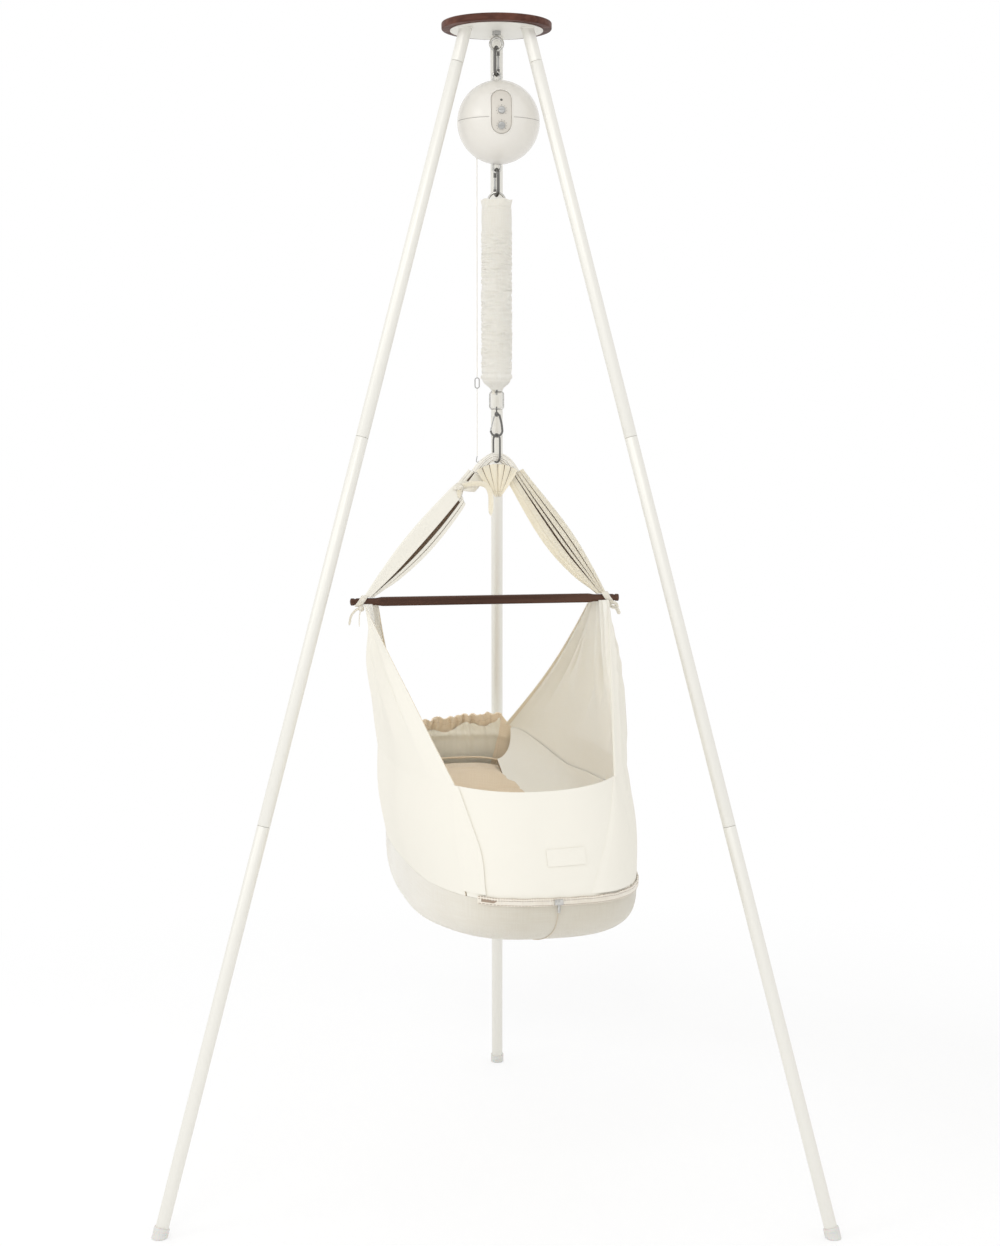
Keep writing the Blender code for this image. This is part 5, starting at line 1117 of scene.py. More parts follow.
class MakeLinks(HammockOperator):
    """Eye bolt, carabiners, hanger and rings of the chain"""

    bl_idname = "hammock.links"
    bl_label = "Chain of links"

    def make(self):
        """Every link between the disc and the snap hook."""
        self.make_eye()
        for name, (top, low, turn) in (("upper", UPPER_CARABINER), ("lower", LOWER_CARABINER)):
            self.make_carabiner(name, top, low, turn)
        link = link_part(0, HANGER_TOP, HANGER_LOW, HANGER_HALF, HANGER_WIRE, X_AXIS, 20)
        solid_piece("hanger_link", [link], nickel(), "motor_unit", ["motor_hanger"])
        corner = 0.003
        path = arc((0, 0, TOP_RING_CENTRE), TOP_RING_RADIUS, 0, 180, 30, X_AXIS, Z_AXIS)
        path += arc((-TOP_RING_RADIUS + corner, 0, TOP_RING_BAR + corner), corner, 180, 270, 7, X_AXIS, Z_AXIS)
        path += arc((TOP_RING_RADIUS - corner, 0, TOP_RING_BAR + corner), corner, 270, 360, 7, X_AXIS, Z_AXIS)
        solid_piece("sleeve_d_ring", [wire_part(path, TOP_RING_WIRE, Y_AXIS, 20, True)], nickel(), "spring_head",
                    ["spring_top_ring"])
        high, low, half, corner, wire = BOTTOM_RING
        path = []
        for x, z, start in ((half, high, 0), (-half, high, 90), (-half, low, 180), (half, low, 270)):
            centre = (x - math.copysign(corner, x), 0, z - (corner if z == high else -corner))
            path += arc(centre, corner, start, start + 90, 8, X_AXIS, Z_AXIS)
        solid_piece("rectangular_ring", [wire_part(path, wire, Y_AXIS, 16, True)], nickel(), "spring_foot",
                    ["spring_bottom_ring"])
        top, low, half, wire, turn = HANGING_RING
        solid_piece("long_ring", [link_part(0, top, low, half, wire, plan_direction(turn), 16)], gunmetal(),
                    "hammock_top", ["hanging_ring"])

    def make_eye(self):
        """Eye with its threaded stem, and its nut."""
        path = arc((0, 0, EYE_CENTRE), EYE_RADIUS, 80, 440, 48, X_AXIS, Z_AXIS)[:-1]
        ring = wire_part(path, EYE_WIRE, Y_AXIS, 20, True)
        profile = [(0.0030, EYE_CENTRE + EYE_RADIUS)]
        top = DISC_UNDERSIDE + 0.0068
        turns = int((top - PLATE_UNDERSIDE + 0.008) / 0.0008)
        for k in range(turns * 2):
            height = blend(EYE_CENTRE + EYE_RADIUS + 0.001, top, k / (turns * 2))
            profile.append((0.0030 if k % 2 else 0.00262, height))
        profile.append((0.0026, top))
        solid_piece("eye_with_stem", [ring, lathe_part(profile, 32)], nickel(), "stand", ["eye_bolt"])
        dress_cad(["eye_bolt_nut"], steel())

    def make_carabiner(self, name, top, low, turn):
        """Link with its sprung gate, notch and hinge pin."""
        across = plan_direction(turn)
        depth = across.cross(Z_AXIS)
        half = CARABINER_HALF
        upper = top - CARABINER_WIRE - half
        lower = low + CARABINER_WIRE + half
        gate_low = lower + 0.0020
        gate_high = upper - 0.0035
        path = [across * half + Z_AXIS * gate_high]
        path += arc((0, 0, upper), half, 0, 180, 22, across, Z_AXIS)
        path += [-across * half + Z_AXIS * blend(upper, lower, t) for t in (0.25, 0.5, 0.75)]
        path += arc((0, 0, lower), half, 180, 360, 22, across, Z_AXIS)
        path += [across * half + Z_AXIS * gate_low]
        solid_piece(f"{name}_carabiner_link", [wire_part(path, CARABINER_WIRE, depth, 20)], gunmetal(),
                    f"{name}_link", [f"{name}_carabiner"])
        seat = GATE_WIRE + GAP
        start = across * half + Z_AXIS * (gate_low + seat)
        end = across * half + Z_AXIS * (gate_high - seat)
        length = (end - start).length
        profile = [(0.0003, -GATE_WIRE), (0.7 * GATE_WIRE, -0.7 * GATE_WIRE), (GATE_WIRE, 0.0),
                   (GATE_WIRE, 0.18 * length), (0.82 * GATE_WIRE, 0.20 * length), (0.82 * GATE_WIRE, 0.78 * length),
                   (GATE_WIRE, 0.80 * length), (GATE_WIRE, length), (0.7 * GATE_WIRE, length + 0.7 * GATE_WIRE),
                   (0.0003, length + GATE_WIRE)]
        gate = lathe_part(profile, 24, axis_matrix(start, end - start))
        pin = wire_part([start - depth * 0.0021, start + depth * 0.0021], 0.0007, Z_AXIS, 12)
        solid_piece(f"{name}_carabiner_bar", [gate, pin], steel(), f"{name}_gate", [f"{name}_carabiner_gate"])


class MakeSnapHook(HammockOperator):
    """Swivel eye, snap hook and its gate"""

    bl_idname = "hammock.snap_hook"
    bl_label = "Snap hook"

    def make(self):
        """Swivel, barrel, hook wire and gate."""
        eye = wire_part(arc((0, 0, SWIVEL_EYE), 0.0033, 0, 345, 23, Y_AXIS, Z_AXIS), 0.0011, X_AXIS, 14, True)
        top, low, radius = HOOK_BARREL
        head = low - GAP
        stem = lathe_part([(0.0012, SWIVEL_EYE - 0.0033), (0.0012, head), (0.0021, head), (0.0021, head - 0.0010),
                           (0.0015, head - 0.0012)], 24)
        solid_piece("swivel_eye", [eye, stem], gunmetal(), "spring_foot", ["hook_swivel"])
        barrel = (lathe_grid([(0.0015, top), (0.0022, top), (0.0030, top - 0.0007), (radius, top - 0.0022),
                              (radius, top - 0.0030), (radius - 0.0003, top - 0.0032), (radius - 0.0003, top - 0.0036),
                              (radius, top - 0.0038), (radius, low + 0.0003), (radius - 0.0003, low),
                              (0.0015, low)], 40), True, True, False)
        reach = HOOK_LOW + HOOK_WIRE + HOOK_HALF
        shoulder = blend(low, top, 0.4)
        attach = radius + 0.4 * HOOK_WIRE
        path = smooth_path([(attach, 0, shoulder), (blend(attach, HOOK_HALF, 0.42), 0, blend(shoulder, reach, 0.30)),
                            (blend(attach, HOOK_HALF, 0.80), 0, blend(shoulder, reach, 0.65)),
                            (HOOK_HALF, 0, reach)], 6)
        path += arc((0, 0, reach), HOOK_HALF, -6, -180, 30, X_AXIS, Z_AXIS)
        hook = wire_part(path, HOOK_WIRE, Y_AXIS, 16)
        web = wire_part([(0.0018, 0, shoulder), (attach, 0, shoulder)], (0.0013, 0.0013), Y_AXIS, 12)
        solid_piece("hook_body", [barrel, hook, web], gunmetal(), "hammock_top", ["snap_hook"])
        pivot = Vector((-0.0040, 0, low - 0.0012 - GAP))
        tip = Vector((-HOOK_HALF, 0, reach + 0.0012 + 2 * GAP))
        length = (tip - pivot).length
        gate = lathe_part([(0.0003, -0.0012), (0.0009, -0.0008), (0.0012, 0.0), (0.0012, 0.25 * length),
                           (0.00095, 0.28 * length), (0.00095, 0.85 * length), (0.0012, 0.88 * length),
                           (0.0012, length), (0.0008, length + 0.0009), (0.0003, length + 0.0012)], 20,
                          axis_matrix(pivot, tip - pivot))
        solid_piece("hook_gate_bar", [gate], steel(), "hook_gate", ["snap_hook_gate"])


def ball_direction(latitude, turn=PANEL_TURN):
    """Direction out of the ball's front, or out of its back for a turn of 180 degrees."""
    lat = math.radians(latitude)
    side = math.radians(turn)
    return Vector((math.sin(side) * math.cos(lat), -math.cos(side) * math.cos(lat), math.sin(lat)))


def drill_part(way, radius, sides):
    """A round bar through the ball's wall in a direction."""
    return wire_part([BALL_CENTRE + way * share * BALL_RADIUS for share in (0.8, 1.2)], radius, Z_AXIS, sides)


def panel_axes():
    """Panel's outward direction, its direction across and its direction up."""
    out = ball_direction(9.0)
    across = Z_AXIS.cross(out).normalized()
    return out, across, out.cross(across)


def panel_point(a, b, radius):
    """A point over the panel at a distance from the ball's middle."""
    out, across, high = panel_axes()
    return BALL_CENTRE + out * math.sqrt(radius * radius - a * a - b * b) + across * a + high * b


def stadium(width, height, steps=16):
    """Outline of an upright stadium, as (across, high) pairs."""
    radius = 0.5 * width
    straight = 0.5 * height - radius
    outline = []
    for i in range(steps + 1):
        angle = math.pi * i / steps
        outline.append((radius * math.cos(angle), straight + radius * math.sin(angle)))
    for k in range(1, 8):
        outline.append((-radius, straight * (1 - k / 4)))
    for i in range(steps + 1):
        angle = math.pi + math.pi * i / steps
        outline.append((radius * math.cos(angle), -straight + radius * math.sin(angle)))
    for k in range(1, 8):
        outline.append((radius, straight * (k / 4 - 1)))
    return outline


class MakeBall(HammockOperator):
    """Motor ball: two shells, control panel, knobs and lens"""

    bl_idname = "hammock.ball"
    bl_label = "Motor ball"

    def make(self):
        """Shells, panel, knobs and what shows through their openings."""
        self.make_shells()
        self.make_panel()
        for name, latitude in KNOB_LATITUDES.items():
            self.make_knob(name, latitude)
        way = ball_direction(LENS_LATITUDE)
        face = BALL_RADIUS - PANEL_RECESS
        profile = [(0.0003, face - 0.003), (LENS_RADIUS, face - 0.003), (LENS_RADIUS, face)]
        profile += [(LENS_RADIUS * math.cos(math.radians(a)), face + 0.0008 * math.sin(math.radians(a)))
                    for a in (15, 30, 45, 60, 75, 88)]
        solid_piece("lens_dome", [lathe_part(profile, 32, axis_matrix(BALL_CENTRE, way))], lens_dark(),
                    "motor_unit", ["indicator_lens"])
        dress_cad(["circuit_board"], board_green())
        dress_cad(["cord_drum", "power_inlet"], dark_plastic())
        dress_cad(["gear_motor"], steel())

    def make_shells(self):
        """Two halves with a fine groove between them."""
        out, across, high = panel_axes()
        pocket = np.array([[BALL_CENTRE + out * depth + across * a + high * b
                            for a, b in stadium(PANEL_SIZE[0] + 0.0016, PANEL_SIZE[1] + 0.0016)]
                           for depth in (0.4 * BALL_RADIUS, 1.3 * BALL_RADIUS)])
        half = HANGER_HALF + HANGER_WIRE + 3 * GAP
        deep = HANGER_WIRE + 3 * GAP
        for name, sign in (("upper", 1.0), ("lower", -1.0)):
            profile = [(0.0003, sign * BALL_RADIUS)]
            profile += [(BALL_RADIUS * math.sin(math.radians(a)), sign * BALL_RADIUS * math.cos(math.radians(a)))
                        for a in range(3, 90, 3)]
            profile += [(BALL_RADIUS - 0.00005, sign * 0.0009), (BALL_RADIUS - 0.0004, sign * 0.00025)]
            inner = BALL_RADIUS - BALL_WALL
            profile += [(inner, sign * 0.00025)]
            profile += [(inner * math.cos(math.radians(a)), sign * inner * math.sin(math.radians(a)))
                        for a in range(9, 90, 9)]
            profile += [(0.0003, sign * inner)]
            shell = solid_piece(f"ball_shell_{name}", [lathe_part(profile, 128, Matrix.Translation(BALL_CENTRE))],
                                ball_plastic(), "motor_unit", [f"motor_shell_{name}"])
            slot = np.array([[(x, y, BALL_CENTRE.z + sign * share * BALL_RADIUS)
                              for x, y in self.slot_outline(half, deep)] for share in (0.8, 1.2)])
            cutters = [(pocket, False, True, True), (slot, False, True, True)]
            if name == "lower":
                hole = [(CORD_X, 0, BALL_CENTRE.z - BALL_RADIUS), (CORD_X, 0, BALL_CENTRE.z - 0.7 * BALL_RADIUS)]
                cutters.append(wire_part(hole, 0.0020, Y_AXIS, 20))
                cutters.append(drill_part(ball_direction(-14.0, 180.0), 0.0057, 32))
            for cutter in cutters:
                cut(shell, [cutter])
            smooth(shell, 35.0)

    def slot_outline(self, half, deep):
        """Rounded slot in the shell for the hanger."""
        middle = half - deep
        points = arc((middle, 0, 0), deep, -90, 90, 8, X_AXIS, Y_AXIS)
        points += arc((-middle, 0, 0), deep, 90, 270, 8, X_AXIS, Y_AXIS)
        return [tuple(point)[:2] for point in points]

    def make_panel(self):
        """Recessed panel, its moulded lip, and generic ticks round the knobs."""
        face = BALL_RADIUS - PANEL_RECESS
        rings = []
        for share, depth in ((0.02, 0.0), (0.3, 0.0), (0.6, 0.0), (0.85, 0.0), (0.97, 0.0), (1.0, 0.0004),
                             (1.0, 0.003), (0.5, 0.003), (0.02, 0.003)):
            rings.append([panel_point(a * share, b * share, face - depth)
                          for a, b in stadium(PANEL_SIZE[0] - 4 * GAP, PANEL_SIZE[1] - 4 * GAP)])
        panel = solid_piece("panel_face", [(np.array(rings), False, True, True)], panel_plastic(), "motor_unit",
                            ["control_panel"])
        for latitude, radius in ((KNOB_LATITUDES["speed_knob"], 0.0028), (KNOB_LATITUDES["timer_knob"], 0.0028),
                                 (LENS_LATITUDE, LENS_RADIUS + GAP)):
            cut(panel, [drill_part(ball_direction(latitude), radius, 24)])
        smooth(panel, 35.0)
        lip = []
        for grow, lift in ((-0.0005, -0.0022), (0.0001, -0.0020), (0.0002, -0.0016), (0.0004, 0.0001),
                           (0.0009, 0.00055), (0.0016, 0.00055), (0.0024, 0.00015), (0.0030, -0.0003)):
            lip.append([panel_point(a, b, BALL_RADIUS + lift)
                        for a, b in stadium(PANEL_SIZE[0] + 2 * grow, PANEL_SIZE[1] + 2 * grow)])
        solid_piece("panel_lip", [(np.array(lip), False, True, False)], ball_plastic(), "motor_unit", [])
        ticks = []
        for latitude in KNOB_LATITUDES.values():
            way = ball_direction(latitude)
            _, across, high = panel_axes()
            middle = way * face
            for step in range(-4, 5):
                angle = math.radians(90 - step * 32)
                ends = []
                for radius in (0.0074, 0.0086 if step % 4 else 0.0092):
                    offset = across * (radius * math.cos(angle)) + high * (radius * math.sin(angle))
                    ends.append(BALL_CENTRE + (middle + offset).normalized() * (face + 0.00002))
                ticks.append(wire_part(ends, (0.00022, 0.00010), way, 8))
        solid_piece("panel_ticks", ticks, dark_plastic(), "motor_unit", [])

    def make_knob(self, name, latitude):
        """Fluted knob with a screwdriver slot."""
        base = BALL_RADIUS - PANEL_RECESS + GAP
        top = base + KNOB_HEIGHT
        matrix = axis_matrix(BALL_CENTRE, ball_direction(latitude))
        rings = []
        for radius, height, flute in ((0.0003, top, 0), (0.55 * KNOB_RADIUS, top, 0), (0.80 * KNOB_RADIUS, top, 0),
                                      (0.90 * KNOB_RADIUS, top - 0.0003, 0.4), (0.98 * KNOB_RADIUS, top - 0.0008, 1),
                                      (KNOB_RADIUS, base + 0.0003, 1), (0.96 * KNOB_RADIUS, base, 1),
                                      (0.0025, base, 0), (0.0025, base - 0.0085, 0), (0.0003, base - 0.0085, 0)):
            ring = []
            for angle in around(96):
                reach = radius * (1.0 - 0.045 * flute * max(0.0, math.cos(16 * angle)))
                ring.append(matrix @ Vector((reach * math.cos(angle), reach * math.sin(angle), height)))
            rings.append(ring)
        knob = solid_piece(f"{name}_cap", [(np.array(rings), False, True, True)], steel(),
                           name.replace("knob", "control"), [name])
        slot = np.array([[matrix @ Vector((x, y, z)) for x, y in ((-0.012, -0.0007), (0.012, -0.0007),
                                                                 (0.012, 0.0007), (-0.012, 0.0007))]
                         for z in (top - 0.0010, top + 0.003)])
        cut(knob, [(slot, False, True, True)])
        smooth(knob, 30.0)


class MakeSleeve(HammockOperator):
    """Ruched sleeve, and the spring and safety strap inside it"""

    bl_idname = "hammock.sleeve"
    bl_label = "Spring sleeve"

    def make(self):
        """Cloth tube gathered by its threads, then what it hides."""
        ends = self.sleeve_ends()
        cols = 144
        rows = 330
        span = SLEEVE_TOP - SLEEVE_TAIL
        grid = []
        for i in range(rows + 1):
            height = SLEEVE_TOP - span * i / rows
            ring = []
            for angle in around(cols):
                radius, lift = self.radius_at(height, angle)
                ring.append((radius * math.cos(angle), radius * math.sin(angle), height + lift))
            grid.append(ring)
        outer = np.array(grid)
        wall = 0.0011
        centre = np.zeros_like(outer)
        centre[..., 2] = outer[..., 2]
        inner = centre + (outer - centre) * (1.0 - wall / np.linalg.norm(outer - centre, axis=2, keepdims=True))
        shell = np.concatenate([outer, inner[::-1]])
        points, faces = joined([(shell, True, True, False)])
        obj = new_piece("sleeve_cloth", points, faces, [plain_cotton()], 75.0)
        self.wrap_uv(obj, len(shell), cols)
        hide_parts("spring_sleeve")
        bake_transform(obj)
        self.make_core(ends)

    def sleeve_ends(self):
        """Top and tail of the sleeve on its axis, in the frame of the imported model."""
        return [tuple((0.0, 0.0, height) + AXIS_SHIFT) for height in (SLEEVE_TOP, SLEEVE_TAIL)]

    def radius_at(self, height, angle):
        """Radius of the sleeve and lift of its cloth at a height and angle."""
        turn = Vector((math.cos(angle), math.sin(angle), 0.0))
        depth = cloth().ruche
        top = SLEEVE_TOP - height
        low = height - SLEEVE_LOW
        lift = 0.0
        radius = SLEEVE_RADIUS - 0.0008
        if low < 0.0:
            share = ease(-low / (SLEEVE_LOW - SLEEVE_TAIL))
            pleat = 0.0009 * math.sin(13 * angle + 0.8 * math.sin(3 * angle)) * math.sin(math.pi * share)
            radius = blend(SLEEVE_RADIUS - 0.0022, SLEEVE_TAIL_RADIUS, share) + pleat
            return radius, lift
        ruched = ease((top - 0.040) / 0.020) * ease((low - 0.012) / 0.010)
        drift = 0.0018 * noise.noise(turn * 1.3 + Vector((0, 0, height * 60.0)))
        coarse = noise.noise(Vector((turn.x * 1.1, turn.y * 1.1, (height + drift) * 175.0)))
        fine = noise.noise(Vector((turn.x * 2.6, turn.y * 2.6, (height + drift) * 330.0 + 7.0)))
        ridge = 1.0 - 2.0 * abs(coarse)
        radius += ruched * depth * (1.15 * (ridge - 0.45) + 0.55 * fine)
        radius += (1.0 - ruched) * 0.0005 * noise.noise(Vector((turn.x * 2.2, turn.y * 2.2, height * 45.0)))
        waves = math.sin(9 * angle + 1.4 * math.sin(2 * angle)) + 0.5 * math.sin(17 * angle + 0.7)
        frill = 1.0 - ease(top / 0.0105)
        radius += frill * (0.0007 * waves + 0.0008)
        lift += frill * 0.0011 * (math.sin(5 * angle + 0.9) - 1.0)
        pinch = math.exp(-((top - 0.0125) / 0.0016) ** 2)
        radius -= pinch * (0.0012 + 0.0004 * waves)
        lower_pinch = math.exp(-((low - 0.0105) / 0.0016) ** 2)
        radius -= lower_pinch * (0.0012 - 0.0004 * waves)
        hem = math.exp(-((low - 0.005) / 0.0035) ** 2)
        radius += hem * (0.0009 + 0.0006 * waves)
        edge = 1.0 - ease(low / 0.0035)
        radius -= edge * 0.0016
        return radius, lift

    def wrap_uv(self, obj, rows, cols):
        """Thread coordinates round the sleeve."""
        mesh = obj.data
        layer = mesh.uv_layers.new(name="cloth")
        index = np.empty(len(mesh.loops), dtype=int)
        mesh.loops.foreach_get("vertex_index", index)
        column = index % cols
        row = index // cols
        spread = np.stack([column * (SLEEVE_FLAT[0] / cols), row * (0.26 / rows * 4.0)], axis=1)
        layer.data.foreach_set("uv", spread.astype(np.float32).ravel())

    def make_core(self, ends):
        """Coil spring and the webbing band beside it."""
        top, low, turns = SPRING_COIL
        path = arc((0, 0, TOP_RING_BAR), TOP_RING_WIRE + GAP + SPRING_WIRE, 160, -20, 14, Y_AXIS, Z_AXIS)
        path.append(Vector((0.3 * SPRING_RADIUS, 0.2 * SPRING_RADIUS, top + 0.0049)))
        steps = 28
        for i in range(turns * steps + 1):
            angle = 2 * math.pi * i / steps
            path.append(Vector((SPRING_RADIUS * math.cos(angle), SPRING_RADIUS * math.sin(angle),
                                blend(top, low, i / (turns * steps)))))
        path.append(Vector((0.3 * SPRING_RADIUS, 0.2 * SPRING_RADIUS, low - 0.0089)))
        path += arc((0, 0, BOTTOM_RING[0]), 0.0013 + GAP + SPRING_WIRE, 20, -160, 14, Y_AXIS, Z_AXIS)
        self.core_piece("coil_spring", wire_part(path, SPRING_WIRE, X_AXIS, 10), steel(), "spring", "steel", ends)
        offset = Vector((-0.0046, 0, 0))
        half = TOP_RING_WIRE + GAP + 0.00065
        loop = arc(offset + Z_AXIS * TOP_RING_BAR, half, 0, 180, 12, Y_AXIS, Z_AXIS)
        loop += [Vector((offset.x, -half, blend(TOP_RING_BAR, BOTTOM_RING[0], k / 12))) for k in range(1, 12)]
        loop += arc(offset + Z_AXIS * BOTTOM_RING[0], half, 180, 360, 12, Y_AXIS, Z_AXIS)
        loop += [Vector((offset.x, half, blend(BOTTOM_RING[0], TOP_RING_BAR, k / 12))) for k in range(1, 12)]
        self.core_piece("webbing_band", wire_part(loop, (0.00060, 0.0022), X_AXIS, 12, True), ribbon_cotton(),
                        "safety_strap", "natural_cotton", ends)

    def core_piece(self, name, part, material, node, slot, ends):
        """A piece inside the sleeve, in place of its CAD node."""
        obj = grid_piece(name, [part], [material], 50.0)
        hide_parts(node)
        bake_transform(obj)


class MakeBar(HammockOperator):
    """Walnut spreader bar"""

    bl_idname = "hammock.bar"
    bl_label = "Spreader bar"

    def make(self):
        """Squared body that runs out into round pegs with a groove."""
        rings = []
        stations = [-BAR_HALF_LENGTH + 0.00002, -BAR_HALF_LENGTH + 0.0005, -BAR_HALF_LENGTH + 0.0012]
        stations += list(np.arange(-BAR_HALF_LENGTH + 0.0015, -BAR_BODY_HALF + 0.016, 0.0006))
        stations += list(np.linspace(-BAR_BODY_HALF + 0.016, BAR_BODY_HALF - 0.016, 60))
        stations += [-x for x in reversed(stations[:-60])]
        for x in stations:
            peg = ease((abs(x) - (BAR_BODY_HALF - 0.012)) / 0.012)
            groove = math.exp(-((abs(x) - (BAR_HALF_LENGTH - 0.0075)) / 0.0013) ** 2)
            end = max(0.0, 1.0 - (BAR_HALF_LENGTH - abs(x)) / 0.0016)
            trim = 0.0011 * groove + BAR_PEG * 0.45 * (1.0 - math.sqrt(max(0.0, 1.0 - end * end)))
            depth = blend(0.0066, BAR_PEG, peg) - trim
            height = blend(0.0072, BAR_PEG, peg) - trim
            exponent = blend(5.0, 2.0, peg)
            ring = []
            for k in range(48):
                a, b = oval(2 * math.pi * (k + 0.5) / 48, depth, height, exponent)
                ring.append(hang(x, a, BAR_HEIGHT + b))
            rings.append(ring)
        wood = walnut("walnut_bar_wood", colours().bar, -YAW)
        solid_piece("walnut_bar", [(np.array(rings), False, True, True)], wood, "hammock_top", ["spreader_bar"],
                    40.0)


def apex_slope(t):
    """Slope of the gathered cloth at a share t of its half length."""
    return -APEX_DROP * 2.2 * abs(t) ** 1.2 * math.copysign(1.0, t) / APEX_HALF_LENGTH


def strap_line(side, t):
    """Centre of a strap, its direction across and its half width."""
    tilt = math.atan(apex_slope(1.0))
    start = Vector((side * (APEX_HALF_LENGTH + 3 * GAP * math.cos(tilt)), 0.0,
                    APEX_CENTRE - APEX_DROP + 3 * GAP * math.sin(tilt)))
    end = Vector((side * GATHER_CENTRE, 0.0, BAR_HEIGHT + BAR_PEG + GAP + 0.0007))
    line = (end - start).normalized()
    upper_way = Vector((-math.sin(tilt), 0.0, side * math.cos(tilt)))
    middle_way = Vector((-line.z * side, 0.0, line.x * side))
    lower_way = Vector((side, 0.0, 0.0))
    way = upper_way.lerp(middle_way, min(1.0, t / 0.25)) if t < 0.8 else middle_way.lerp(lower_way, (t - 0.8) / 0.2)
    half = blend(STRAP_TOP_HALF, GATHER_HALF - GAP, t)
    half += (STRAP_HALF_WIDTH - half) * math.sin(math.pi * t) ** 1.2
    centre = start.lerp(end, t) + Vector((0.0, 0.0, -0.006 * math.sin(math.pi * t)))
    return centre, way.normalized(), half


# Section of each strap from its back hem round the upper edge to its front hem: share of the half width, depth in
# millimetres, steps to the next point, movement where the slit opens, and whether the cloth up to the next point
# lies inside a slit, where it gets painted shade
STRAP_SECTIONS = {
    -1.0: ((-0.50, 4.6, 16, 0.0, False), (0.97, 4.4, 4, 0.0, False), (1.03, 1.0, 4, 0.0, False),
           (0.97, -3.4, 20, 0.0, False), (-0.20, -4.6, 3, 0.06, False), (-0.22, -3.4, 4, 0.10, True),
           (-0.22, 1.6, 5, 0.10, True), (-0.34, 1.8, 4, -0.10, True), (-0.36, -0.8, 6, -0.12, False),
           (-0.52, -1.8, 5, -0.10, False), (-0.66, -0.6, 2, -0.03, False), (-0.68, 1.4, 2, -0.03, True),
           (-0.71, 1.4, 2, -0.03, True), (-0.73, -0.4, 6, -0.03, False), (-1.0, 0.6, 1, 0.0, False)),
    1.0: ((-0.60, 5.6, 16, 0.0, False), (0.97, 5.2, 4, 0.0, False), (1.03, 0.6, 4, 0.0, False),
          (0.97, -3.0, 8, 0.0, False), (0.66, -4.0, 3, 0.0, False), (0.65, -2.6, 3, 0.01, True),
          (0.64, 0.9, 3, 0.01, True), (0.60, 0.9, 3, -0.02, True), (0.59, -2.2, 8, -0.02, False),
          (0.30, -3.6, 3, 0.0, False), (0.29, -2.4, 3, 0.01, True), (0.28, 1.0, 3, 0.01, True),
          (0.23, 1.0, 3, -0.03, True), (0.22, -2.0, 6, -0.03, False), (0.02, -3.4, 3, 0.0, False),
          (0.00, -2.2, 3, 0.02, True), (-0.01, 1.6, 3, 0.02, True), (-0.08, 1.6, 3, -0.05, True),
          (-0.09, -1.4, 10, -0.05, False), (-0.70, -2.6, 6, 0.0, False), (-1.0, 0.2, 1, 0.0, False))}


class MakeStraps(HammockOperator):
    """Cloth straps from the apex to the bar"""

    bl_idname = "hammock.straps"
    bl_label = "Straps"

    def make(self):
        """Each strap is one cloth folded over its upper edge, with long pleats."""
        for name, side in (("left", -1.0), ("right", 1.0)):
            rows = 84
            grid = []
            for i in range(rows + 1):
                t = i / rows
                centre, way, half = strap_line(side, t)
                points, slits = self.section(side, t)
                line = []
                for j, (high, deep) in enumerate(points):
                    deep += 0.0004 * crumple(j * 0.0016, t * 0.28, 3.0 + side, (0.04, 0.14), 2)
                    line.append(centre + way * ((half + 0.005 * (1 - t) ** 3) * high) + Y_AXIS * deep)
                grid.append(line)
            hung = hang_grid(grid)
            middle = hung[rows // 2]
            width = float(np.linalg.norm(np.diff(middle, axis=0), axis=1).sum())
            front = strap_cotton() if side > 0 else natural_cotton()
            obj = cloth_piece(f"strap_cloth_{name}", hung, (width, STRAP_LENGTH), [front, front, fold_shade()],
                              (True, True, False, False), 0.0009)
            # Cells inside the slits get painted shade.
            shade_cells(obj, *hung.shape[:2], 2, lambda row, col: col < len(slits) and slits[col])
            settle(obj, "hammock_top", "natural_cotton", f"strap_{name}")

    def section(self, side, t):
        """Points across a strap at a share t of its length, and which cells lie in a slit.

        A point is (share of the half width, metres deep).
        """
        gape = math.sin(math.pi * t) ** 0.6
        lines = []
        for high, deep, steps, open_high, dark in STRAP_SECTIONS[side]:
            sway = 0.05 * noise.noise(Vector((t * 2.4, high * 3.0, 5.0 + side))) * gape
            place = high + (open_high * gape * blend(1.25, 0.55, t) if side < 0 else open_high * gape)
            lines.append((place + sway * (1.0 - abs(high)), deep * 0.001 * blend(0.45, 1.0, gape), steps, dark))
        points = []
        slits = []
        for (high, deep, steps, dark), (next_high, next_deep, _, _) in zip(lines, lines[1:]):
            for k in range(steps):
                share = k / steps
                points.append((blend(high, next_high, share), blend(deep, next_deep, share)))
                slits.append(dark)
        points.append(lines[-1][:2])
        return np.array(points), slits


def bundle_pleat(t, k):
    """1 in the valley between two pleats of the bundle, -1 on a pleat."""
    angle = 2 * math.pi * k / 96
    return math.cos(11 * angle + 2.0 * math.sin(2 * angle) + 0.5 * t)


# Columns of the drape where its pleats meet, which get painted shade
DRAPE_SLITS = (20, 47, 79, 104, 127)


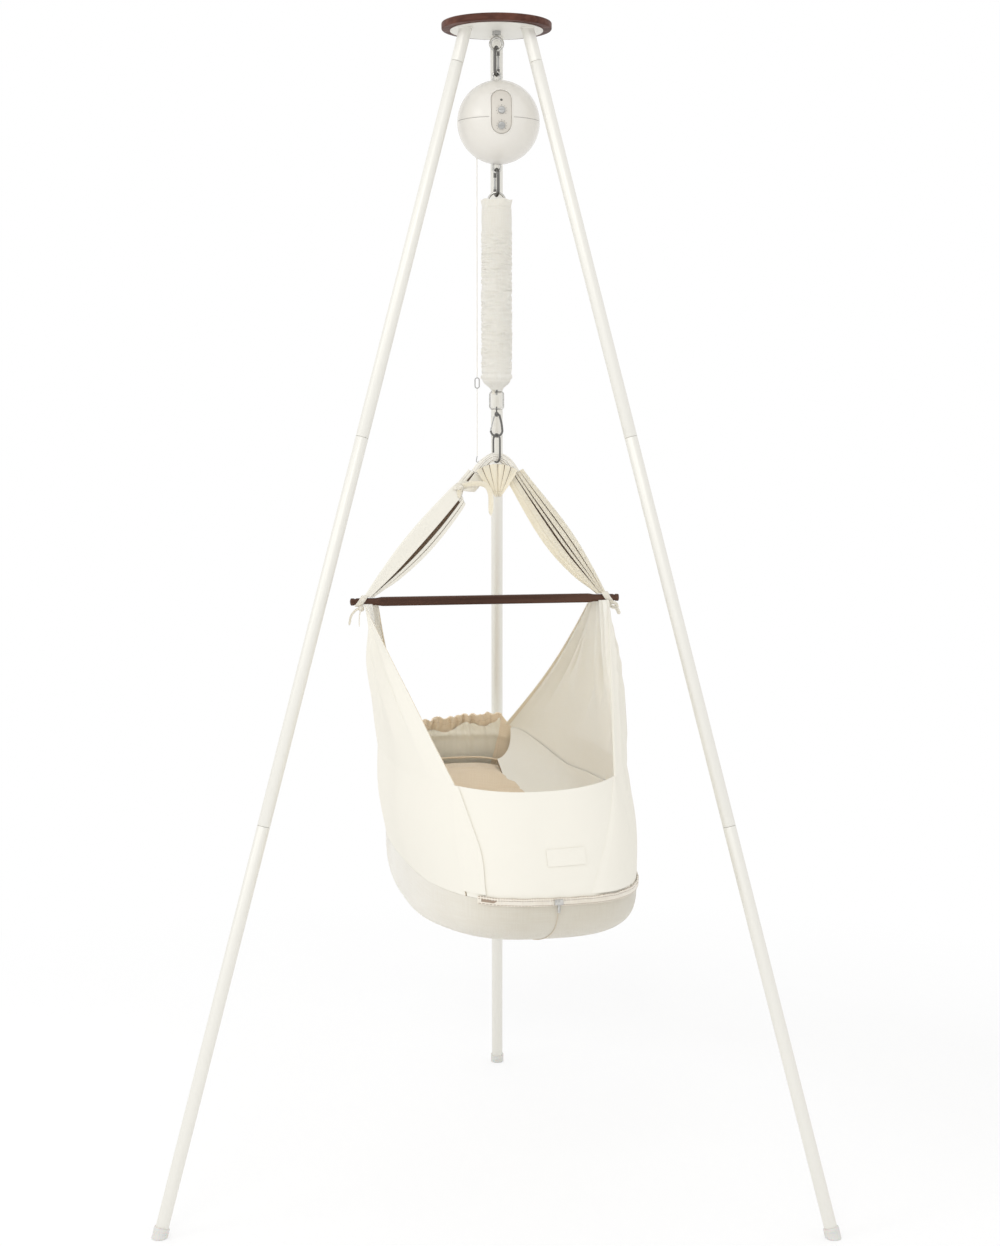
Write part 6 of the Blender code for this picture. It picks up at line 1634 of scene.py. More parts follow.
class MakeApex(HammockOperator):
    """Gathered cloth through the hanging ring and its drape"""

    bl_idname = "hammock.apex"
    bl_label = "Apex"

    def make(self):
        """Pleated bundle over the ring and fan of cloth under it."""
        bundle = self.bundle()
        drape = self.drape()
        obj = new_piece("apex_bundle", *joined([(bundle, False, True, True)]), [plain_cotton(), fold_shade()], 70.0)
        # Cells in the valleys between the bundle's pleats get painted shade.
        shade_cells(obj, *bundle.shape[:2], 1,
                    lambda row, col: row > 2 and bundle_pleat(row / 72 * 2 - 1, col) > 0.94)
        box_uv(obj)
        settle(obj, "hammock_top", "natural_cotton", "apex_gather")
        fan = cloth_piece("apex_drape", drape, DRAPE_FLAT, [strap_cotton(), strap_cotton(), fold_shade()],
                          (True, True, False, True), 0.0011, 0.004)
        # Columns where the drape's pleats meet get painted shade.
        shade_cells(fan, *drape.shape[:2], 2, lambda row, col: any(abs(col - start) < 2 for start in DRAPE_SLITS))
        settle(fan, "hammock_top", "natural_cotton")

    def bundle(self):
        """Bundle of pleats, pinched in the ring."""
        rings = []
        rows = 72
        for i in range(rows + 1):
            t = -1.0 + 2.0 * i / rows
            swell = 1.0 + 0.45 * t * t
            tilt = math.atan(apex_slope(t))
            drop = APEX_DROP * abs(t) ** 2.2
            ring = []
            for k in range(96):
                angle = 2 * math.pi * k / 96
                pleat = 1.0 - (0.10 + 0.14 * abs(t)) * (0.5 + 0.5 * bundle_pleat(t, k))
                pleat += 0.05 * noise.noise(Vector((math.cos(angle) * 2, math.sin(angle) * 2, t * 3)))
                depth = math.cos(angle) * 0.0068 * swell * pleat
                high = math.sin(angle) * 0.0070 * swell * pleat
                ring.append(hang(APEX_HALF_LENGTH * t - high * math.sin(tilt), depth,
                                 APEX_CENTRE - drop + high * math.cos(tilt)))
            rings.append(ring)
        return np.array(rings)

    def drape(self):
        """Fan of pleats that narrows to a point under the ring."""
        rows = 60
        cols = 150
        grid = []
        for i in range(rows + 1):
            v = i / rows
            row = []
            for j in range(cols + 1):
                u = -1.0 + 2.0 * j / cols
                wide = 0.0330 * (1.0 - 0.88 * v ** 1.2)
                fold = 0.0
                for start, width, depth in ((20, 5, 1.6), (47, 6, 1.8), (79, 6, 3.2), (104, 5, 1.9), (127, 5, 1.6)):
                    fold += 0.001 * depth * math.exp(-((j - start) / width) ** 2)
                fold += 0.0009 * noise.noise(Vector((u * 5.0, v * 0.6, 4.0)))
                fold *= 1.0 - 0.5 * v
                out = -0.0068 * (0.72 + 0.55 * u * u) + fold - 0.0022
                high = 1.1602 - 0.010 * abs(u) ** 2.2 * (1 - v) - 0.052 * v
                row.append((u * wide + 0.005 * v, out, high))
            grid.append(row)
        return hang_grid(grid)


def ribbon_grid(points, width, up, thickness=0.0010, rounding=0.25):
    """Flat ribbon along a path, its end rounded."""
    path = smooth_path(points, 8)
    count = len(path)
    rings = tube_grid(path, (0.5 * thickness, 0.5 * width), up, 12)
    tail = int(count * (1.0 - rounding * 0.5))
    for i in range(tail, count):
        share = (i - tail) / max(1, count - 1 - tail)
        centre = rings[i].mean(axis=0)
        rings[i] = centre + (rings[i] - centre) * max(0.12, math.sqrt(max(0.0, 1.0 - share * share)))
    return (rings, False, True, True)


def face_count(part):
    """Number of faces that one part of a piece gets."""
    return len(joined([part])[1])


def knot_part(centre, radius, seed):
    """A knot as a lumpy ball of ribbon."""
    rings = []
    for i in range(13):
        phi = math.pi * i / 12
        ring = []
        for angle in around(24):
            way = Vector((math.sin(phi) * math.cos(angle), math.sin(phi) * math.sin(angle), math.cos(phi)))
            lumps = 0.16 * noise.noise(way * 2.3 + Vector((seed, 0, 0))) + 0.08 * math.sin(3 * angle + 4 * phi)
            ring.append(Vector(centre) + way * max(radius * (0.90 + lumps), 0.0004))
        rings.append(ring)
    for end in (0, -1):
        rings[end] = [point * 0.02 + sum(rings[end], Vector()) / 24 * 0.98 for point in rings[end]]
    return (np.array(rings), False, True, True)


class MakeTies(HammockOperator):
    """Ribbon ties at the bar's ends and at the apex"""

    bl_idname = "hammock.ties"
    bl_label = "Ribbon ties"

    def make(self):
        """Bands, knots and tails."""
        axis = (hang(1, 0, BAR_HEIGHT) - hang(0, 0, BAR_HEIGHT)).normalized()
        for name, side in (("left", -1.0), ("right", 1.0)):
            centre = hang(side * (GATHER_CENTRE + GATHER_HALF + 0.0025 + 2 * GAP), 0, BAR_HEIGHT)
            rings = []
            for radius, offset in ((0.0062, -0.0050), (0.0070, -0.0058), (0.0078, -0.0050), (0.0080, 0.0),
                                   (0.0078, 0.0050), (0.0070, 0.0058), (0.0062, 0.0050)):
                ring = []
                for angle in around(48):
                    lift = max(0.0, math.sin(angle))
                    out = Vector((0, 1, 0)) * math.cos(angle) + Z_AXIS * math.sin(angle)
                    slant = offset - side * 0.0055 * math.sin(angle)
                    ring.append(centre + axis * slant + out * (radius + 0.0026 * lift))
                rings.append(ring)
            band = np.array(rings)
            knot = centre + Vector((0, -0.35, -0.94)).normalized() * 0.0110
            parts = [(band, True, True, False), knot_part(knot, 0.0052, side)]
            if name == "left":
                tails = [[knot, knot + Vector((-0.008, -0.002, -0.002)), knot + Vector((-0.016, -0.004, -0.012)),
                          knot + Vector((-0.019, -0.003, -0.027))],
                         [knot, knot + Vector((-0.002, -0.004, -0.008)), knot + Vector((-0.003, -0.004, -0.018)),
                          knot + Vector((-0.003, -0.003, -0.029))]]
            else:
                tails = [[knot, knot + Vector((0.006, -0.003, 0.003)), knot + Vector((0.013, -0.003, 0.001)),
                          knot + Vector((0.014, -0.002, -0.005)), knot + Vector((0.004, -0.002, -0.004))],
                         [knot, knot + Vector((0.007, -0.002, -0.004)), knot + Vector((0.015, -0.001, -0.008)),
                          knot + Vector((0.019, 0.0, -0.017))]]
            parts += [ribbon_grid(tail, 0.0068, (0.25, -0.3, 0.4), 0.0010) for tail in tails]
            self.tie_piece(f"ribbon_tie_{name}", parts, f"bar_tie_{name}")
        self.make_apex_tie()

    def make_apex_tie(self):
        """Band round the left strap, its long tail and its short one."""
        centre, way, half = strap_line(-1.0, 0.10)
        low, _, _ = strap_line(-1.0, 0.13)
        high, _, _ = strap_line(-1.0, 0.07)
        centre = hang(*centre)
        along = (hang(*high) - hang(*low)).normalized()
        across = (hang(*(Vector(strap_line(-1.0, 0.10)[0]) + way)) - centre).normalized()
        deep = along.cross(across).normalized()
        rings = []
        for offset, grow in ((-0.0066, 0.0), (-0.0070, 0.0006), (-0.0058, 0.0012), (0.0, 0.0013), (0.0058, 0.0012),
                             (0.0070, 0.0006), (0.0066, 0.0)):
            ring = []
            for angle in around(64):
                a, b = oval(angle, half + 0.0050 + grow, 0.0080 + grow, 2.6)
                ring.append(centre + along * (offset + 0.0006 * math.sin(2 * angle)) + across * a + deep * b)
            rings.append(ring)
        front = deep if deep.y < 0 else -deep
        knot = centre + front * 0.0095 - across * 0.010
        long_tail = [knot, knot + Vector((0.018, -0.002, 0.005)), knot + Vector((0.038, -0.003, 0.003)),
                     knot + Vector((0.047, -0.002, -0.012)), knot + Vector((0.0475, -0.001, -0.046))]
        short_tail = [knot, knot + Vector((-0.003, 0.003, -0.008)), knot + Vector((-0.006, 0.006, -0.018))]
        parts = [(np.array(rings), True, True, False), knot_part(knot, 0.0048, 4.0),
                 ribbon_grid(long_tail, 0.0095, (0.3, -0.3, 0.6), 0.0010, 0.2),
                 ribbon_grid(short_tail, 0.0085, (0.6, -0.3, 0.2), 0.0010, 0.2)]
        self.tie_piece("ribbon_tie_apex", parts, "apex_tie", sum(face_count(part) for part in parts[:2]))

    def tie_piece(self, name, parts, node, tails=None):
        """One ribbon with its knot; the faces from tails on show the ribbon's beige back."""
        points, faces = joined(parts)
        obj = new_piece(name, points, faces, [ribbon_cotton(), strap_cotton()], 60.0)
        if tails:
            for polygon in obj.data.polygons[tails:]:
                polygon.material_index = 1
        box_uv(obj)
        settle(obj, "hammock_top", "natural_cotton", node)


# Basket

def wall_point(x_seam, y_seam, x_rim, y_rim, t):
    """Point of the wall between the seam (t 0) and the rim line (t 1), bowed outwards."""
    bow = 0.010 * math.sin(math.pi * t)
    x = blend(x_seam, x_rim, t)
    y = blend(y_seam, y_rim, t)
    length = max(math.hypot(x, y), 1e-6)
    return Vector((x * (1 + bow / length), y * (1 + bow / length), blend(SEAM_HEIGHT + GAP, RIM_HEIGHT, t)))


def side_share(u, start, end):
    """Angle along a side, with its steps spread more evenly along the length."""
    low = math.tan(start * 0.80)
    high = math.tan(end * 0.80)
    return math.atan(blend(low, high, u)) / 0.80


def side_line(u, side):
    """Seam and rim points of a side panel, u from the foot corner to the head corner."""
    ends = []
    for x_foot, x_head, outline in ((FOOT_SEAM_CORNER_X, HEAD_SEAM_CORNER_X, BASKET),
                                    (FOOT_CORNER_X, HEAD_CORNER_X, RIM)):
        start = math.atan2(-oval_y(x_foot, *outline), x_foot)
        end = math.atan2(oval_y(x_head, *outline), x_head)
        trim = SEAM_INSET if outline is BASKET else 0.0
        ends.append(oval(side_share(u, start, end), outline[0] - trim, outline[1] - trim, outline[2]))
    return side * ends[0][0], ends[0][1], side * ends[1][0], ends[1][1]


# Sharp creases under the bar: place along the panel and how far down they run
CREASES = {-1.0: ((0.12, 0.55), (0.30, 0.40), (0.46, 0.45), (0.64, 0.40), (0.82, 0.45)),
           1.0: ((0.10, 0.62), (0.19, 0.44), (0.28, 0.58), (0.38, 0.40), (0.49, 0.52), (0.62, 0.38), (0.78, 0.42))}

# Long folds under the bar: place along the panel, width, depth as a share, and how far down they run
LEFT_FOLDS = ((0.10, 0.040, 0.8, 0.80), (0.24, 0.045, 0.9, 0.62), (0.38, 0.045, -0.8, 0.55), (0.52, 0.045, 0.9, 0.52),
              (0.66, 0.042, -0.8, 0.60), (0.80, 0.040, 0.9, 0.66), (0.92, 0.030, -0.7, 0.70))
RIGHT_FOLDS = ((0.06, 0.024, 1.6, 0.90), (0.14, 0.024, -1.8, 0.84), (0.23, 0.026, 1.7, 0.90),
               (0.32, 0.026, -1.6, 0.74), (0.41, 0.028, 1.1, 0.80), (0.51, 0.028, -1.1, 0.60),
               (0.61, 0.030, 1.0, 0.70), (0.72, 0.030, -0.9, 0.55), (0.83, 0.030, 0.9, 0.62),
               (0.93, 0.024, -0.7, 0.70))


def side_point(u, v, side):
    """Point of a side panel, v 0 at the seam, 0.4 at the rim line and 1 at the bar."""
    x_seam, y_seam, x_rim, y_rim = side_line(u, side)
    top_x = side * (GATHER_CENTRE + 0.009 - 0.026 * u + 0.0016 * math.sin(u * 11 * math.pi))
    top = Vector((top_x, blend(-0.0115, 0.0115, u), BAR_HEIGHT - BAR_PEG + 0.0022 - 0.0010 * u))
    rim = wall_point(x_seam, y_seam, x_rim, y_rim, 1.0)
    t = max(0.0, (v - 0.4) / 0.6)
    if v <= 0.4:
        point = wall_point(x_seam, y_seam, x_rim, y_rim, v / 0.4)
    else:
        point = rim + (top - rim) * t
        point.x += side * 0.006 * math.sin(math.pi * t) * math.sin(math.pi * u)
    folds = LEFT_FOLDS if side < 0 else RIGHT_FOLDS
    height = (v - 0.1) / 0.9
    fold = 0.0
    for place, width, depth, reach in folds:
        middle = place + 0.012 * math.sin(6.0 * height + 20.0 * place)
        away = abs(u - middle) / width
        shape = math.exp(-1.3 * away) if depth * side > 0 else math.exp(-away * away)
        fold += depth * shape * ease((height - (1.0 - reach)) / (0.55 * reach))
    for place, reach in CREASES[side]:
        middle = place + 0.010 * math.sin(5.0 * height + 30.0 * place)
        run = ease((height - (1.0 - reach)) / (0.6 * reach))
        fold += 1.5 * side * run * math.exp(-((u - middle) / 0.0085) ** 2)
    narrow = blend(1.0, 0.30, ease((t - 0.60) / 0.40))
    depth = cloth().fold * fold * narrow * math.sin(math.pi * u) ** 0.4
    depth += 0.0011 * crumple(u * 0.7, v * 0.5, 2.0 * side, (0.16, 0.30), 3) * (1 - ease((t - 0.6) / 0.4))
    crescent = -0.011 * u ** 4 * math.sin(math.pi * (1.0 - t))
    return point + Vector((side * (depth - crescent), 0.0, 0.0))


class MakeSides(HammockOperator):
    """Side panels, gathered to the bar"""

    bl_idname = "hammock.sides"
    bl_label = "Side panels"

    def make(self):
        """Two panels whose long folds fan out from the pegs."""
        rows = 120
        cols = 184
        margin = 0.002
        for name, side in (("left", -1.0), ("right", 1.0)):
            grid = []
            for i in range(rows + 1):
                v = 1.0 - (1.0 - i / rows) ** 1.15
                grid.append([side_point(margin + (1 - 2 * margin) * j / cols, v, side) for j in range(cols + 1)])
            hung = hang_grid(grid)
            materials = [natural_cotton(), lining_cotton()] if side > 0 else [lining_cotton(), natural_cotton()]
            obj = cloth_piece(f"side_cloth_{name}", hung, SIDE_FLAT, materials, (True, True, False, False),
                              hem_width=0.020)
            settle(obj, "basket", "natural_cotton", f"side_panel_{name}")


def end_point(u, t, foot):
    """Point of the foot or head panel, u from left to right, t from the seam to the edge."""
    seam_corner = FOOT_SEAM_CORNER_X if foot else HEAD_SEAM_CORNER_X
    rim_corner = FOOT_CORNER_X if foot else HEAD_CORNER_X
    sign = -1.0 if foot else 1.0
    x_seam = (seam_corner - 0.0018) * u
    y_seam = sign * oval_y(x_seam, BASKET[0] - SEAM_INSET, BASKET[1] - SEAM_INSET, BASKET[2])
    x_rim = (rim_corner - 0.0018) * u
    y_rim = sign * oval_y(x_rim, *RIM)
    point = wall_point(x_seam, y_seam, x_rim, y_rim, t)
    if foot:
        point.z += (0.0030 * (1.0 + u) - FOOT_EDGE_SAG * (1.0 - u * u)) * t * t
        point.y -= 0.0016 * crumple(u * 0.13, t * 0.16, 5.0, (0.10, 0.07), 3) * math.sin(math.pi * t) ** 0.5
    else:
        point.z += HEAD_EDGE_LIFT * t * t
        wave = 1.7 * noise.noise(Vector((u * 5.2, 1.7, 0.4))) + 1.3 * noise.noise(Vector((u * 11.0, 4.1, 0.9)))
        frill = ease((t - 0.80) / 0.20)
        point.y += (0.0030 * ease((t - 0.4) / 0.6) + 0.0036 * frill) * wave * (1.0 - abs(u) ** 6)
        point.z += frill * (0.0060 * noise.noise(Vector((u * 8.0, 7.7, 2.0))) + 0.0050 * u)
        point.y -= 0.0030 * math.exp(-((t - 0.82) / 0.03) ** 2)
    return point


class MakeEnds(HammockOperator):
    """Foot panel and ruffled head panel"""

    bl_idname = "hammock.ends"
    bl_label = "Foot and head panel"

    def make(self):
        """Two panels, the inner lining at the head, and the corner seams."""
        for name, foot in (("foot", True), ("head", False)):
            rows = 56
            cols = 110 if foot else 180
            grid = [[end_point(-1.0 + 2.0 * j / cols, i / rows, foot) for j in range(cols + 1)]
                    for i in range(rows + 1)]
            hung = hang_grid(grid)
            inner = lining_cotton() if foot else ruffle_cotton()
            materials = [natural_cotton(), inner] if foot else [inner, natural_cotton()]
            flat = FOOT_FLAT if foot else HEAD_FLAT
            obj = cloth_piece(f"{name}_cloth", hung, flat, materials, (False, False, False, True))
            settle(obj, "basket", "natural_cotton", f"{name}_panel")
        self.make_lining()
        self.make_front_folds()
        self.make_head_folds()
        self.make_label()
        self.make_inner_cloth()

    def make_lining(self):
        """Paler inner panel at the head with a curved upper edge."""
        rows = 50
        cols = 96
        grid = []
        for i in range(rows + 1):
            t = i / rows
            row = []
            for j in range(cols + 1):
                u = -0.97 + 1.90 * j / cols
                top = 0.89 + 0.028 * math.sin(2.3 * math.pi * u + 0.4) + 0.05 * u
                point = end_point(u, t * top, False)
                inward = 0.0056 + 0.0060 * math.sin(math.pi * t) ** 0.7 * (1.0 - u * u)
                point.y -= inward
                row.append(point)
            grid.append(row)
        hung = hang_grid(grid)
        obj = cloth_piece("head_lining", hung, HEAD_LINING_FLAT, [pale_lining()], (False, False, False, True),
                          0.0014, 0.006)
        settle(obj, "basket", "natural_cotton")

    def basket_sheet(self, name, grid, flat, hem, thickness, hem_width, held, material=None, rests_on="foot_cloth"):
        """One small cloth of the basket."""
        hung = hang_grid(grid)
        obj = cloth_piece(name, hung, flat, [material or natural_cotton()], hem, thickness, hem_width)
        settle(obj, "basket", "natural_cotton")

    def make_front_folds(self):
        """Side panels carried round the front corners and stitched down over the foot panel."""
        rows = 56
        cols = 48
        for name, side, reach in (("left", -1.0, 0.31), ("right", 1.0, 0.60)):
            grid = []
            for i in range(rows + 1):
                t = blend(0.045, 1.0, i / rows)
                row = []
                for j in range(cols + 1):
                    share = j / cols
                    lift = blend(-0.0012, 0.0022, ease(share / 0.28))
                    if share < 0.3:
                        point = side_point(0.05 * (1.0 - share / 0.3), 0.4 * t, side)
                    else:
                        part = (share - 0.3) / 0.7
                        low = 1.0 - t
                        bend = 1.0 - 0.42 * ease((low - 0.45) / 0.55) if side < 0 else 1.0
                        inward = (0.015 + reach * bend * low ** 0.9) * part
                        point = end_point(side * (1.0 - inward), t, True)
                        ridge = math.exp(-((part - 0.86) / 0.10) ** 2) if side < 0 else math.sin(math.pi * part) ** 2
                        lift += (0.0016 if side < 0 else 0.0026) * ridge * (1.0 - t) ** 0.3
                        if side > 0:
                            lift -= 0.0016 * ease((part - 0.75) / 0.25)
                    out = Vector((point.x, point.y, 0.0)).normalized()
                    row.append(point + out * lift)
                grid.append(row)
            self.basket_sheet(f"corner_cloth_{name}", grid, CORNER_FLATS[name], (False, side < 0, False, False),
                              0.0014, 0.006, "folded")

    def make_head_folds(self):
        """Loose triangular folds in the head corners."""
        rows = 30
        cols = 30
        for name, side in (("left", -1.0), ("right", 1.0)):
            grid = []
            for i in range(rows + 1):
                t = blend(0.30, 0.985, i / rows)
                start = side_point(0.950, 0.4 * t, side)
                start.x -= side * 0.0035
                end = end_point(side * (1.0 - 0.80 * (1.0 - t) ** 0.85), t, False)
                end.y -= 0.0100 + 0.0120 * (1.0 - t)
                grid.append([start.lerp(end, j / cols) - Y_AXIS * (0.007 * math.sin(math.pi * j / cols) * (1.0 - t))
                             for j in range(cols + 1)])
            self.basket_sheet(f"head_fold_{name}", grid, HEAD_FOLD_FLAT, (False, True, False, False), 0.0013,
                              0.010, "folded", ruffle_cotton(), "head_cloth")

    def make_inner_cloth(self):
        """Inner cloth that runs from the walls over the mattress's edges, with a dark cord along its edge as painted
        shadow of the gap there.
        """
        for name, side in (("left", -1.0), ("right", 1.0)):
            grid = []
            edge = []
            for i in range(91):
                u = blend(0.05, 0.955, i / 90)
                wall = side_point(u, blend(0.26, 0.392, ease((u - 0.70) / 0.24)), side)
                wall.x -= side * 0.0034
                inner = blend(0.092, 0.058, ease((wall.y + 0.05) / 0.28))
                y = wall.y * blend(0.955, 0.985, ease((0.24 - abs(wall.y)) / 0.2))
                top = mattress_top(y)
                near = Vector((side * min(inner, abs(wall.x) - 0.02), y, top + 0.0045))
                bend = Vector((wall.x * 0.985, blend(wall.y, y, 0.5), top + 0.010))
                row = []
                for j in range(41):
                    q = j / 40
                    point = wall * (1 - q) ** 2 + bend * (2 * q * (1 - q)) + near * q ** 2
                    point.z += 0.0016 * crumple(y, q * 0.1, 11.0 + side, (0.06, 0.04), 2) * math.sin(math.pi * q)
                    row.append(point)
                grid.append(row)
                edge.append(hang(*(near + Vector((0.0, 0.0, -0.0012)))))
            self.basket_sheet(f"inner_cloth_{name}", grid, INNER_FLAT, (False, False, False, False), 0.0013,
                              0.008, "laid", lining_cotton(), "mattress_cushion")
            # The cord's dark colour is painted shadow of the gap between the inner cloth and the mattress.
            solid_piece(f"inner_piping_{name}", [wire_part(edge, 0.0015, Z_AXIS, 10)], shadow_cord(), "basket", [],
                        60.0)

    def make_label(self):
        """Small blank patch stitched to the foot panel."""
        grid = []
        for i in range(15):
            row = []
            for j in range(29):
                u = blend(-0.085, 0.380, j / 28)
                point = end_point(u, blend(0.315, 0.475, i / 14) + 0.02 * u, True)
                row.append(point - Y_AXIS * 0.0019)
            grid.append(row)
        self.basket_sheet("blank_patch", grid, PATCH_FLAT, (True, True, True, True), 0.0006, 0.0032, "laid")


def pocket_exponent(angle):
    """Roundness of the underside: boxy at the sides, round at the ends."""
    x, _ = oval(angle, 1.0, 1.0, BASKET[2])
    return blend(3.0, 5.5, abs(x) ** BASKET[2])


def pocket_point(angle, phase, inset):
    """Point of the underside, phase 0 at the seam and 1 at the lowest point."""
    exponent = pocket_exponent(angle)
    turn = 0.5 * math.pi * phase
    reach = max(0.0, math.cos(turn)) ** (2.0 / exponent)
    depth = math.sin(turn) ** (2.0 / exponent)
    x, y = oval(angle, BASKET[0] - inset, BASKET[1] - inset, BASKET[2])
    return Vector((x * reach, y * reach, SEAM_HEIGHT - (POCKET_DEPTH - inset) * depth))


class MakePocket(HammockOperator):
    """Underside of the basket that holds the mattress"""

    bl_idname = "hammock.pocket"
    bl_label = "Mattress pocket"

    def make(self):
        """Cloth bowl with soft creases, and the thin cord down from the zip."""
        cols = 200
        phases = [0.0, 0.03, 0.07] + [0.07 + 0.93 * (k / 44) for k in range(1, 44)] + [0.998]
        outer = []
        inner = []
        for inset, rings in ((0.0, outer), (0.0018, inner)):
            for phase in phases:
                ring = []
                for angle in around(cols):
                    point = pocket_point(angle, phase, inset)
                    away = Vector((math.cos(angle), math.sin(angle), 0.0))
                    crease = 0.0013 * abs(crumple(angle * 0.3, phase * 0.2, 8.0, (0.05, 0.10), 3))
                    point -= away * ((crease + 0.0006) * math.sin(math.pi * phase))
                    ring.append(hang(*point))
                rings.append(ring)
        shell = np.array(outer[::-1] + inner)
        obj = solid_piece("pocket_cloth", [(shell, False, True, True)], pocket_cotton(), "basket",
                          ["mattress_pocket"], 60.0)
        path = []
        for k in range(41):
            share = k / 40
            angle = math.radians(-90.0 + 2.0 * math.sin(math.pi * share) - 9.0 * share)
            angle = math.atan2(math.sin(angle) * 2.2, math.cos(angle))
            point = pocket_point(angle, 0.04 + 0.62 * share, -0.0003)
            path.append(hang(*point))
        solid_piece("pocket_seam", [wire_part(path, 0.0007, X_AXIS, 8)], zip_tape(), "basket", [], 60.0)


def mattress_rise(y):
    """Lift of the mattress along its length."""
    rise = MATTRESS_HEAD_RISE if y > 0 else MATTRESS_FOOT_RISE
    return rise * (abs(y) / MATTRESS[1]) ** 2


def mattress_top(y):
    """Height of the mattress's top along its length."""
    return MATTRESS_BASE + 0.97 * MATTRESS_THICKNESS + mattress_rise(y) + pillow_rise(y)


def pillow_rise(y):
    """Further lift of the mattress top towards the head."""
    return 0.036 * ease((y - 0.08) / 0.20)


class MakeMattress(HammockOperator):
    """Stuffed mattress with piped edges"""

    bl_idname = "hammock.mattress"
    bl_label = "Mattress"

    def make(self):
        """Swollen by cloth simulation from a slightly smaller body, then piped and quilted."""
        rings = [self.ring(96, share, level)
                 for share, level in ((0.02, -0.97), (0.3, -0.97), (0.6, -0.96), (0.84, -0.86), (0.94, -0.55),
                                      (0.945, 0.0), (0.94, 0.50), (0.86, 0.80), (0.6, 0.90), (0.3, 0.93),
                                      (0.02, 0.94))]
        points, faces = joined([(np.array(rings), False, True, True)])
        obj = new_piece("mattress_cushion", points, faces, [mattress_cotton()], 60.0)
        spots = points.reshape(-1, 3) + AXIS_SHIFT
        low, high = spots.min(axis=0), spots.max(axis=0)
        swell(obj, 0.005, 4.0, 0.006, (low - (0.002, 0.002, 0.0), high + (0.002, 0.002, 0.0015)))
        quilt(obj)
        box_uv(obj)
        settle(obj, "basket", "beige_cotton", "mattress")
        piping = [wire_part(self.ring(160, 0.965, level), 0.0021, Z_AXIS, 10, True) for level in (0.55, -0.55)]
        solid_piece("mattress_piping", piping, mattress_cotton(), "basket", [], 60.0)

    def ring(self, count, share, level):
        """Points round the mattress at a share of its outline, level -1 at its underside and 1 at its top."""
        points = []
        for angle in around(count):
            x, y = oval(angle, MATTRESS[0] * share, MATTRESS[1] * share, MATTRESS[2])
            height = MATTRESS_BASE + 0.5 * MATTRESS_THICKNESS * (1.0 + level)
            lift = pillow_rise(y) * ease(0.5 + 0.6 * level)
            points.append(hang(x, y, height + mattress_rise(y) + lift))
        return points


def swell(obj, voxel, pressure, cap, size):
    """Swell a closed body like stuffed cloth, no point further than the cap, then fit it to a size (low, high)."""
    remesh = obj.modifiers.new("even mesh", "REMESH")
    remesh.mode = "VOXEL"
    remesh.voxel_size = voxel
    apply_modifiers(obj)
    before = np.empty(len(obj.data.vertices) * 3)
    obj.data.vertices.foreach_get("co", before)
    sim = obj.modifiers.new("stuffing", "CLOTH")
    settings = sim.settings
    settings.quality = 5
    settings.use_pressure = True
    settings.uniform_pressure_force = pressure
    settings.tension_stiffness = 20
    settings.compression_stiffness = 20
    settings.effector_weights.gravity = 0.0
    sim.collision_settings.use_collision = False
    sim.point_cache.frame_start = 1
    sim.point_cache.frame_end = 20
    scene = bpy.context.scene
    for number in range(1, 21):
        scene.frame_set(number)
    apply_modifiers(obj)
    scene.frame_set(1)
    after = np.empty(len(obj.data.vertices) * 3)
    obj.data.vertices.foreach_get("co", after)
    move = (after - before).reshape(-1, 3)
    length = np.linalg.norm(move, axis=1, keepdims=True)
    move *= cap * np.tanh(length / cap) / np.maximum(length, 1e-9)
    swollen = before.reshape(-1, 3) + move
    middle = 0.5 * (swollen.max(axis=0) + swollen.min(axis=0))
    target = 0.5 * (size[1] + size[0])
    swollen = target + (swollen - middle) * (size[1] - size[0]) / (swollen.max(axis=0) - swollen.min(axis=0))
    obj.data.vertices.foreach_set("co", swollen.ravel())
    finer = obj.modifiers.new("finer", "SUBSURF")
    finer.levels = 1
    apply_modifiers(obj)
    obj.data.shade_smooth()


def quilt(obj):
    """Soft rows across the cushion's top, pressed in by its stitching."""
    cosine = math.cos(-YAW)
    sine = math.sin(-YAW)
    for vertex in obj.data.vertices:
        x = vertex.co.x - BASKET_SHIFT
        y = vertex.co.y - AXIS_SHIFT[1]
        local_y = x * sine + y * cosine
        level = vertex.co.z - MATTRESS_BASE - mattress_rise(local_y)
        if level > 0.6 * MATTRESS_THICKNESS:
            row = abs(math.sin(math.pi * local_y / 0.055))
            vertex.co.z -= 0.0016 * (1.0 - row) ** 4


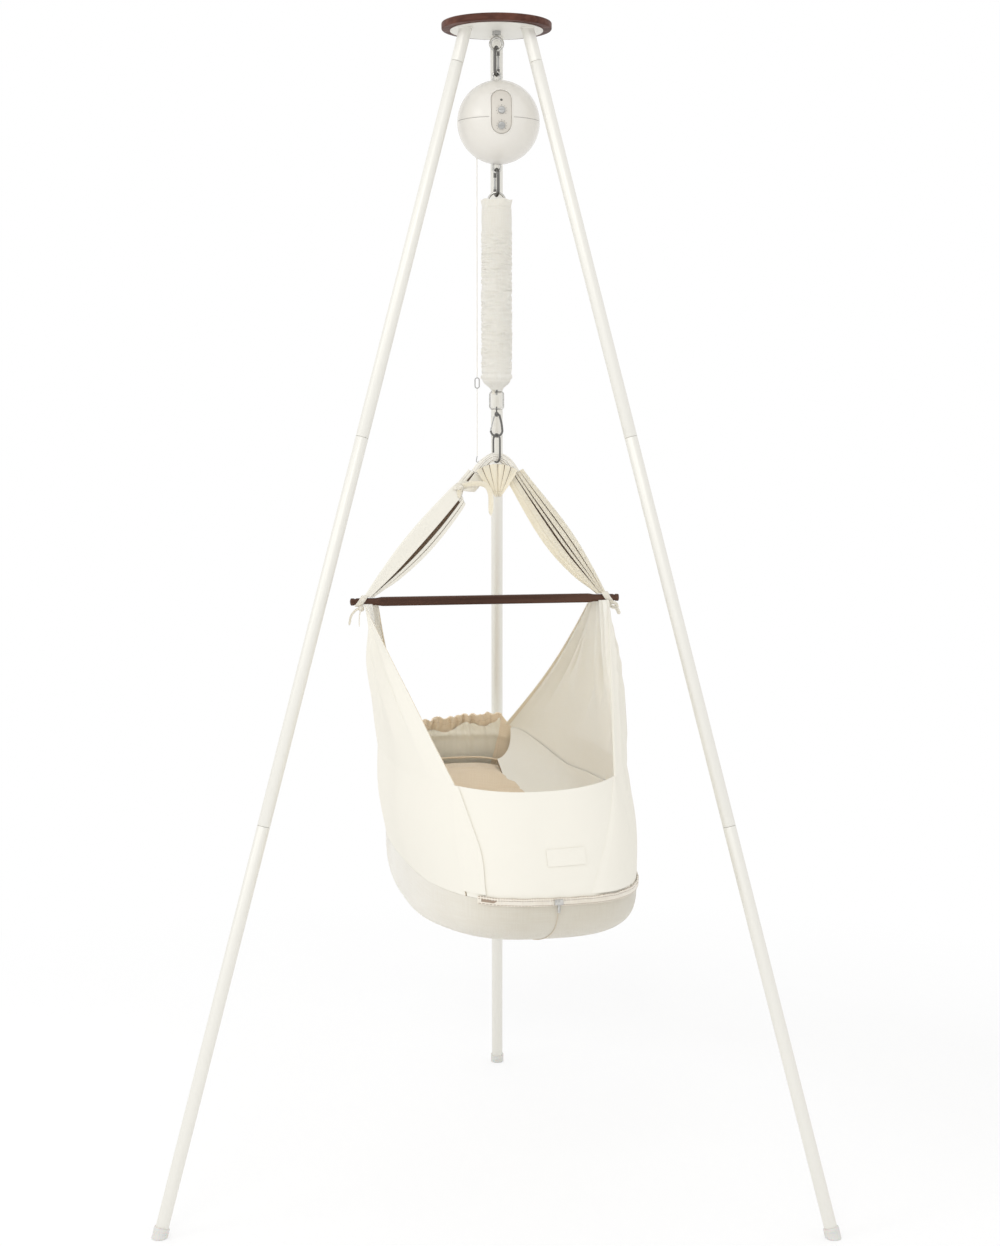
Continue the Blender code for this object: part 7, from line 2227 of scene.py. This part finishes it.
class MakeZip(HammockOperator):
    """Zip round the foot end, with its slider"""

    bl_idname = "hammock.zip"
    bl_label = "Zip"

    def make(self):
        """Tape with its seam rows and painted shadow at its left end, and the slider's finish."""
        start = math.radians(-90 - 36)
        end = math.radians(-90 + 62)
        low = SEAM_HEIGHT - 0.62 * ZIP_TAPE_HEIGHT
        high = low + ZIP_TAPE_HEIGHT
        steps = 260
        angles = []
        for i in range(steps + 1):
            turn = blend(start, end, i / steps)
            angles.append(math.atan2(math.sin(turn) * 2.2, math.cos(turn)))
        grid = []
        for share in np.linspace(0.0, 1.0, 13):
            row = []
            for i, angle in enumerate(angles):
                pucker = 0.0004 * math.sin(i * 0.9) + 0.0003 * math.sin(i * 0.37 + 1.0)
                bulge = 0.0012 * math.sin(math.pi * share) ** 0.5
                out = 0.0012 + bulge + pucker * share
                x, y = oval(angle, BASKET[0] + out, BASKET[1] + out, BASKET[2])
                row.append(hang(x, y, blend(low, high, share) + 0.0004 * math.sin(i * 0.21) * share))
            grid.append(row)
        hung = np.array(grid)
        length = float(np.linalg.norm(np.diff(hung[6], axis=0), axis=1).sum())
        obj = cloth_piece("zip_tape_cloth", hung, (length, ZIP_TAPE_HEIGHT),
                          [zip_tape_hem(), zip_tape_hem(), stitch_and_shadow_cotton()], (False, False, True, True),
                          0.0011, 0.0028)
        # Rows 8, 11 and 1 are the stitch rows; the block of cells at the left end is painted shadow of the fold over
        # the tape.
        shade_cells(obj, *hung.shape[:2], 2, lambda row, col: (row in (8, 11) and col % 3) or (row == 1 and col % 4)
                    or (3 < row < 8 and 3 < col < 14 + row))
        settle(obj, "basket", "zip_tape", "zip")
        dress_cad(["zip_slider"], nickel())


def zip_tape_hem():
    """Twill tape with stitched edges."""
    colour = colours().tape
    return cotton("zip_tape_hemmed", colour, tinted(colour, (0.72, 0.68, 0.62)), sheen=0.1)


class MakeCord(HammockOperator):
    """Thin pull cord with its clip and end hook"""

    bl_idname = "hammock.cord"
    bl_label = "Pull cord"

    def make(self):
        """Two taut lengths of braided cord."""
        clip_top = CLIP_CENTRE + 0.5 * CLIP_LENGTH
        clip_low = CLIP_CENTRE - 0.5 * CLIP_LENGTH
        for name, top, low, bodies, node in (
                ("upper", CORD_TOP, clip_top + GAP, ("spring_head", "spring_foot"), "pull_cord_upper"),
                ("lower", clip_low - GAP, CORD_LOW, ("spring_foot", "hammock_top"), "pull_cord_lower")):
            count = int((top - low) / 0.004) + 2
            path = [Vector((CORD_X, 0.0, blend(top, low, k / (count - 1)))) for k in range(count)]
            obj = grid_piece(f"cord_{name}", [wire_part(path, CORD_RADIUS, Y_AXIS, 12)], [plain_cotton()])
            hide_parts(node)
            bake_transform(obj)
        clip = link_part(CORD_X, clip_top, clip_low, 0.0034, 0.0009, X_AXIS, 12, 16)
        solid_piece("clip_loop", [clip], steel(), "spring_foot", ["cord_clip"])
        top = APEX_CENTRE + 0.0012
        hook = smooth_path([(CORD_X, 0, top), (CORD_X - 0.001, 0, top - 0.005)]
                           + arc((CORD_X + 0.0008, 0, top - 0.0075), 0.0022, 200, 350, 4, X_AXIS, Z_AXIS), 5)
        solid_piece("cord_end_hook", [wire_part(hook, 0.0007, Y_AXIS, 12)], steel(), "hammock_top", ["cord_hook"])


class MakeStage(HammockOperator):
    """Floor, lamps and camera"""

    bl_idname = "hammock.stage"
    bl_label = "Stage"

    def make(self):
        """White surroundings with a soft shadow on the floor."""
        values = bpy.context.scene.hammock_stage
        scene = bpy.context.scene
        scene.view_settings.view_transform = "Standard"
        self.make_world(values.sky)
        self.make_floor(values.floor)
        for name, (place, size), power in (("key_lamp", KEY_LAMP, values.key),
                                           ("front_lamp", FRONT_LAMP, values.fill)):
            lamp = bpy.data.lights.new(name, "AREA")
            lamp.shape = "DISK"
            lamp.size = size
            lamp.energy = power
            obj = bpy.data.objects.new(name, lamp)
            obj.location = place
            obj.rotation_euler = (LAMP_TARGET - Vector(place)).to_track_quat("-Z", "Y").to_euler()
            scene.collection.objects.link(obj)
        camera = bpy.data.cameras.new("camera")
        camera.lens = CAMERA_LENS
        camera.sensor_width = CAMERA_SENSOR
        camera.sensor_fit = "AUTO"
        obj = bpy.data.objects.new("camera", camera)
        obj.location = CAMERA_PLACE
        obj.rotation_euler = (math.radians(90.0) - CAMERA_TILT, 0.0, 0.0)
        scene.collection.objects.link(obj)
        scene.camera = obj

    def make_world(self, level):
        """White to the camera and in reflections, softer as light."""
        world = bpy.data.worlds.new("surroundings")
        world.use_nodes = True
        bpy.context.scene.world = world
        tree = world.node_tree
        background = tree.nodes["Background"]
        background.inputs["Color"].default_value = (1.0, 1.0, 1.0, 1.0)
        rays = add_node(tree, "ShaderNodeLightPath").outputs
        seen = maths(tree, "MAXIMUM", rays["Is Camera Ray"], rays["Is Transmission Ray"])
        seen = maths(tree, "MAXIMUM", seen, maths(tree, "MULTIPLY", rays["Is Glossy Ray"], 0.9))
        tree.links.new(ramp(tree, seen, 0.0, 1.0, level, 1.0), background.inputs["Strength"])

    def make_floor(self, radius):
        """Pale floor that keeps the shadow near the feet and turns white further out."""
        rings = lathe_grid([(r, -0.0004) for r in (0.01, 0.5, 1.0, 2.0, radius)])
        points, faces = joined([(rings, False, True, False)])
        faces.append(tuple(range(64)))
        floor = new_piece("floor", points, faces, [self.floor_material()])

    def floor_material(self):
        """White floor; far from the stand it is as white as the background."""
        material, tree, shader = start_material("pale_floor")
        if tree is None:
            return material
        place = object_place(tree)
        cloud = noise_value(tree, place, 3.0, 2.0)
        tone = mix_colour(tree, cloud, (0.97, 0.97, 0.97, 1.0), (0.99, 0.99, 0.99, 1.0))
        tree.links.new(tone, shader.inputs["Base Color"])
        set_inputs(shader, {"Roughness": 1.0, "Specular IOR Level": 0.0})
        glow = add_node(tree, "ShaderNodeEmission", {"Color": (1.0, 1.0, 1.0, 1.0), "Strength": 1.0})
        distance = add_node(tree, "ShaderNodeVectorMath", {0: place}, operation="LENGTH").outputs["Value"]
        middle = ramp(tree, distance, 0.60, 0.85, 0.65, 0.25)
        far = maths(tree, "ADD", middle, ramp(tree, distance, 1.1, 1.9, 0.0, 0.75))
        rays = add_node(tree, "ShaderNodeLightPath").outputs
        share = maths(tree, "MULTIPLY", far, rays["Is Camera Ray"])
        mix = add_node(tree, "ShaderNodeMixShader", {0: share, 1: shader.outputs[0], 2: glow.outputs[0]})
        tree.links.new(mix.outputs[0], tree.nodes["Material Output"].inputs["Surface"])
        return material


MAKERS = (MakeDisc, MakePlate, MakeLegs, MakeLinks, MakeSnapHook, MakeBall, MakeSleeve, MakeBar, MakeStraps, MakeApex,
          MakeTies, MakeSides, MakeEnds, MakePocket, MakeMattress, MakeZip, MakeCord, MakeStage)


class HammockPanel(bpy.types.Panel):
    """Operators of the hammock"""

    bl_idname = "VIEW3D_PT_hammock"
    bl_label = "Hammock"
    bl_space_type = "VIEW_3D"
    bl_region_type = "UI"
    bl_category = "Hammock"

    def draw(self, context):
        """List the operators and the values."""
        for maker in MAKERS:
            self.layout.operator(maker.bl_idname)
        for group in ("hammock_colours", "hammock_cloth", "hammock_stage"):
            values = getattr(context.scene, group)
            box = self.layout.box()
            for key in values.bl_rna.properties.keys():
                if key not in ("rna_type", "name"):
                    box.prop(values, key)


GROUPS = {"hammock_colours": HammockColours, "hammock_cloth": HammockCloth, "hammock_stage": HammockStage}


def register():
    """Register the classes and the scene's values."""
    for group in GROUPS.values():
        bpy.utils.register_class(group)
    for maker in MAKERS:
        bpy.utils.register_class(maker)
    bpy.utils.register_class(HammockPanel)
    for name, group in GROUPS.items():
        setattr(bpy.types.Scene, name, PointerProperty(type=group))


def unregister():
    """Take them back out."""
    for name in GROUPS:
        delattr(bpy.types.Scene, name)
    bpy.utils.unregister_class(HammockPanel)
    for maker in reversed(MAKERS):
        bpy.utils.unregister_class(maker)
    for group in reversed(list(GROUPS.values())):
        bpy.utils.unregister_class(group)


def main():
    """Register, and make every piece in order."""
    register()
    for maker in MAKERS:
        group, name = maker.bl_idname.split(".")
        getattr(getattr(bpy.ops, group), name)()
    bpy.context.view_layer.update()
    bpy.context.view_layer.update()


if __name__ == "__main__":
    main()
